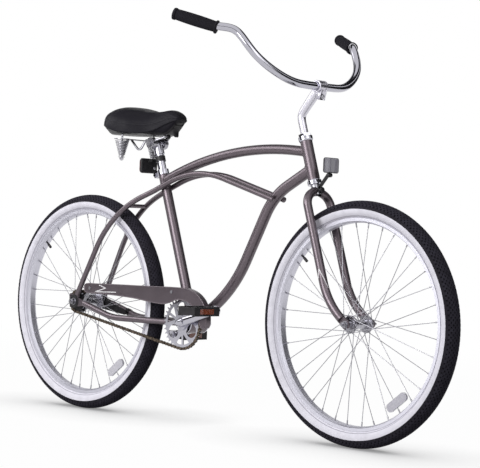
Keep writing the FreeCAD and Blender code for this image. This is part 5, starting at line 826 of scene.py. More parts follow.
def swept(name: str, points: list[Vector], radii: list[float], coat: Coat, steps: int = 240,
          sides: int = 32) -> Object:
    """Sweep a round bar along a smooth curve.

    Args:
        name: Piece name.
        points: Control points in metres.
        radii: Radius of the bar at each of them, in metres.
        coat: Its finish.
        steps: Points along the bar; 0 keeps the control points as they are.
        sides: Points round the bar.

    Returns:
        The dressed bar.
    """
    host = drawn(name + "_line", [points], kind="NURBS" if steps else "POLY")
    spline = host.data.splines[0]
    spline.points.foreach_set("radius", radii)
    tree = GeometryTree(name + "_tree", {"Steps": steps, "Sides": sides})
    path = tree.source
    if steps:
        spline.order_u = 4
        spline.use_endpoint_u = True
        links = {"Curve": path, "Count": tree.value("Steps")}
        path = tree.add("GeometryNodeResampleCurve", links, mode="COUNT")
    ring = tree.add("GeometryNodeCurvePrimitiveCircle", {"Resolution": tree.value("Sides"), "Radius": 1.0})
    size = tree.add("GeometryNodeInputRadius")
    links = {"Curve": path, "Profile Curve": ring, "Scale": size, "Fill Caps": True}
    bar = tree.add("GeometryNodeCurveToMesh", links)
    return tree.piece(name, bar, coat, smooth=True, base=host)


# Wheels


@dataclass
class Wheel:
    """One wheel: its tyre is made here, and its rim, spokes and hub are dressed.

    Attributes:
        name: "front" or "rear".
        centre: Axle centre in metres.
        rim: Finish of the rim, which is turned about this axle.
        hub_node: CAD node of the hub.
        ring_mm: Distance from the axle to the middle of the tyre's section.
        tread_edge: Angle from the crown where the tread starts to fade, and over how much, in degrees.
        bead_mm: Side and radius of the points of the left bead, from the outside in.
        mould_lines: Angles of the fine moulded lines, in degrees.
        rows: Number of blocks across the tread and their shift in pitches, for each set of rows.
        row_angle: Angle between two blocks across the tread, in degrees.
        block_mm: Length and width of a block.
        shoulder_mm: How much further out the blocks stand at the shoulder.
    """

    name: str
    centre: Vector
    rim: Coat
    hub_node: str
    ring_mm: float = 306.5
    section_mm: float = 25.5
    section_edge: int = 146
    tread_mm: float = 2.6
    tread_edge: Pair = (62.0, 6.0)
    wall_mm: float = 3.0
    wall_dip_mm: float = 0.2
    lining_edge: float = 134.4
    lining_steps: int = 24
    bead_mm: tuple[Pair, ...] = ((13.1, 284.0), (13.0, 280.3), (9.6, 280.3))
    mould_lines: tuple[float, ...] = (80.0, 84.0, 133.0)
    mould_line_mm: float = 0.45
    mould_line_width: float = 1.3
    segments: int = 256
    pitches: int = 160
    rows: tuple[tuple[int, float], ...] = ((6, 0.0), (5, 0.5))
    row_angle: float = 24.0
    block_mm: Pair = (9.4, 8.0)
    block_taper: float = 0.8
    block_sunk_mm: float = 0.6
    block_height_mm: float = 3.0
    shoulder_mm: float = 1.2

    def section(self) -> list[Pair]:
        """Draw the closed profile of the tyre.

        Returns:
            Pairs of side and radius, in millimetres.
        """
        start, fade = self.tread_edge
        outer = []
        for angle in range(-self.section_edge, self.section_edge + 1, 2):
            rise = max(0.0, min(1.0, (abs(angle) - start) / fade))
            size = self.section_mm - self.wall_dip_mm * rise
            size -= self.tread_mm * (1 - rise * rise * (3 - 2 * rise))
            for line in self.mould_lines:
                off = (abs(angle) - line) / self.mould_line_width
                size += self.mould_line_mm * math.exp(-(off**2))
            outer.append(self.spot(size, angle))
        size = self.section_mm - self.tread_mm - self.wall_mm
        steps = range(self.lining_steps, -self.lining_steps - 1, -1)
        inner = [self.spot(size, self.lining_edge * step / self.lining_steps) for step in steps]
        bead = list(self.bead_mm)
        return outer + bead + inner + [(-side, radius) for side, radius in reversed(bead)]

    def spot(self, size: float, angle: float) -> Pair:
        """Find a point of the section.

        Args:
            size: Distance from the middle of the section in millimetres.
            angle: Angle from the crown in degrees.

        Returns:
            Side and radius in millimetres.
        """
        turn = math.radians(angle)
        return size * math.sin(turn), self.ring_mm + size * math.cos(turn)

    def carcass(self) -> Object:
        """Sweep the section round the axle, with the distance from the axle in its UV map.

        Returns:
            The tyre without its tread blocks.
        """
        profile = self.section()
        points = []
        for turn in range(self.segments):
            angle = 2 * math.pi * turn / self.segments
            for side, radius in profile:
                spot = Vector((radius * math.sin(angle), side, radius * math.cos(angle)))
                points.append(self.centre + spot * MM)
        name = self.name + "_tyre_carcass"
        mesh = mesh_from(name, points, grid_faces(self.segments, len(profile), ring=True, loop=True))
        section = mesh.uv_layers.new(name="section")
        for loop in mesh.loops:
            place = mesh.vertices[loop.vertex_index].co - self.centre
            section.data[loop.index].uv = (math.atan2(place.x, place.z), math.hypot(place.x, place.z))
        return Coat.WHITEWALL.on(new_object(name, mesh))

    def tread(self) -> Object:
        """Set staggered rows of tapered rubber blocks round the crown.

        Returns:
            The tread blocks as one piece.
        """
        length, width = self.block_mm
        tree = GeometryTree(self.name + "_tread_tree", {
            "Centre": tuple(self.centre),
            "Pitches": self.pitches,
            "Pitch angle": 2 * math.pi / self.pitches,
            "Block height": self.block_height_mm * MM,
            "Block size": (length * MM, width * MM, 1.0),
        })
        foot = math.sqrt(2) / 2
        links = {
            "Vertices": 4,
            "Radius Top": self.block_taper * foot,
            "Radius Bottom": foot,
            "Depth": tree.value("Block height"),
        }
        block = tree.add("GeometryNodeMeshCone", links)
        links = {"Geometry": block, "Rotation": (0, 0, math.pi / 4)}
        square = tree.add("GeometryNodeTransform", links)
        index = tree.add("GeometryNodeInputIndex")
        rings = []
        for count, shift in self.rows:
            across = []
            for number in range(count):
                lean = self.row_angle * (number - (count - 1) / 2)
                reach = self.section_mm - self.tread_mm - self.block_sunk_mm
                reach += self.shoulder_mm * math.sin(math.radians(lean)) ** 4
                side, height = self.spot(reach, lean)
                links = {
                    "Geometry": square,
                    "Translation": (0, side * MM, height * MM),
                    "Rotation": (-math.radians(lean), 0, 0),
                    "Scale": tree.value("Block size"),
                }
                across.append(tree.add("GeometryNodeTransform", links))
            links = {"Count": tree.value("Pitches"), "Position": tree.value("Centre")}
            spots = tree.add("GeometryNodePoints", links)
            pitch = tree.add("ShaderNodeMath", {0: index, 1: shift}, operation="ADD")
            links = {0: pitch, 1: tree.value("Pitch angle")}
            turn = tree.add("ShaderNodeMath", links, operation="MULTIPLY")
            links = {
                "Points": spots,
                "Instance": tree.add("GeometryNodeJoinGeometry", {"Geometry": across}),
                "Rotation": tree.add("ShaderNodeCombineXYZ", {"Y": turn}),
            }
            rings.append(tree.add("GeometryNodeInstanceOnPoints", links))
        tread = tree.add("GeometryNodeJoinGeometry", {"Geometry": rings})
        return tree.piece(self.name + "_tyre_tread", tread, Coat.TREAD)

    def build(self, nodes: Nodes) -> None:
        """Make the tyre and dress the wheel's CAD nodes.

        Args:
            nodes: CAD objects by node name.
        """
        body = self.name + "_wheel"
        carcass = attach(self.carcass(), body)
        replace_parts(carcass, self.name + "_tyre")
        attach(self.tread(), body)
        self.rim.on(nodes[self.name + "_rim"])
        Coat.STAINLESS.on(nodes[self.name + "_spokes"])
        Coat.HUB.on(nodes[self.hub_node])
        Coat.TUBE.on(nodes[self.name + "_inner_tube"])
        Coat.CLEAR.on(nodes[self.name + "_spoke_reflector"])
        LOG.info("%s wheel: tyre with %d tread pitches", self.name, self.pitches)


# Saddle


@dataclass
class Saddle:
    """The sprung saddle: its cover, pan, tongue and springs are made here, and its hardware is dressed.

    Attributes:
        stations_mm: Place along X, half width, height of the crown and of the hem, from the rear to the nose.
        end_share: How strongly the cross-sections crowd towards both ends.
        side_power: How full the cover's sides are; lower is fuller.
        crown_power: How full the cover's top is; lower is fuller.
        hem_share: Share of the half width that the rolled hem may take up.
        pad_mm: Least thickness of the pad over the pan at the hem, and what it gains towards the middle.
        pad_shares: Shares of the half width where the pad's underside has its points.
        pan_rise_mm: Where the pan starts to rise to the nose, and over what length.
        pan_lip: Share of the half width where the pan's lip starts.
        lip_over_mm: How far above the hem the lip ends.
        stiffness: Stiffness of the cloth in stretching and in bending.
        pivot_mm: Centre of the lug that turns on the rails, in X and Z.
        lug_mm: Outer radius, bore and half width of that lug.
        tongue_mm: Upper end of the tongue under the nose, in X and Z.
        tongue_run_mm: From there to its lower end.
        tongue_bow_mm: How far it bows to the rear, and how far its sides curl.
        tongue_half_mm: Half width, its taper and the rounding of the tip.
    """

    stations_mm: tuple[Quad, ...] = (
        (-420.0, 34.0, 889.0, 881.0), (-416.0, 60.0, 901.0, 878.0), (-406.0, 86.0, 915.5, 875.0),
        (-385.0, 104.0, 925.5, 867.5), (-351.0, 111.0, 928.5, 858.5), (-312.0, 101.0, 922.5, 851.5),
        (-280.0, 81.0, 915.5, 850.5), (-250.0, 60.0, 913.0, 853.0), (-225.0, 46.0, 914.5, 862.5),
        (-205.0, 38.0, 917.0, 873.0), (-185.0, 32.0, 916.5, 882.0), (-168.0, 26.0, 911.0, 887.5),
        (-158.0, 18.0, 904.0, 890.5), (-154.0, 9.0, 898.5, 892.5),
    )
    steps: int = 84
    end_share: float = 0.7
    skin_steps: int = 22
    side_power: float = 0.78
    crown_power: float = 0.66
    hem_mm: float = 2.6
    hem_share: float = 0.2
    hem_turns: tuple[float, ...] = (30.0, 75.0, 120.0)
    seam_row: int = 3
    seam_mm: float = 0.7
    seam_width: float = 0.7
    seam_span_mm: Pair = (-412.0, -160.0)
    stitch_mm: float = 5.0
    stitch_share: float = 0.72
    thread_mm: float = 0.55
    pad_mm: Pair = (4.0, 3.0)
    pad_shares: tuple[float, ...] = (0.88, 0.7, 0.45, 0.2)
    pan_mm: float = 847.6
    pan_sheet_mm: float = 2.4
    pan_span_mm: Pair = (-417.0, -172.0)
    pan_rise_mm: Pair = (-205.0, 45.0)
    pan_lip: float = 0.66
    lip_over_mm: float = 1.0
    pan_steps: int = 10
    pan_inset_mm: float = 2.5
    pan_gap_mm: float = 0.6
    swell_mm: float = 2.5
    pressure: float = 4.0
    stiffness: Pair = (30.0, 2.0)
    frames: int = 20
    pivot_mm: Pair = (-218.5, 841.5)
    lug_mm: Point = (7.0, 3.6, 5.0)
    tongue_mm: Pair = (-166.0, 884.0)
    tongue_run_mm: Pair = (-14.0, -45.0)
    tongue_bow_mm: Pair = (9.0, 3.0)
    tongue_half_mm: Point = (15.0, 5.0, 4.0)
    tongue_sheet_mm: float = 3.4
    spring_turns: float = 10.0
    wire_mm: float = 2.0
    top_mm: float = 20.0
    foot_mm: float = 7.0

    def form(self, x: float) -> Point:
        """Read the saddle's form at a place along it, on a smooth curve through the stations.

        Args:
            x: Place along X in millimetres.

        Returns:
            Half width, crown height and hem height in millimetres.
        """
        rows = np.array(self.stations_mm)
        slopes = np.gradient(rows[:, 1:], rows[:, 0], axis=0)
        k = int(np.clip(np.searchsorted(rows[:, 0], x) - 1, 0, len(rows) - 2))
        span = rows[k + 1, 0] - rows[k, 0]
        weights = bend_weights((x - rows[k, 0]) / span)
        parts = (rows[k, 1:], slopes[k] * span, rows[k + 1, 1:], slopes[k + 1] * span)
        wide, crown, hem = sum(w * p for w, p in zip(weights, parts))
        return float(wide), float(crown), float(hem)

    def places(self) -> list[float]:
        """Place the cross-sections, closer together at both ends.

        Returns:
            Places along X in millimetres.
        """
        first, last = self.stations_mm[0][0], self.stations_mm[-1][0]
        crowd = self.end_share
        turns = [math.pi * k / (self.steps - 1) for k in range(self.steps)]
        shares = [crowd * (1 - math.cos(t)) / 2 + (1 - crowd) * t / math.pi for t in turns]
        return [first + (last - first) * share for share in shares]

    def bowl(self, x: float, share: float) -> float:
        """Return the height of the pan's middle sheet at a share of the half width.

        Args:
            x: Place along X in millimetres.
            share: 0 in the middle plane and 1 at the hem.

        Returns:
            Height in millimetres.
        """
        hem = self.form(x)[2]
        start, length = self.pan_rise_mm
        middle = min(self.pan_mm, hem) + max(0.0, x - start) / length * max(0.0, hem - self.pan_mm)
        lip = max(0.0, (share - self.pan_lip) / (1 - self.pan_lip))
        return middle + max(0.0, hem + self.lip_over_mm - middle) * lip**2

    def loop(self, x: float) -> list[Quad]:
        """Draw one closed cross-section of the cover.

        Args:
            x: Place along X in millimetres.

        Returns:
            Points in metres, each with the share of the cloth's swelling that it takes.
        """
        wide, crown, hem = self.form(x)
        half = []
        for k in range(self.skin_steps + 1):
            turn = math.pi / 2 * k / self.skin_steps
            side = wide * math.sin(turn) ** self.side_power
            rise = max(math.cos(turn), 0.0) ** self.crown_power
            off = (k - self.skin_steps + self.seam_row) / self.seam_width
            groove = self.seam_mm * math.exp(-(off**2))
            half.append((side - groove, hem + (crown - hem) * rise, min(1.0, 3 * rise)))
        roll = min(self.hem_mm, self.hem_share * wide)
        for turn in self.hem_turns:
            angle = math.radians(turn)
            half.append((wide - roll + roll * math.cos(angle), hem - roll * math.sin(angle), 0.0))
        least, gain = self.pad_mm
        for share in self.pad_shares:
            height = self.bowl(x, share) + self.pan_sheet_mm / 2 + self.pan_gap_mm
            half.append((wide * share, min(height, crown - least - gain * (1 - share)), 0.0))
        left = [(x * MM, side * MM, height * MM, share) for side, height, share in half]
        right = [(a, -b, c, d) for a, b, c, d in reversed(left[1:])]
        return left + right

    def cover(self) -> Object:
        """Sew the cover: skin it over the cross-sections, let it swell as cloth, and smooth it.

        Returns:
            The padded cover.
        """
        loops = [self.loop(x) for x in self.places()]
        count = len(loops[0])
        points = [spot[:3] for loop in loops for spot in loop]
        faces = [tuple(reversed(range(count))), tuple(range(len(points) - count, len(points)))]
        faces += grid_faces(len(loops), count, ring=True)
        pad = new_object("saddle_pad", mesh_from("saddle_pad", points, faces))
        self.swell(pad, np.array([spot[3] for loop in loops for spot in loop]))
        refine = pad.modifiers.new("fine", "SUBSURF")
        refine.levels = refine.render_levels = 1
        return Coat.VINYL.on(settled(pad, "saddle_cover_padded"))

    def swell(self, pad: Object, shares: np.ndarray) -> None:
        """Blow the pad up as cloth, within a limit, and keep the result as its mesh.

        Args:
            pad: Evenly meshed pad, whose mesh is changed.
            shares: Share of the swelling that each point takes.
        """
        rest = np.array([v.co for v in pad.data.vertices])
        cloth = pad.modifiers.new("cloth", "CLOTH")
        cloth.settings.use_pressure = True
        cloth.settings.uniform_pressure_force = self.pressure
        cloth.settings.effector_weights.gravity = 0
        stretch, cloth.settings.bending_stiffness = self.stiffness
        cloth.settings.tension_stiffness = cloth.settings.compression_stiffness = stretch
        scene = bpy.context.scene
        for frame in range(1, self.frames + 1):
            scene.frame_set(frame)
        graph = bpy.context.evaluated_depsgraph_get()
        moved = np.array([v.co for v in pad.evaluated_get(graph).data.vertices])
        pad.modifiers.remove(cloth)
        scene.frame_set(1)
        shift = moved - rest
        length = np.linalg.norm(shift, axis=1, keepdims=True)
        shift *= np.minimum(1.0, self.swell_mm * MM / np.maximum(length, 1e-9))
        pad.data.vertices.foreach_set("co", (rest + shift * shares[:, None]).ravel())

    def pan(self) -> Object:
        """Press the pan that carries the cover, with the lug that turns on the rails.

        Returns:
            The pan.
        """
        rear, front = self.pan_span_mm
        places = [x for x in self.places() if rear < x < front]
        shares = [k / self.pan_steps for k in range(-self.pan_steps, self.pan_steps + 1)]
        points = []
        for x in places:
            wide = self.form(x)[0] - 2 * self.hem_mm - self.pan_inset_mm
            points += [(x * MM, wide * share * MM, self.bowl(x, abs(share)) * MM) for share in shares]
        mesh = mesh_from("saddle_pan_sheet", points, grid_faces(len(places), len(shares)))
        sheet = pressed("saddle_pan_pressed", mesh, self.pan_sheet_mm)
        outer, bore, half = self.lug_mm
        x, z = self.pivot_mm
        profile = [(-half, outer), (half, outer), (half, bore), (-half, bore)]
        lug = turned("saddle_pan_lug", profile, Vector((x, 0, z)), SIDEWAYS, count=32, closed=True)
        work = bmesh.new()
        for part in (sheet, lug):
            work.from_mesh(part.data)
        work.to_mesh(sheet.data)
        work.free()
        bpy.data.objects.remove(lug)
        return Coat.BLACK_STEEL.on(sheet)

    def tongue(self) -> Object:
        """Mould the tongue that hangs under the nose, curved and tapered.

        Returns:
            The tongue.
        """
        (x, z), (run_x, run_z) = self.tongue_mm, self.tongue_run_mm
        bow, curl = self.tongue_bow_mm
        wide, taper, tip = self.tongue_half_mm
        steps = 10
        shares = (-1.0, -0.6, 0.0, 0.6, 1.0)
        points = []
        for t in (k / steps for k in range(steps + 1)):
            along = x + run_x * t - bow * math.sin(math.pi * t)
            half = wide - taper * t**2 - tip * max(0.0, (t - 0.9) / 0.1) ** 2
            for share in shares:
                spot = Vector((along - curl * abs(share) ** 3, half * share, z + run_z * t))
                points.append(spot * MM)
        mesh = mesh_from("saddle_tongue_sheet", points, grid_faces(steps + 1, len(shares)))
        return Coat.RESIN.on(pressed("saddle_nose_tongue", mesh, self.tongue_sheet_mm, 2))

    def stitches(self) -> Object:
        """Run a row of stitches in the groove above the hem, on both sides.

        Returns:
            The stitches as one piece.
        """
        rear, front = self.seam_span_mm
        row = self.skin_steps - self.seam_row
        loops = [self.loop(x) for x in self.places() if rear < x < front]
        proud = 1.004
        sides = []
        for k in (row, len(loops[0]) - row):
            sides.append([(x, y * proud, z) for x, y, z, _ in (loop[k] for loop in loops)])
        thread = self.thread_mm * MM
        tree = GeometryTree("stitch_tree", {
            "Stitch pitch": self.stitch_mm * MM,
            "Stitch size": (thread, thread, self.stitch_share * self.stitch_mm / 2 * MM),
        })
        links = {"Curve": tree.source, "Length": tree.value("Stitch pitch")}
        spots = tree.add("GeometryNodeResampleCurve", links, mode="LENGTH")
        tangent = tree.add("GeometryNodeInputTangent")
        turn = tree.add("FunctionNodeAlignRotationToVector", {"Vector": tangent}, axis="Z")
        stitch = tree.add("GeometryNodeMeshUVSphere", {"Segments": 8, "Rings": 6, "Radius": 1.0})
        links = {
            "Points": spots,
            "Instance": stitch,
            "Rotation": turn,
            "Scale": tree.value("Stitch size"),
        }
        seam = tree.add("GeometryNodeInstanceOnPoints", links)
        host = drawn("stitch_line", sides)
        return tree.piece("saddle_stitches", seam, Coat.THREAD, smooth=True, base=host)

    def spring(self, side: Side) -> Object:
        """Wind one cone spring: wide under the plate, narrow at the foot.

        Args:
            side: Side that it is on.

        Returns:
            The spring.
        """
        low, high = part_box("saddle_springs")
        wire = self.wire_mm * MM
        place = ((low.x + high.x) / 2, side * (high.y - self.top_mm * MM - wire), low.z + wire)
        tree = GeometryTree("cone_spring_tree", {
            "Place": place,
            "Turns": self.spring_turns,
            "Foot radius": self.foot_mm * MM,
            "Top radius": self.top_mm * MM,
            "Height": high.z - low.z - 2 * wire,
            "Wire radius": wire,
        })
        links = {
            "Resolution": 40,
            "Rotations": tree.value("Turns"),
            "Start Radius": tree.value("Foot radius"),
            "End Radius": tree.value("Top radius"),
            "Height": tree.value("Height"),
        }
        coil = tree.add("GeometryNodeCurveSpiral", links)
        links = {"Resolution": 10, "Radius": tree.value("Wire radius")}
        ring = tree.add("GeometryNodeCurvePrimitiveCircle", links)
        links = {"Curve": coil, "Profile Curve": ring, "Fill Caps": True}
        tube = tree.add("GeometryNodeCurveToMesh", links)
        links = {"Geometry": tube, "Translation": tree.value("Place")}
        placed = tree.add("GeometryNodeTransform", links)
        return tree.piece(side.named("saddle_spring"), placed, Coat.STEEL, smooth=True)

    def build(self, nodes: Nodes) -> None:
        """Make the cover, pan, tongue and springs, and dress the saddle's CAD nodes.

        Args:
            nodes: CAD objects by node name.
        """
        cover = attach(self.cover(), "saddle_top")
        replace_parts(cover, "saddle_cover")
        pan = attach(self.pan(), "saddle_top")
        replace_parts(pan, "saddle_base")
        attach(self.tongue(), "saddle_top")
        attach(self.stitches(), "saddle_top")
        for side in Side:
            coil = self.spring(side)
            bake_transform(coil)
            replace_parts(coil, "saddle_springs")
        for name in ("saddle_rails", "saddle_clamp", "spring_rods"):
            Coat.STEEL.on(nodes[name])
        LOG.info("saddle: padded cover, stitches, pan, tongue and two cone springs")


# Bars


@dataclass
class Cockpit:
    """Stem, handlebar and grips: one swept bar, a bent neck with its clamp, and flanged grips.

    Attributes:
        centre_mm: Middle of the bar in its clamp.
        bar_mm: Control points of the bar's left half, from the middle to the end, measured from the centre.
        neck_corner_mm: Where the steering axis meets the neck's arm, in X and Z.
        neck_foot: Place on the foot, as a share of its length, and growth of the radius at each control point.
        neck_arm: The same on the arm.
        clamp_mm: Radius and half width of the clamp.
        lug_run: Direction in which the clamp's ears are drawn together.
        lug_mm: Thickness, half width and depth of an ear.
        lug_place_mm: Middle between the ears ahead of the bar, half their gap, and their drop below the bar.
        rib: Share of the distance between two ribs, and height, at each point of a rib.
        belly_mm: Radius of the grip between the flanges, and what it gains in the middle.
        end_profile_mm: Profile of the outer flange and the closed end, measured from the bar's end.
    """

    centre_mm: Point = (377.663, 0.0, 974.08)
    bar_mm: tuple[Point, ...] = (
        (0.0, 0.0, 0.0), (0.0, 30.0, 0.0), (0.0, 60.0, 0.0), (-7.7, 122.6, 3.8), (-45.3, 225.0, 64.5),
        (-92.8, 237.0, 143.5), (-123.1, 276.6, 136.9), (-177.1, 309.8, 155.4), (-231.0, 343.0, 174.0),
    )
    bar_radius_mm: float = 11.1
    neck_corner_mm: Pair = (311.3, 895.7)
    neck_foot_mm: float = 105.0
    neck_radii_mm: Pair = (11.05, 13.4)
    neck_foot: tuple[Pair, ...] = ((-1.0, 0.0), (-0.6, 0.0), (-0.25, 0.0), (-0.07, 0.1))
    neck_arm: tuple[Pair, ...] = ((0.08, 0.4), (0.3, 0.7), (0.65, 1.0), (0.98, 1.0))
    clamp_mm: Pair = (16.8, 17.0)
    clamp_edge_mm: float = 2.2
    lug_run: Point = (1.0, 0.0, -0.25)
    lug_mm: Point = (9.0, 9.5, 27.0)
    lug_place_mm: Point = (6.0, 0.9, 5.0)
    lug_edge_mm: float = 2.4
    bolt_mm: tuple[Pair, ...] = (
        (0.0, 0.0), (0.0, 6.6), (2.0, 6.6), (4.4, 5.2), (5.4, 3.0), (5.4, 2.2), (3.4, 2.0), (3.4, 0.0),
    )
    bolt_rise_mm: float = 2.0
    grip_mm: float = 126.0
    rib_mm: float = 4.0
    rib: tuple[Pair, ...] = ((0.0, -0.5), (0.3, 0.0), (0.7, 0.0), (1.0, -0.5))
    belly_mm: Pair = (14.7, 1.7)
    flange_mm: float = 6.0
    flange_profile_mm: tuple[Pair, ...] = ((0.0, 17.6), (0.8, 18.4), (4.2, 18.4), (5.4, 17.2))
    end_profile_mm: tuple[Pair, ...] = (
        (-7.0, 15.6), (-6.0, 16.6), (-0.6, 16.6), (1.4, 15.4), (2.8, 12.0), (2.8, 0.0),
    )

    @property
    def bore_mm(self) -> float:
        """Radius of a bore that the bar fits in."""
        return self.bar_radius_mm + 0.1

    def bar(self) -> Object:
        """Bend the handlebar, the same on both sides.

        Returns:
            The bar.
        """
        left = [Vector(self.centre_mm) + Vector(spot) for spot in self.bar_mm]
        right = [Vector((spot.x, -spot.y, spot.z)) for spot in reversed(left[1:])]
        points = [spot * MM for spot in right + left]
        return swept("handlebar_swept", points, [self.bar_radius_mm * MM] * len(points), Coat.CHROME)

    def neck(self) -> Object:
        """Bend the neck of the stem, which thickens towards the clamp.

        Returns:
            The neck.
        """
        corner = Vector((self.neck_corner_mm[0], 0, self.neck_corner_mm[1]))
        foot = Vector(STEER_RUN) * self.neck_foot_mm
        arm = Vector(self.centre_mm) - corner
        thin, thick = self.neck_radii_mm
        points, radii = [], []
        for run, stations in ((foot, self.neck_foot), (arm, self.neck_arm)):
            for share, growth in stations:
                points.append((corner + run * share) * MM)
                radii.append((thin + (thick - thin) * growth) * MM)
        return swept("stem_neck", points, radii, Coat.SATIN)

    def clamp(self) -> Object:
        """Turn the clamp round the bar, with rolled edges.

        Returns:
            The clamp.
        """
        (radius, half), edge = self.clamp_mm, self.clamp_edge_mm
        profile = [(-half, self.bore_mm), (-half, radius - edge)]
        for turn in (22.5, 45.0, 67.5, 90.0):
            angle = math.radians(turn)
            profile.append((-half + edge * (1 - math.cos(angle)), radius - edge * (1 - math.sin(angle))))
        profile += [(-side, size) for side, size in reversed(profile)]
        return Coat.SATIN.on(turned("stem_clamp", profile, Vector(self.centre_mm), SIDEWAYS, closed=True))

    def lug(self) -> tuple[Object, Object]:
        """Hang the two ears of the clamp below the bar, drawn together by a bolt.

        Returns:
            The ears and the bolt.
        """
        thick, half, depth = self.lug_mm
        ahead, gap, drop = self.lug_place_mm
        run = Vector(self.lug_run).normalized()
        down = Vector((run.z, 0, -run.x))
        centre = Vector(self.centre_mm)
        size = Matrix((run * thick, SIDEWAYS * 2 * half, down * depth)).transposed().to_4x4()
        ears = []
        for sign in (-1, 1):
            place = centre + run * (ahead + sign * (thick / 2 + gap)) + down * (depth / 2 + drop)
            ears.append(Matrix.Translation(place) @ size)
        head = centre + run * (ahead + thick + gap) + down * (depth - self.bolt_rise_mm)
        return (
            Coat.SATIN.on(blocks("stem_clamp_ears", ears, self.lug_edge_mm, 3, True)),
            Coat.STEEL.on(turned("stem_clamp_bolt", list(self.bolt_mm), head, run)),
        )

    def grip(self, side: Side) -> Object:
        """Turn one grip: a flange at each end and fine ribs on a full belly.

        Args:
            side: Side that it is on.

        Returns:
            The grip.
        """
        ends = [Vector(self.centre_mm) + Vector(spot) for spot in self.bar_mm[-2:]]
        inner, outer = (Vector((spot.x, side * spot.y, spot.z)) for spot in ends)
        run = (outer - inner).normalized()
        slim, gain = self.belly_mm
        length = self.grip_mm - 2 * self.flange_mm
        count = int(length / self.rib_mm)
        profile = [(0.0, self.bore_mm), *self.flange_profile_mm]
        for number in range(count):
            for part, rise in self.rib:
                share = (number + part) / count
                belly = slim + gain * math.sin(math.pi * share) ** 0.7
                profile.append((self.flange_mm + length * share, belly + rise))
        profile += [(self.grip_mm + along, radius) for along, radius in self.end_profile_mm]
        return Coat.GRIP.on(turned(side.named("grip_moulded"), profile, outer - run * self.grip_mm, run))

    def build(self, nodes: Nodes) -> None:
        """Make the bar, stem and grips.

        Args:
            nodes: CAD objects by node name; not used.
        """
        pieces = [(self.bar(), "handlebar", "handlebar", "chrome")]
        pieces += [(self.neck(), "stem", "stem", "chrome"), (self.clamp(), "stem", "stem", "chrome")]
        ears, bolt = self.lug()
        pieces += [(ears, "stem", "stem", "chrome"), (bolt, "stem", "stem_bolts", "plated_steel")]
        pieces += [(self.grip(Side.LEFT), "handlebar", "grip_left", "grip_rubber")]
        pieces += [(self.grip(Side.RIGHT), "handlebar", "grip_right", "grip_rubber")]
        for piece, body, node, slot in pieces:
            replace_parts(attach(piece, body), node)
        LOG.info("cockpit: %d pieces", len(pieces))


# Guard and small fittings


@dataclass
class Guard:
    """The pressed chain guard: a face with a round lobe ahead, a flange along its top and a rolled edge.

    Attributes:
        sections_mm: Points of the upper and the lower edge in X and Z, in pairs from the tail to the lobe.
    """

    sections_mm: tuple[Quad, ...] = (
        (-497.0, 384.0, -496.0, 368.0), (-482.0, 390.0, -480.0, 362.0), (-430.0, 391.0, -429.0, 363.0),
        (-335.0, 393.0, -347.0, 361.0), (-260.0, 394.0, -267.0, 357.0), (-204.0, 395.0, -204.0, 350.5),
        (-150.0, 396.3, -152.0, 347.5), (-105.0, 397.0, -122.0, 352.0), (-61.0, 396.6, -98.0, 361.0),
        (-34.0, 392.5, -73.0, 363.5), (-8.0, 382.0, -47.0, 359.5), (14.0, 364.5, -23.0, 347.5),
        (28.0, 342.0, -7.0, 330.0), (34.0, 319.0, 3.0, 311.0), (34.5, 301.0, 9.0, 298.0),
        (29.0, 287.0, 15.0, 287.0),
    )
    flange_mm: float = -44.0
    sheet_mm: float = 1.3
    roll_mm: float = 1.7
    steps: int = 8

    def edges(self) -> tuple[list[Vector], list[Vector]]:
        """Draw the smooth edges of the face.

        Returns:
            Points of the upper and the lower edge, in millimetres.
        """
        rows = np.array(self.sections_mm)
        lines = (smooth_line(rows[:, :2], self.steps), smooth_line(rows[:, 2:], self.steps))
        upper, lower = ([Vector((x, GUARD_FACE_MM, z)) for x, z in line] for line in lines)
        return upper, lower

    def sheet(self) -> Object:
        """Press the face and its flange from one sheet.

        Returns:
            The painted sheet.
        """
        rows = []
        for top, foot in zip(*self.edges()):
            back = Vector((top.x, self.flange_mm, top.z))
            rows.append([foot, foot.lerp(top, 0.33), foot.lerp(top, 0.67), top, top.lerp(back, 0.5), back])
        points = [spot * MM for row in rows for spot in row]
        mesh = mesh_from("chain_guard_sheet", points, grid_faces(len(rows), len(rows[0])), smooth=False)
        return Coat.FRAME.on(pressed("chain_guard_pressed", mesh, self.sheet_mm))

    def rolled_edge(self) -> Object:
        """Roll the edge round the face.

        Returns:
            The painted edge.
        """
        upper, lower = self.edges()
        points = [spot * MM for spot in upper + lower[::-1] + upper[:1]]
        radii = [self.roll_mm * MM] * len(points)
        return swept("chain_guard_rolled_edge", points, radii, Coat.FRAME, steps=0, sides=12)

    def build(self, nodes: Nodes) -> None:
        """Make the guard in place of the CAD node.

        Args:
            nodes: CAD objects by node name; not used.
        """
        for piece in (self.sheet(), self.rolled_edge()):
            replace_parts(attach(piece, "frame"), "chain_guard")
        LOG.info("guard: pressed sheet with a rolled edge")


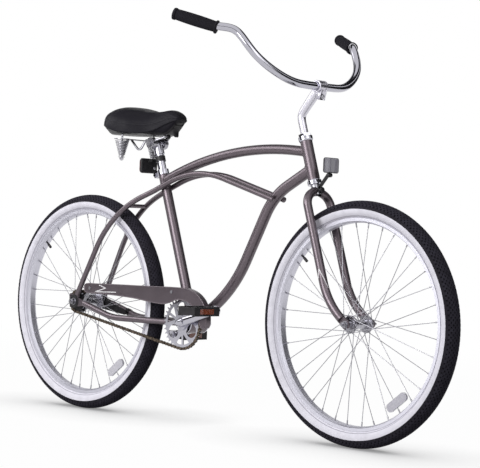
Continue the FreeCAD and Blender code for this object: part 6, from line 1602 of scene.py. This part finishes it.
@dataclass
class Fittings:
    """Small fittings: reflector housings, screw, washers, tube caps and the stays under the saddle's nose.

    Attributes:
        housing_mm: Half width, lower and upper edge of the rear reflector's housing.
        housing_x_mm: Front of the housing and the open edge towards the lens.
        shell_mm: Half width, lower and upper edge of the front reflector's shell.
        shell_x_mm: Back of that shell and its open edge.
        cup_edge_mm: Distance from the closed side and inset at each point of their rounded edge.
        cup_wall_mm: Thickness of their wall and floor.
        lens_mm: Half width, lower and upper edge of the front lens.
        lens_x_mm: Front of that lens and its depth.
        lens_panels: Middle and width in millimetres, and turn in degrees, of each of its panels.
        knuckle_mm: Place in X, half width and place in Z of the knuckle under it.
        knuckle_radii_mm: Radius of the knuckle at its end, behind its edge and in the middle.
        screw_mm: Place in Y and Z, and head radius, of the screw in the rear housing.
        screw_head: Profile of the head as shares of its radius.
        washer_mm: Outer and inner radius, and the inner and outer side in Y, of the washer on each dropout.
        tube_end_mm: Middle of a cantilever tube's front end, and the radius of its cap.
    """

    housing_mm: Point = (32.3, 732.0, 776.6)
    housing_x_mm: Pair = (-292.8, -300.4)
    shell_mm: Point = (31.0, 736.6, 778.4)
    shell_x_mm: Pair = (425.7, 430.2)
    corner_mm: float = 7.0
    cup_edge_mm: tuple[Pair, ...] = ((0.0, 4.0), (0.4, 1.2), (1.3, 0.2), (2.6, 0.0))
    cup_wall_mm: Pair = (1.15, 1.2)
    lens_mm: Point = (31.0, 738.2, 776.8)
    lens_x_mm: Pair = (435.4, 4.0)
    lens_panels: tuple[Point, ...] = ((0.0, 18.4, 0.0), (20.0, 20.4, 15.0), (-20.0, 20.4, -15.0))
    lens_fall_mm: float = 3.9
    lens_edge_mm: float = 1.3
    knuckle_mm: Point = (424.0, 8.2, 731.0)
    knuckle_radii_mm: Point = (4.4, 5.6, 6.4)
    knuckle_edge_mm: float = 1.2
    screw_mm: Point = (20.0, 748.0, 5.0)
    screw_head: tuple[Pair, ...] = (
        (0.0, 0.0), (0.0, 1.0), (0.12, 1.0), (0.34, 0.86), (0.5, 0.6), (0.55, 0.36), (0.55, 0.3), (0.3, 0.26),
        (0.3, 0.0),
    )
    washer_mm: Quad = (21.0, 11.0, 60.1, 61.5)
    tube_end_mm: Quad = (238.4, 23.94, 661.47, 8.2)
    tube_run: Point = (0.9611, 0.0, -0.276)
    cap_rise: float = 0.55
    stay_mm: tuple[Point, ...] = (
        (-217.0, 7.5, 846.5), (-214.0, 8.5, 849.5), (-207.0, 10.5, 857.0), (-197.0, 11.0, 869.0),
        (-186.0, 10.0, 884.0),
    )
    stay_radius_mm: float = 2.6

    def rounded(self, box: Point, inset: float) -> list[Pair]:
        """Draw a rounded rectangle in Y and Z.

        Args:
            box: Half width, lower and upper edge in millimetres.
            inset: How far it is shrunk, in millimetres.

        Returns:
            Its points.
        """
        half, low, high = box
        radius = max(0.5, self.corner_mm - inset)
        middle = (low + high) / 2
        wide, tall = half - inset - radius, (high - low) / 2 - inset - radius
        spots = []
        for quarter, (sy, sz) in enumerate(((1, 1), (-1, 1), (-1, -1), (1, -1))):
            for step in range(7):
                turn = math.radians(90 * quarter + 15 * step)
                y, z = sy * wide + radius * math.cos(turn), sz * tall + radius * math.sin(turn)
                spots.append((y, middle + z))
        return spots

    def cup(self, name: str, box: Point, back: float, rim: float) -> Object:
        """Mould a black cup that holds a reflector's lens.

        Args:
            name: Piece name.
            box: Half width, lower and upper edge in millimetres.
            back: Closed side in X.
            rim: Open side in X, towards the lens.

        Returns:
            The cup.
        """
        way = math.copysign(1.0, rim - back)
        side, floor = self.cup_wall_mm
        walls = [(back + way * along, inset) for along, inset in self.cup_edge_mm]
        walls += [(rim, 0.0), (rim, side), (back + way * floor, side)]
        points = []
        for x, inset in walls:
            points += [(x * MM, y * MM, z * MM) for y, z in self.rounded(box, inset)]
        count = len(points) // len(walls)
        faces = grid_faces(len(walls), count, ring=True)
        faces += [tuple(range(count)), tuple(range(len(points) - count, len(points)))]
        return Coat.RESIN.on(new_object(name, mesh_from(name, points, faces)))

    def lens(self) -> Object:
        """Mould the wide-angle front lens from a flat panel and two that fall back at its sides.

        Returns:
            The lens.
        """
        half, low, high = self.lens_mm
        front, deep = self.lens_x_mm
        panels = []
        for middle, wide, turn in self.lens_panels:
            fall = abs(middle) / half * self.lens_fall_mm
            place = Matrix.Translation((front - deep / 2 - fall, middle, (low + high) / 2))
            turned_panel = Matrix.Rotation(math.radians(turn), 4, "Z")
            panels.append(place @ turned_panel @ Matrix.Diagonal((deep, wide, high - low, 1)))
        return Coat.CLEAR.on(blocks("front_reflector_lens", panels, self.lens_edge_mm, 2, False))

    def knuckle(self) -> Object:
        """Turn the knuckle that carries the front reflector.

        Returns:
            The knuckle.
        """
        x, half, z = self.knuckle_mm
        end, edge, middle = self.knuckle_radii_mm
        profile = [(-half, 0.0), (-half, end), (-half + self.knuckle_edge_mm, edge)]
        profile += [(0.0, middle), *((-along, radius) for along, radius in reversed(profile))]
        return Coat.RESIN.on(turned("front_reflector_knuckle", profile, Vector((x, 0, z)), SIDEWAYS, 32))

    def screw(self) -> Object:
        """Turn the domed screw head with a recess that holds the rear housing.

        Returns:
            The screw head.
        """
        y, z, radius = self.screw_mm
        profile = [(along * radius, share * radius) for along, share in self.screw_head]
        place = Vector((self.housing_x_mm[0], y, z))
        return Coat.STEEL.on(turned("rear_reflector_screw", profile, place, Vector((1, 0, 0)), 24))

    def washer(self, side: Side) -> Object:
        """Turn the washer under an axle nut.

        Args:
            side: Side that it is on.

        Returns:
            The washer.
        """
        outer, inner, near, far = self.washer_mm
        profile = [(near, inner), (near, outer - 0.4), (near + 0.4, outer), (far - 0.4, outer)]
        profile += [(far, outer - 0.6), (far, inner)]
        place, run = Vector(REAR_AXLE_MM), SIDEWAYS * side
        return Coat.BLACK_STEEL.on(turned(side.named("axle_washer"), profile, place, run, closed=True))

    def tube_cap(self, side: Side) -> Object:
        """Turn the domed cap that closes the front end of a cantilever tube.

        Args:
            side: Side that it is on.

        Returns:
            The painted cap.
        """
        x, y, z, radius = self.tube_end_mm
        rise = self.cap_rise * radius
        profile = [(-0.5, 0.0), (-0.5, radius - 0.4), (0.0, radius)]
        for turn in (20.0, 40.0, 60.0, 78.0):
            angle = math.radians(turn)
            profile.append((rise * math.sin(angle), radius * math.cos(angle)))
        profile.append((rise, 0.0))
        place = Vector((x, side * y, z))
        return Coat.FRAME.on(turned(side.named("cantilever_cap"), profile, place, Vector(self.tube_run), 32))

    def nose_stay(self, side: Side) -> Object:
        """Bend one wire of the stay that runs from the pivot up into the nose.

        Args:
            side: Side that it is on.

        Returns:
            The wire.
        """
        points = [Vector((x, side * y, z)) * MM for x, y, z in self.stay_mm]
        radii = [self.stay_radius_mm * MM] * len(points)
        return swept(side.named("nose_stay"), points, radii, Coat.STEEL, steps=40, sides=12)

    def build(self, nodes: Nodes) -> None:
        """Make the fittings.

        Args:
            nodes: CAD objects by node name; not used.
        """
        housing = self.cup("rear_reflector_housing", self.housing_mm, *self.housing_x_mm)
        shell = self.cup("front_reflector_shell", self.shell_mm, *self.shell_x_mm)
        lens = self.lens()
        pieces = [(housing, "seat_post", "black_resin"), (shell, "fork", "black_resin")]
        pieces += [(self.knuckle(), "fork", "black_resin"), (lens, "fork", "clear_lens")]
        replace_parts(lens, "front_reflector")
        pieces += [(self.screw(), "seat_post", "plated_steel")]
        for side in Side:
            pieces += [(self.washer(side), "frame", "black_steel")]
            pieces += [(self.nose_stay(side), "saddle_top", "plated_steel")]
            pieces += [(self.tube_cap(side), "frame", "frame_paint")]
        for piece, body, slot in pieces:
            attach(piece, body)
        LOG.info("fittings: %d pieces", len(pieces))


# Trim: printed stripes and weld beads


@dataclass
class Stripe:
    """A printed line that lies on a surface.

    Attributes:
        name: Piece name.
        body: Body that it rides on.
        width_mm: Width of the line.
        proud_mm: Height of the ink, drawn thicker than real so that it clears the facets.
    """

    name: str
    body: str
    width_mm: float = 2.6
    proud_mm: float = 0.25

    def print_line(self, base: Object, line: list[tuple[Vector, Vector]]) -> None:
        """Print a line given by points off the surface and the directions back onto it.

        Args:
            base: Object that it is printed on.
            line: Start and direction of each ray onto the surface.
        """
        mesh = base.data
        skin = BVHTree.FromPolygons([v.co for v in mesh.vertices], [tuple(p.vertices) for p in mesh.polygons])
        spots = []
        for start, aim in line:
            hit = skin.ray_cast(start, aim.normalized())
            if hit[0] is not None:
                spots.append((hit[0], -aim.normalized()))
        points = []
        for k, (spot, normal) in enumerate(spots):
            ahead = spots[min(k + 1, len(spots) - 1)][0] - spots[max(k - 1, 0)][0]
            across = ahead.cross(normal).normalized() * self.width_mm / 2 * MM
            rise = normal * self.proud_mm * MM
            points += [spot - across - rise, spot - across + rise, spot + across + rise, spot + across - rise]
        last = len(points) - 4
        faces = grid_faces(len(spots), 4, ring=True)
        faces += [(0, 1, 2, 3), (last + 3, last + 2, last + 1, last)]
        piece = new_object(self.name, mesh_from(self.name, points, faces, smooth=False))
        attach(Coat.STRIPE.on(piece), self.body)


def between(corners: list[Vector], step: float) -> list[Vector]:
    """Divide a line through corners into short steps.

    Args:
        corners: Corner points.
        step: Longest step in metres.

    Returns:
        Points along the line, with the corners among them.
    """
    points = [corners[0]]
    for start, end in zip(corners, corners[1:]):
        count = max(1, math.ceil((end - start).length / step))
        points += [start.lerp(end, k / count) for k in range(1, count + 1)]
    return points


@dataclass
class Stripes:
    """White chevrons printed on the chain guard and round the fork blades.

    Attributes:
        guard_chevron_mm: Corners of the guard's chevron, in X and Z.
        ray_mm: Distance from which a line is printed, on the guard and from a blade's axis.
        blade_bend_mm: Height where a blade starts to bend forward, and the radius of that bend.
        zigzag: Angle round the blade in degrees, from its outer side, and share of the height, at each corner.
        zigzag_mm: Height of the zigzag's foot along the blade, and its own height.
    """

    guard_chevron_mm: tuple[Pair, ...] = ((-430.0, 388.0), (-398.0, 380.0), (-447.0, 367.0), (-352.0, 370.0))
    ray_mm: Pair = (20.0, 40.0)
    rake_mm: float = 50.0
    blade_side_mm: float = 48.0
    blade_bend_mm: Pair = (133.0, 190.0)
    zigzag: tuple[Pair, ...] = ((-100.0, 0.55), (-20.0, 0.0), (15.0, 1.0), (62.0, -0.4), (88.0, -1.4))
    zigzag_mm: Pair = (143.0, 24.0)
    step_mm: float = 3.0
    steps: int = 16

    def guard(self) -> None:
        """Print the chevron at the tail of the guard."""
        off = GUARD_FACE_MM - self.ray_mm[0]
        corners = [Vector((x, off, z)) * MM for x, z in self.guard_chevron_mm]
        line = [(spot, SIDEWAYS) for spot in between(corners, self.step_mm * MM)]
        Stripe("guard_chevron", "frame").print_line(bpy.data.objects["chain_guard_pressed"], line)

    def blade(self, nodes: Nodes, side: Side) -> None:
        """Print a zigzag round one fork blade, with a tail down its front.

        Args:
            nodes: CAD objects by node name.
            side: Side that it is on.
        """
        upward = Vector(STEER_RUN)
        forward = Vector((upward.z, 0, -upward.x))
        outward = SIDEWAYS * side
        foot = Vector(FRONT_AXLE_MM) + outward * self.blade_side_mm - forward * self.rake_mm
        bend, radius = self.blade_bend_mm
        base, tall = self.zigzag_mm
        line = []
        for (a, low), (b, high) in zip(self.zigzag, self.zigzag[1:]):
            for share in (k / self.steps for k in range(self.steps)):
                angle = math.radians(a + (b - a) * share)
                height = base + tall * (low + (high - low) * share)
                lean = max(0.0, bend - height) ** 2 / (2 * radius)
                out = forward * math.sin(angle) + outward * math.cos(angle)
                start = foot + upward * height + forward * lean + out * self.ray_mm[1]
                line.append((start * MM, -out))
        Stripe(side.named("fork_chevron"), "fork").print_line(nodes[side.named("fork_blade")], line)

    def build(self, nodes: Nodes) -> None:
        """Print all the stripes.

        Args:
            nodes: CAD objects by node name.
        """
        self.guard()
        for side in Side:
            self.blade(nodes, side)
        LOG.info("stripes: guard and fork chevrons")


@dataclass
class Welds:
    """Beads of weld where the frame tubes meet, painted over.

    Attributes:
        head_mm: Point on the head tube's axis.
        bracket_mm: Middle of the bottom bracket, where the seat tube's axis starts.
        reach_mm: How near the other tube's wall a point has to lie.
        fewest: Points below which there is no joint.
        bins: Steps round a joint.
    """

    bead_mm: float = 2.4
    pitch_mm: float = 2.2
    head_mm: Point = (499.4, 0.0, 316.6)
    head_radius_mm: float = 17.0
    bracket_mm: Point = (-80.5, 0.0, 293.0)
    seat_run: Point = (-0.3256, 0.0, 0.9455)
    seat_radius_mm: float = 15.0
    shell_radius_mm: float = 28.5
    reach_mm: float = 0.12
    fewest: int = 8
    bins: int = 40

    def loop(self, node: Object, point: Vector, along: Vector, radius_mm: float) -> list[Vector]:
        """Find the line where a tube's end lies on the tube that it is welded to.

        Args:
            node: CAD object of the tube.
            point: Point on the axis of the other tube.
            along: Direction of that axis.
            radius_mm: Radius of the other tube.

        Returns:
            Points round the line, in order, on the outside of the tube.
        """
        along = along.normalized()
        spots = []
        for vertex in node.data.vertices:
            off = vertex.co - point
            if abs((off - along * off.dot(along)).length - radius_mm * MM) < self.reach_mm * MM:
                spots.append(vertex.co.copy())
        if len(spots) < self.fewest:
            return []
        middle = sum(spots, Vector()) / len(spots)
        out = middle - point
        out = (out - along * out.dot(along)).normalized()
        across = along.cross(out)
        kept: dict[int, tuple[float, Vector]] = {}
        for spot in spots:
            rise, side = (spot - middle).dot(along), (spot - middle).dot(across)
            key = int((math.atan2(rise, side) + math.pi) / (2 * math.pi) * self.bins)
            far = math.hypot(rise, side)
            if key not in kept or far > kept[key][0]:
                kept[key] = (far, spot)
        return [kept[key][1] for key in sorted(kept)]

    def bead(self, name: str, loops: list[list[Vector]]) -> Object:
        """Lay overlapping drops along closed lines.

        Args:
            name: Piece name.
            loops: Closed lines of points.

        Returns:
            The beads as one piece.
        """
        inputs = {"Bead radius": self.bead_mm * MM, "Bead pitch": self.pitch_mm * MM}
        tree = GeometryTree("weld_bead_tree", inputs)
        links = {"Curve": tree.source, "Length": tree.value("Bead pitch")}
        spots = tree.add("GeometryNodeResampleCurve", links, mode="LENGTH")
        drop = tree.add("GeometryNodeMeshIcoSphere", {"Radius": tree.value("Bead radius"), "Subdivisions": 2})
        links = {"Points": spots, "Instance": drop}
        drops = tree.add("GeometryNodeInstanceOnPoints", links)
        host = drawn(name + "_line", loops, closed=True)
        return tree.piece(name, drops, Coat.FRAME, smooth=True, base=host)

    def build(self, nodes: Nodes) -> None:
        """Lay the beads of every joint.

        Args:
            nodes: CAD objects by node name.
        """
        shell_tubes = ("down_tube", "seat_tube", "chain_stay_right", "chain_stay_left")
        joints = (
            (("top_tube", "down_tube"), self.head_mm, STEER_RUN, self.head_radius_mm),
            (("top_tube",), self.bracket_mm, self.seat_run, self.seat_radius_mm),
            (shell_tubes, self.bracket_mm, SIDEWAYS, self.shell_radius_mm),
        )
        loops = []
        for tubes, place, run, radius in joints:
            for tube in tubes:
                loops.append(self.loop(nodes[tube], Vector(place) * MM, Vector(run), radius))
        loops = [loop for loop in loops if loop]
        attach(self.bead("weld_beads", loops), "frame")
        LOG.info("welds: %d beads", len(loops))


# Frame, fork and drive


@dataclass
class Dressing:
    """A sub-assembly whose CAD nodes keep their shape and get their finish.

    Attributes:
        name: What it is called in the log.
        coats: Finish of each of its nodes.
    """

    name: str
    coats: dict[str, Coat]

    def build(self, nodes: Nodes) -> None:
        """Dress the nodes.

        Args:
            nodes: CAD objects by node name.
        """
        for node, coat in self.coats.items():
            coat.on(nodes[node])
        LOG.info("%s: %d nodes dressed", self.name, len(self.coats))


FRAME_NODES = (
    "head_tube", "top_tube", "down_tube", "seat_tube", "bottom_bracket_shell", "cantilever_tube_right",
    "cantilever_tube_left", "chain_stay_right", "chain_stay_left", "stay_bridges",
)


# Studio


@dataclass
class Studio:
    """Camera, lamps, world and floor, set as for a catalogue photograph.

    Attributes:
        place: Place of the camera in metres.
        white_m: Distances from the bicycle where the floor starts to turn white and is white.
        floor_glow: Share of white in the floor near the bicycle.
        contact_glow: The same in the corner between the floor and a tyre, lowered there as a painted contact
            shadow.
        contact_from: Openness of that corner at which its painted shadow is deepest.
        lamps: Name, place, width and height in metres, and watts of each soft box.
        flag_spans: First and last direction in degrees, and lower and upper edge in metres, of each flag.
    """

    place: Point = (3.5167, -3.5677, 0.5741)
    right: Point = (0.7211, 0.6917, 0.0389)
    up: Point = (-0.0300, -0.0250, 0.9992)
    lens_mm: float = 129.7
    sensor_mm: float = 36.0
    floor_m: float = 40.0
    floor_colour: str = "#929296"
    white_m: Pair = (1.6, 4.5)
    floor_glow: float = 0.985
    contact_glow: float = 0.25
    contact_m: float = 0.3
    contact_from: float = 0.45
    sky: float = 0.26
    aim: Point = (0.0, 0.0, 0.5)
    lamps: tuple[tuple[str, Point, Pair, float], ...] = (
        ("key_strip", (-0.1, -3.2, 1.7), (1.6, 2.4), 84.0),
        ("left_box", (-2.3, -1.9, 2.0), (2.0, 1.6), 34.0),
        ("fill_box", (3.2, -0.8, 1.9), (2.0, 2.0), 22.0),
    )
    flag_colour: str = "#3a3a3e"
    flag_ring_m: float = 5.0
    flag_spans: tuple[Quad, ...] = (
        (-152.0, -116.0, 0.1, 3.4), (-20.0, 100.0, 0.1, 3.4), (150.0, 175.0, 0.1, 3.4),
        (20.0, 200.0, 4.2, 10.0), (-88.0, -40.0, 1.3, 2.1),
    )
    flag_steps: int = 12

    def camera(self) -> None:
        """Stand the camera where the photograph was taken."""
        lens = bpy.data.cameras.new("camera")
        lens.sensor_fit = "HORIZONTAL"
        lens.sensor_width = self.sensor_mm
        lens.lens = self.lens_mm
        lens.clip_end = 5 * self.floor_m
        across = Vector(self.right).normalized()
        back = across.cross(Vector(self.up)).normalized()
        rise = back.cross(across)
        turn = Matrix((across, rise, back)).transposed().to_4x4()
        stand = new_object("camera", lens)
        stand.matrix_world = Matrix.Translation(self.place) @ turn
        bpy.context.scene.camera = stand

    def lamp(self, name: str, place: Point, size: Pair, power: float) -> None:
        """Hang a soft box.

        Args:
            name: Lamp name.
            place: Its place in metres.
            size: Width and height in metres.
            power: Watts.
        """
        data = bpy.data.lights.new(name, "AREA")
        data.shape = "RECTANGLE"
        data.size, data.size_y = size
        data.energy = power
        box = new_object(name, data)
        box.location = place
        box.rotation_euler = (Vector(self.aim) - Vector(place)).to_track_quat("-Z", "Y").to_euler()

    def seen_rays(self, tree: Tree) -> Any:
        """Find the rays that show the background, by sight, mirror or glass.

        Args:
            tree: World or material tree.

        Returns:
            The node that gives 1 for such a ray.
        """
        path = add_node(tree, "ShaderNodeLightPath")
        links = {0: path.outputs["Is Camera Ray"], 1: path.outputs["Is Glossy Ray"]}
        both = add_node(tree, "ShaderNodeMath", links, operation="MAXIMUM")
        links = {0: both, 1: path.outputs["Is Transmission Ray"]}
        return add_node(tree, "ShaderNodeMath", links, operation="MAXIMUM")

    def world(self) -> None:
        """Light the scene softly from all round, with a white backdrop."""
        world = bpy.data.worlds.new("studio")
        bpy.context.scene.world = world
        world.use_nodes = True
        tree = world.node_tree
        tree.nodes.clear()
        links = {"Value": self.seen_rays(tree), "To Min": self.sky, "To Max": 1.0}
        level = add_node(tree, "ShaderNodeMapRange", links)
        links = {"Color": (1, 1, 1, 1), "Strength": level}
        sky = add_node(tree, "ShaderNodeBackground", links)
        add_node(tree, "ShaderNodeOutputWorld", {"Surface": sky})

    def paper(self) -> bpy.types.Material:
        """Make the floor's paper, whose glow is dimmed near the tyres as a painted contact shadow, and which
        turns white farther out.

        Returns:
            The material.
        """
        paper = bpy.data.materials.new("studio_paper")
        paper.use_nodes = True
        tree = paper.node_tree
        tree.nodes.clear()
        # Ambient occlusion dims the floor's glow near the tyres: a painted contact shadow.
        near = add_node(tree, "ShaderNodeAmbientOcclusion", {"Distance": self.contact_m})
        links = {
            "Value": near.outputs["AO"],
            "From Min": self.contact_from,
            "To Min": self.contact_glow,
            "To Max": self.floor_glow,
        }
        painted_contact_shadow = add_node(tree, "ShaderNodeMapRange", links)
        spot = add_node(tree, "ShaderNodeTexCoord").outputs["Object"]
        reach = add_node(tree, "ShaderNodeVectorMath", {0: spot}, operation="LENGTH")
        links = {
            "Value": reach.outputs["Value"],
            "From Min": self.white_m[0],
            "From Max": self.white_m[1],
            "To Min": painted_contact_shadow,
            "To Max": 1.0,
        }
        fade = add_node(tree, "ShaderNodeMapRange", links, interpolation_type="SMOOTHSTEP")
        links = {0: fade, 1: self.seen_rays(tree)}
        share = add_node(tree, "ShaderNodeMath", links, operation="MULTIPLY")
        matte = add_node(tree, "ShaderNodeBsdfDiffuse", {"Color": linear(self.floor_colour)})
        glow = add_node(tree, "ShaderNodeEmission", {"Color": (1, 1, 1, 1)})
        links = {0: share, 1: matte, 2: glow}
        mixed = add_node(tree, "ShaderNodeMixShader", links)
        add_node(tree, "ShaderNodeOutputMaterial", {"Surface": mixed})
        return paper

    def floor(self) -> None:
        """Lay a white floor that takes the bicycle's shadow, with a painted contact shadow under the tyres, and
        fades into the backdrop.
        """
        half = self.floor_m
        corners = [(-half, -half, 0), (half, -half, 0), (half, half, 0), (-half, half, 0)]
        floor = new_object("floor", mesh_from("floor", corners, [(0, 1, 2, 3)], smooth=False))
        floor.data.materials.append(self.paper())

    def flags(self) -> None:
        """Stand curved black flags round the set, out of sight, that put dark streaks into the chrome."""
        cloth = Finish("black_flag_cloth", self.flag_colour, 0.9, gloss=0.1)
        for number, (first, last, low, high) in enumerate(self.flag_spans):
            points = []
            for step in range(self.flag_steps + 1):
                turn = math.radians(first + (last - first) * step / self.flag_steps)
                x, y = self.flag_ring_m * math.cos(turn), self.flag_ring_m * math.sin(turn)
                points += [(x, y, low), (x, y, high)]
            name = f"black_flag_{number}"
            flag = new_object(name, mesh_from(name, points, grid_faces(self.flag_steps + 1, 2)))
            cloth.dress(flag)
            flag.visible_camera = flag.visible_diffuse = flag.visible_shadow = False

    def build(self) -> None:
        """Set up the camera, the light and the floor."""
        bpy.context.scene.view_settings.view_transform = "Standard"
        self.camera()
        self.world()
        self.floor()
        self.flags()
        for lamp in self.lamps:
            self.lamp(*lamp)
        LOG.info("studio: camera, %d soft boxes, white floor", len(self.lamps))


def main() -> None:
    """Build the bicycle's looks and the studio."""
    logging.basicConfig(level=logging.INFO, format="%(name)s: %(message)s")
    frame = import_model()
    nodes = frame["nodes"]
    wheels = (
        Wheel("front", Vector(FRONT_AXLE_MM) * MM, Coat.FRONT_RIM, "front_hub"),
        Wheel("rear", Vector(REAR_AXLE_MM) * MM, Coat.REAR_RIM, "rear_hub_shell"),
    )
    dressings = (
        Dressing("frame", {
            **dict.fromkeys(FRAME_NODES, Coat.FRAME),
            "bearings": Coat.CHROME, "seat_collar": Coat.CHROME, "chain_guard_mounts": Coat.STEEL,
            "rear_axle": Coat.STEEL, "brake_arm": Coat.BLACK_STEEL,
        }),
        Dressing("fork", {
            "fork_blade_right": Coat.FRAME, "fork_blade_left": Coat.FRAME, "steerer_tube": Coat.STEEL,
            "headset_races": Coat.CHROME, "front_axle": Coat.STEEL, "front_reflector_bracket": Coat.RESIN,
        }),
        Dressing("drive", {
            "crank": Coat.CHROME, "chainring": Coat.CHROME, "crank_cones": Coat.STEEL,
            "pedal_spindles": Coat.STEEL, "driver_sprocket": Coat.BLACK_STEEL, "chain": Coat.CHAIN,
            "pedal_right": Coat.RESIN, "pedal_left": Coat.RESIN,
            "pedal_reflectors_right": Coat.AMBER, "pedal_reflectors_left": Coat.AMBER,
        }),
        Dressing("post", {
            "seat_post": Coat.CHROME, "rear_reflector_bracket": Coat.RESIN, "rear_reflector": Coat.RED,
        }),
    )
    for assembly in (*wheels, Saddle(), Cockpit(), *dressings, Guard(), Fittings(), Stripes(), Welds()):
        assembly.build(nodes)
    Studio().build()


if __name__ == "__main__":
    main()
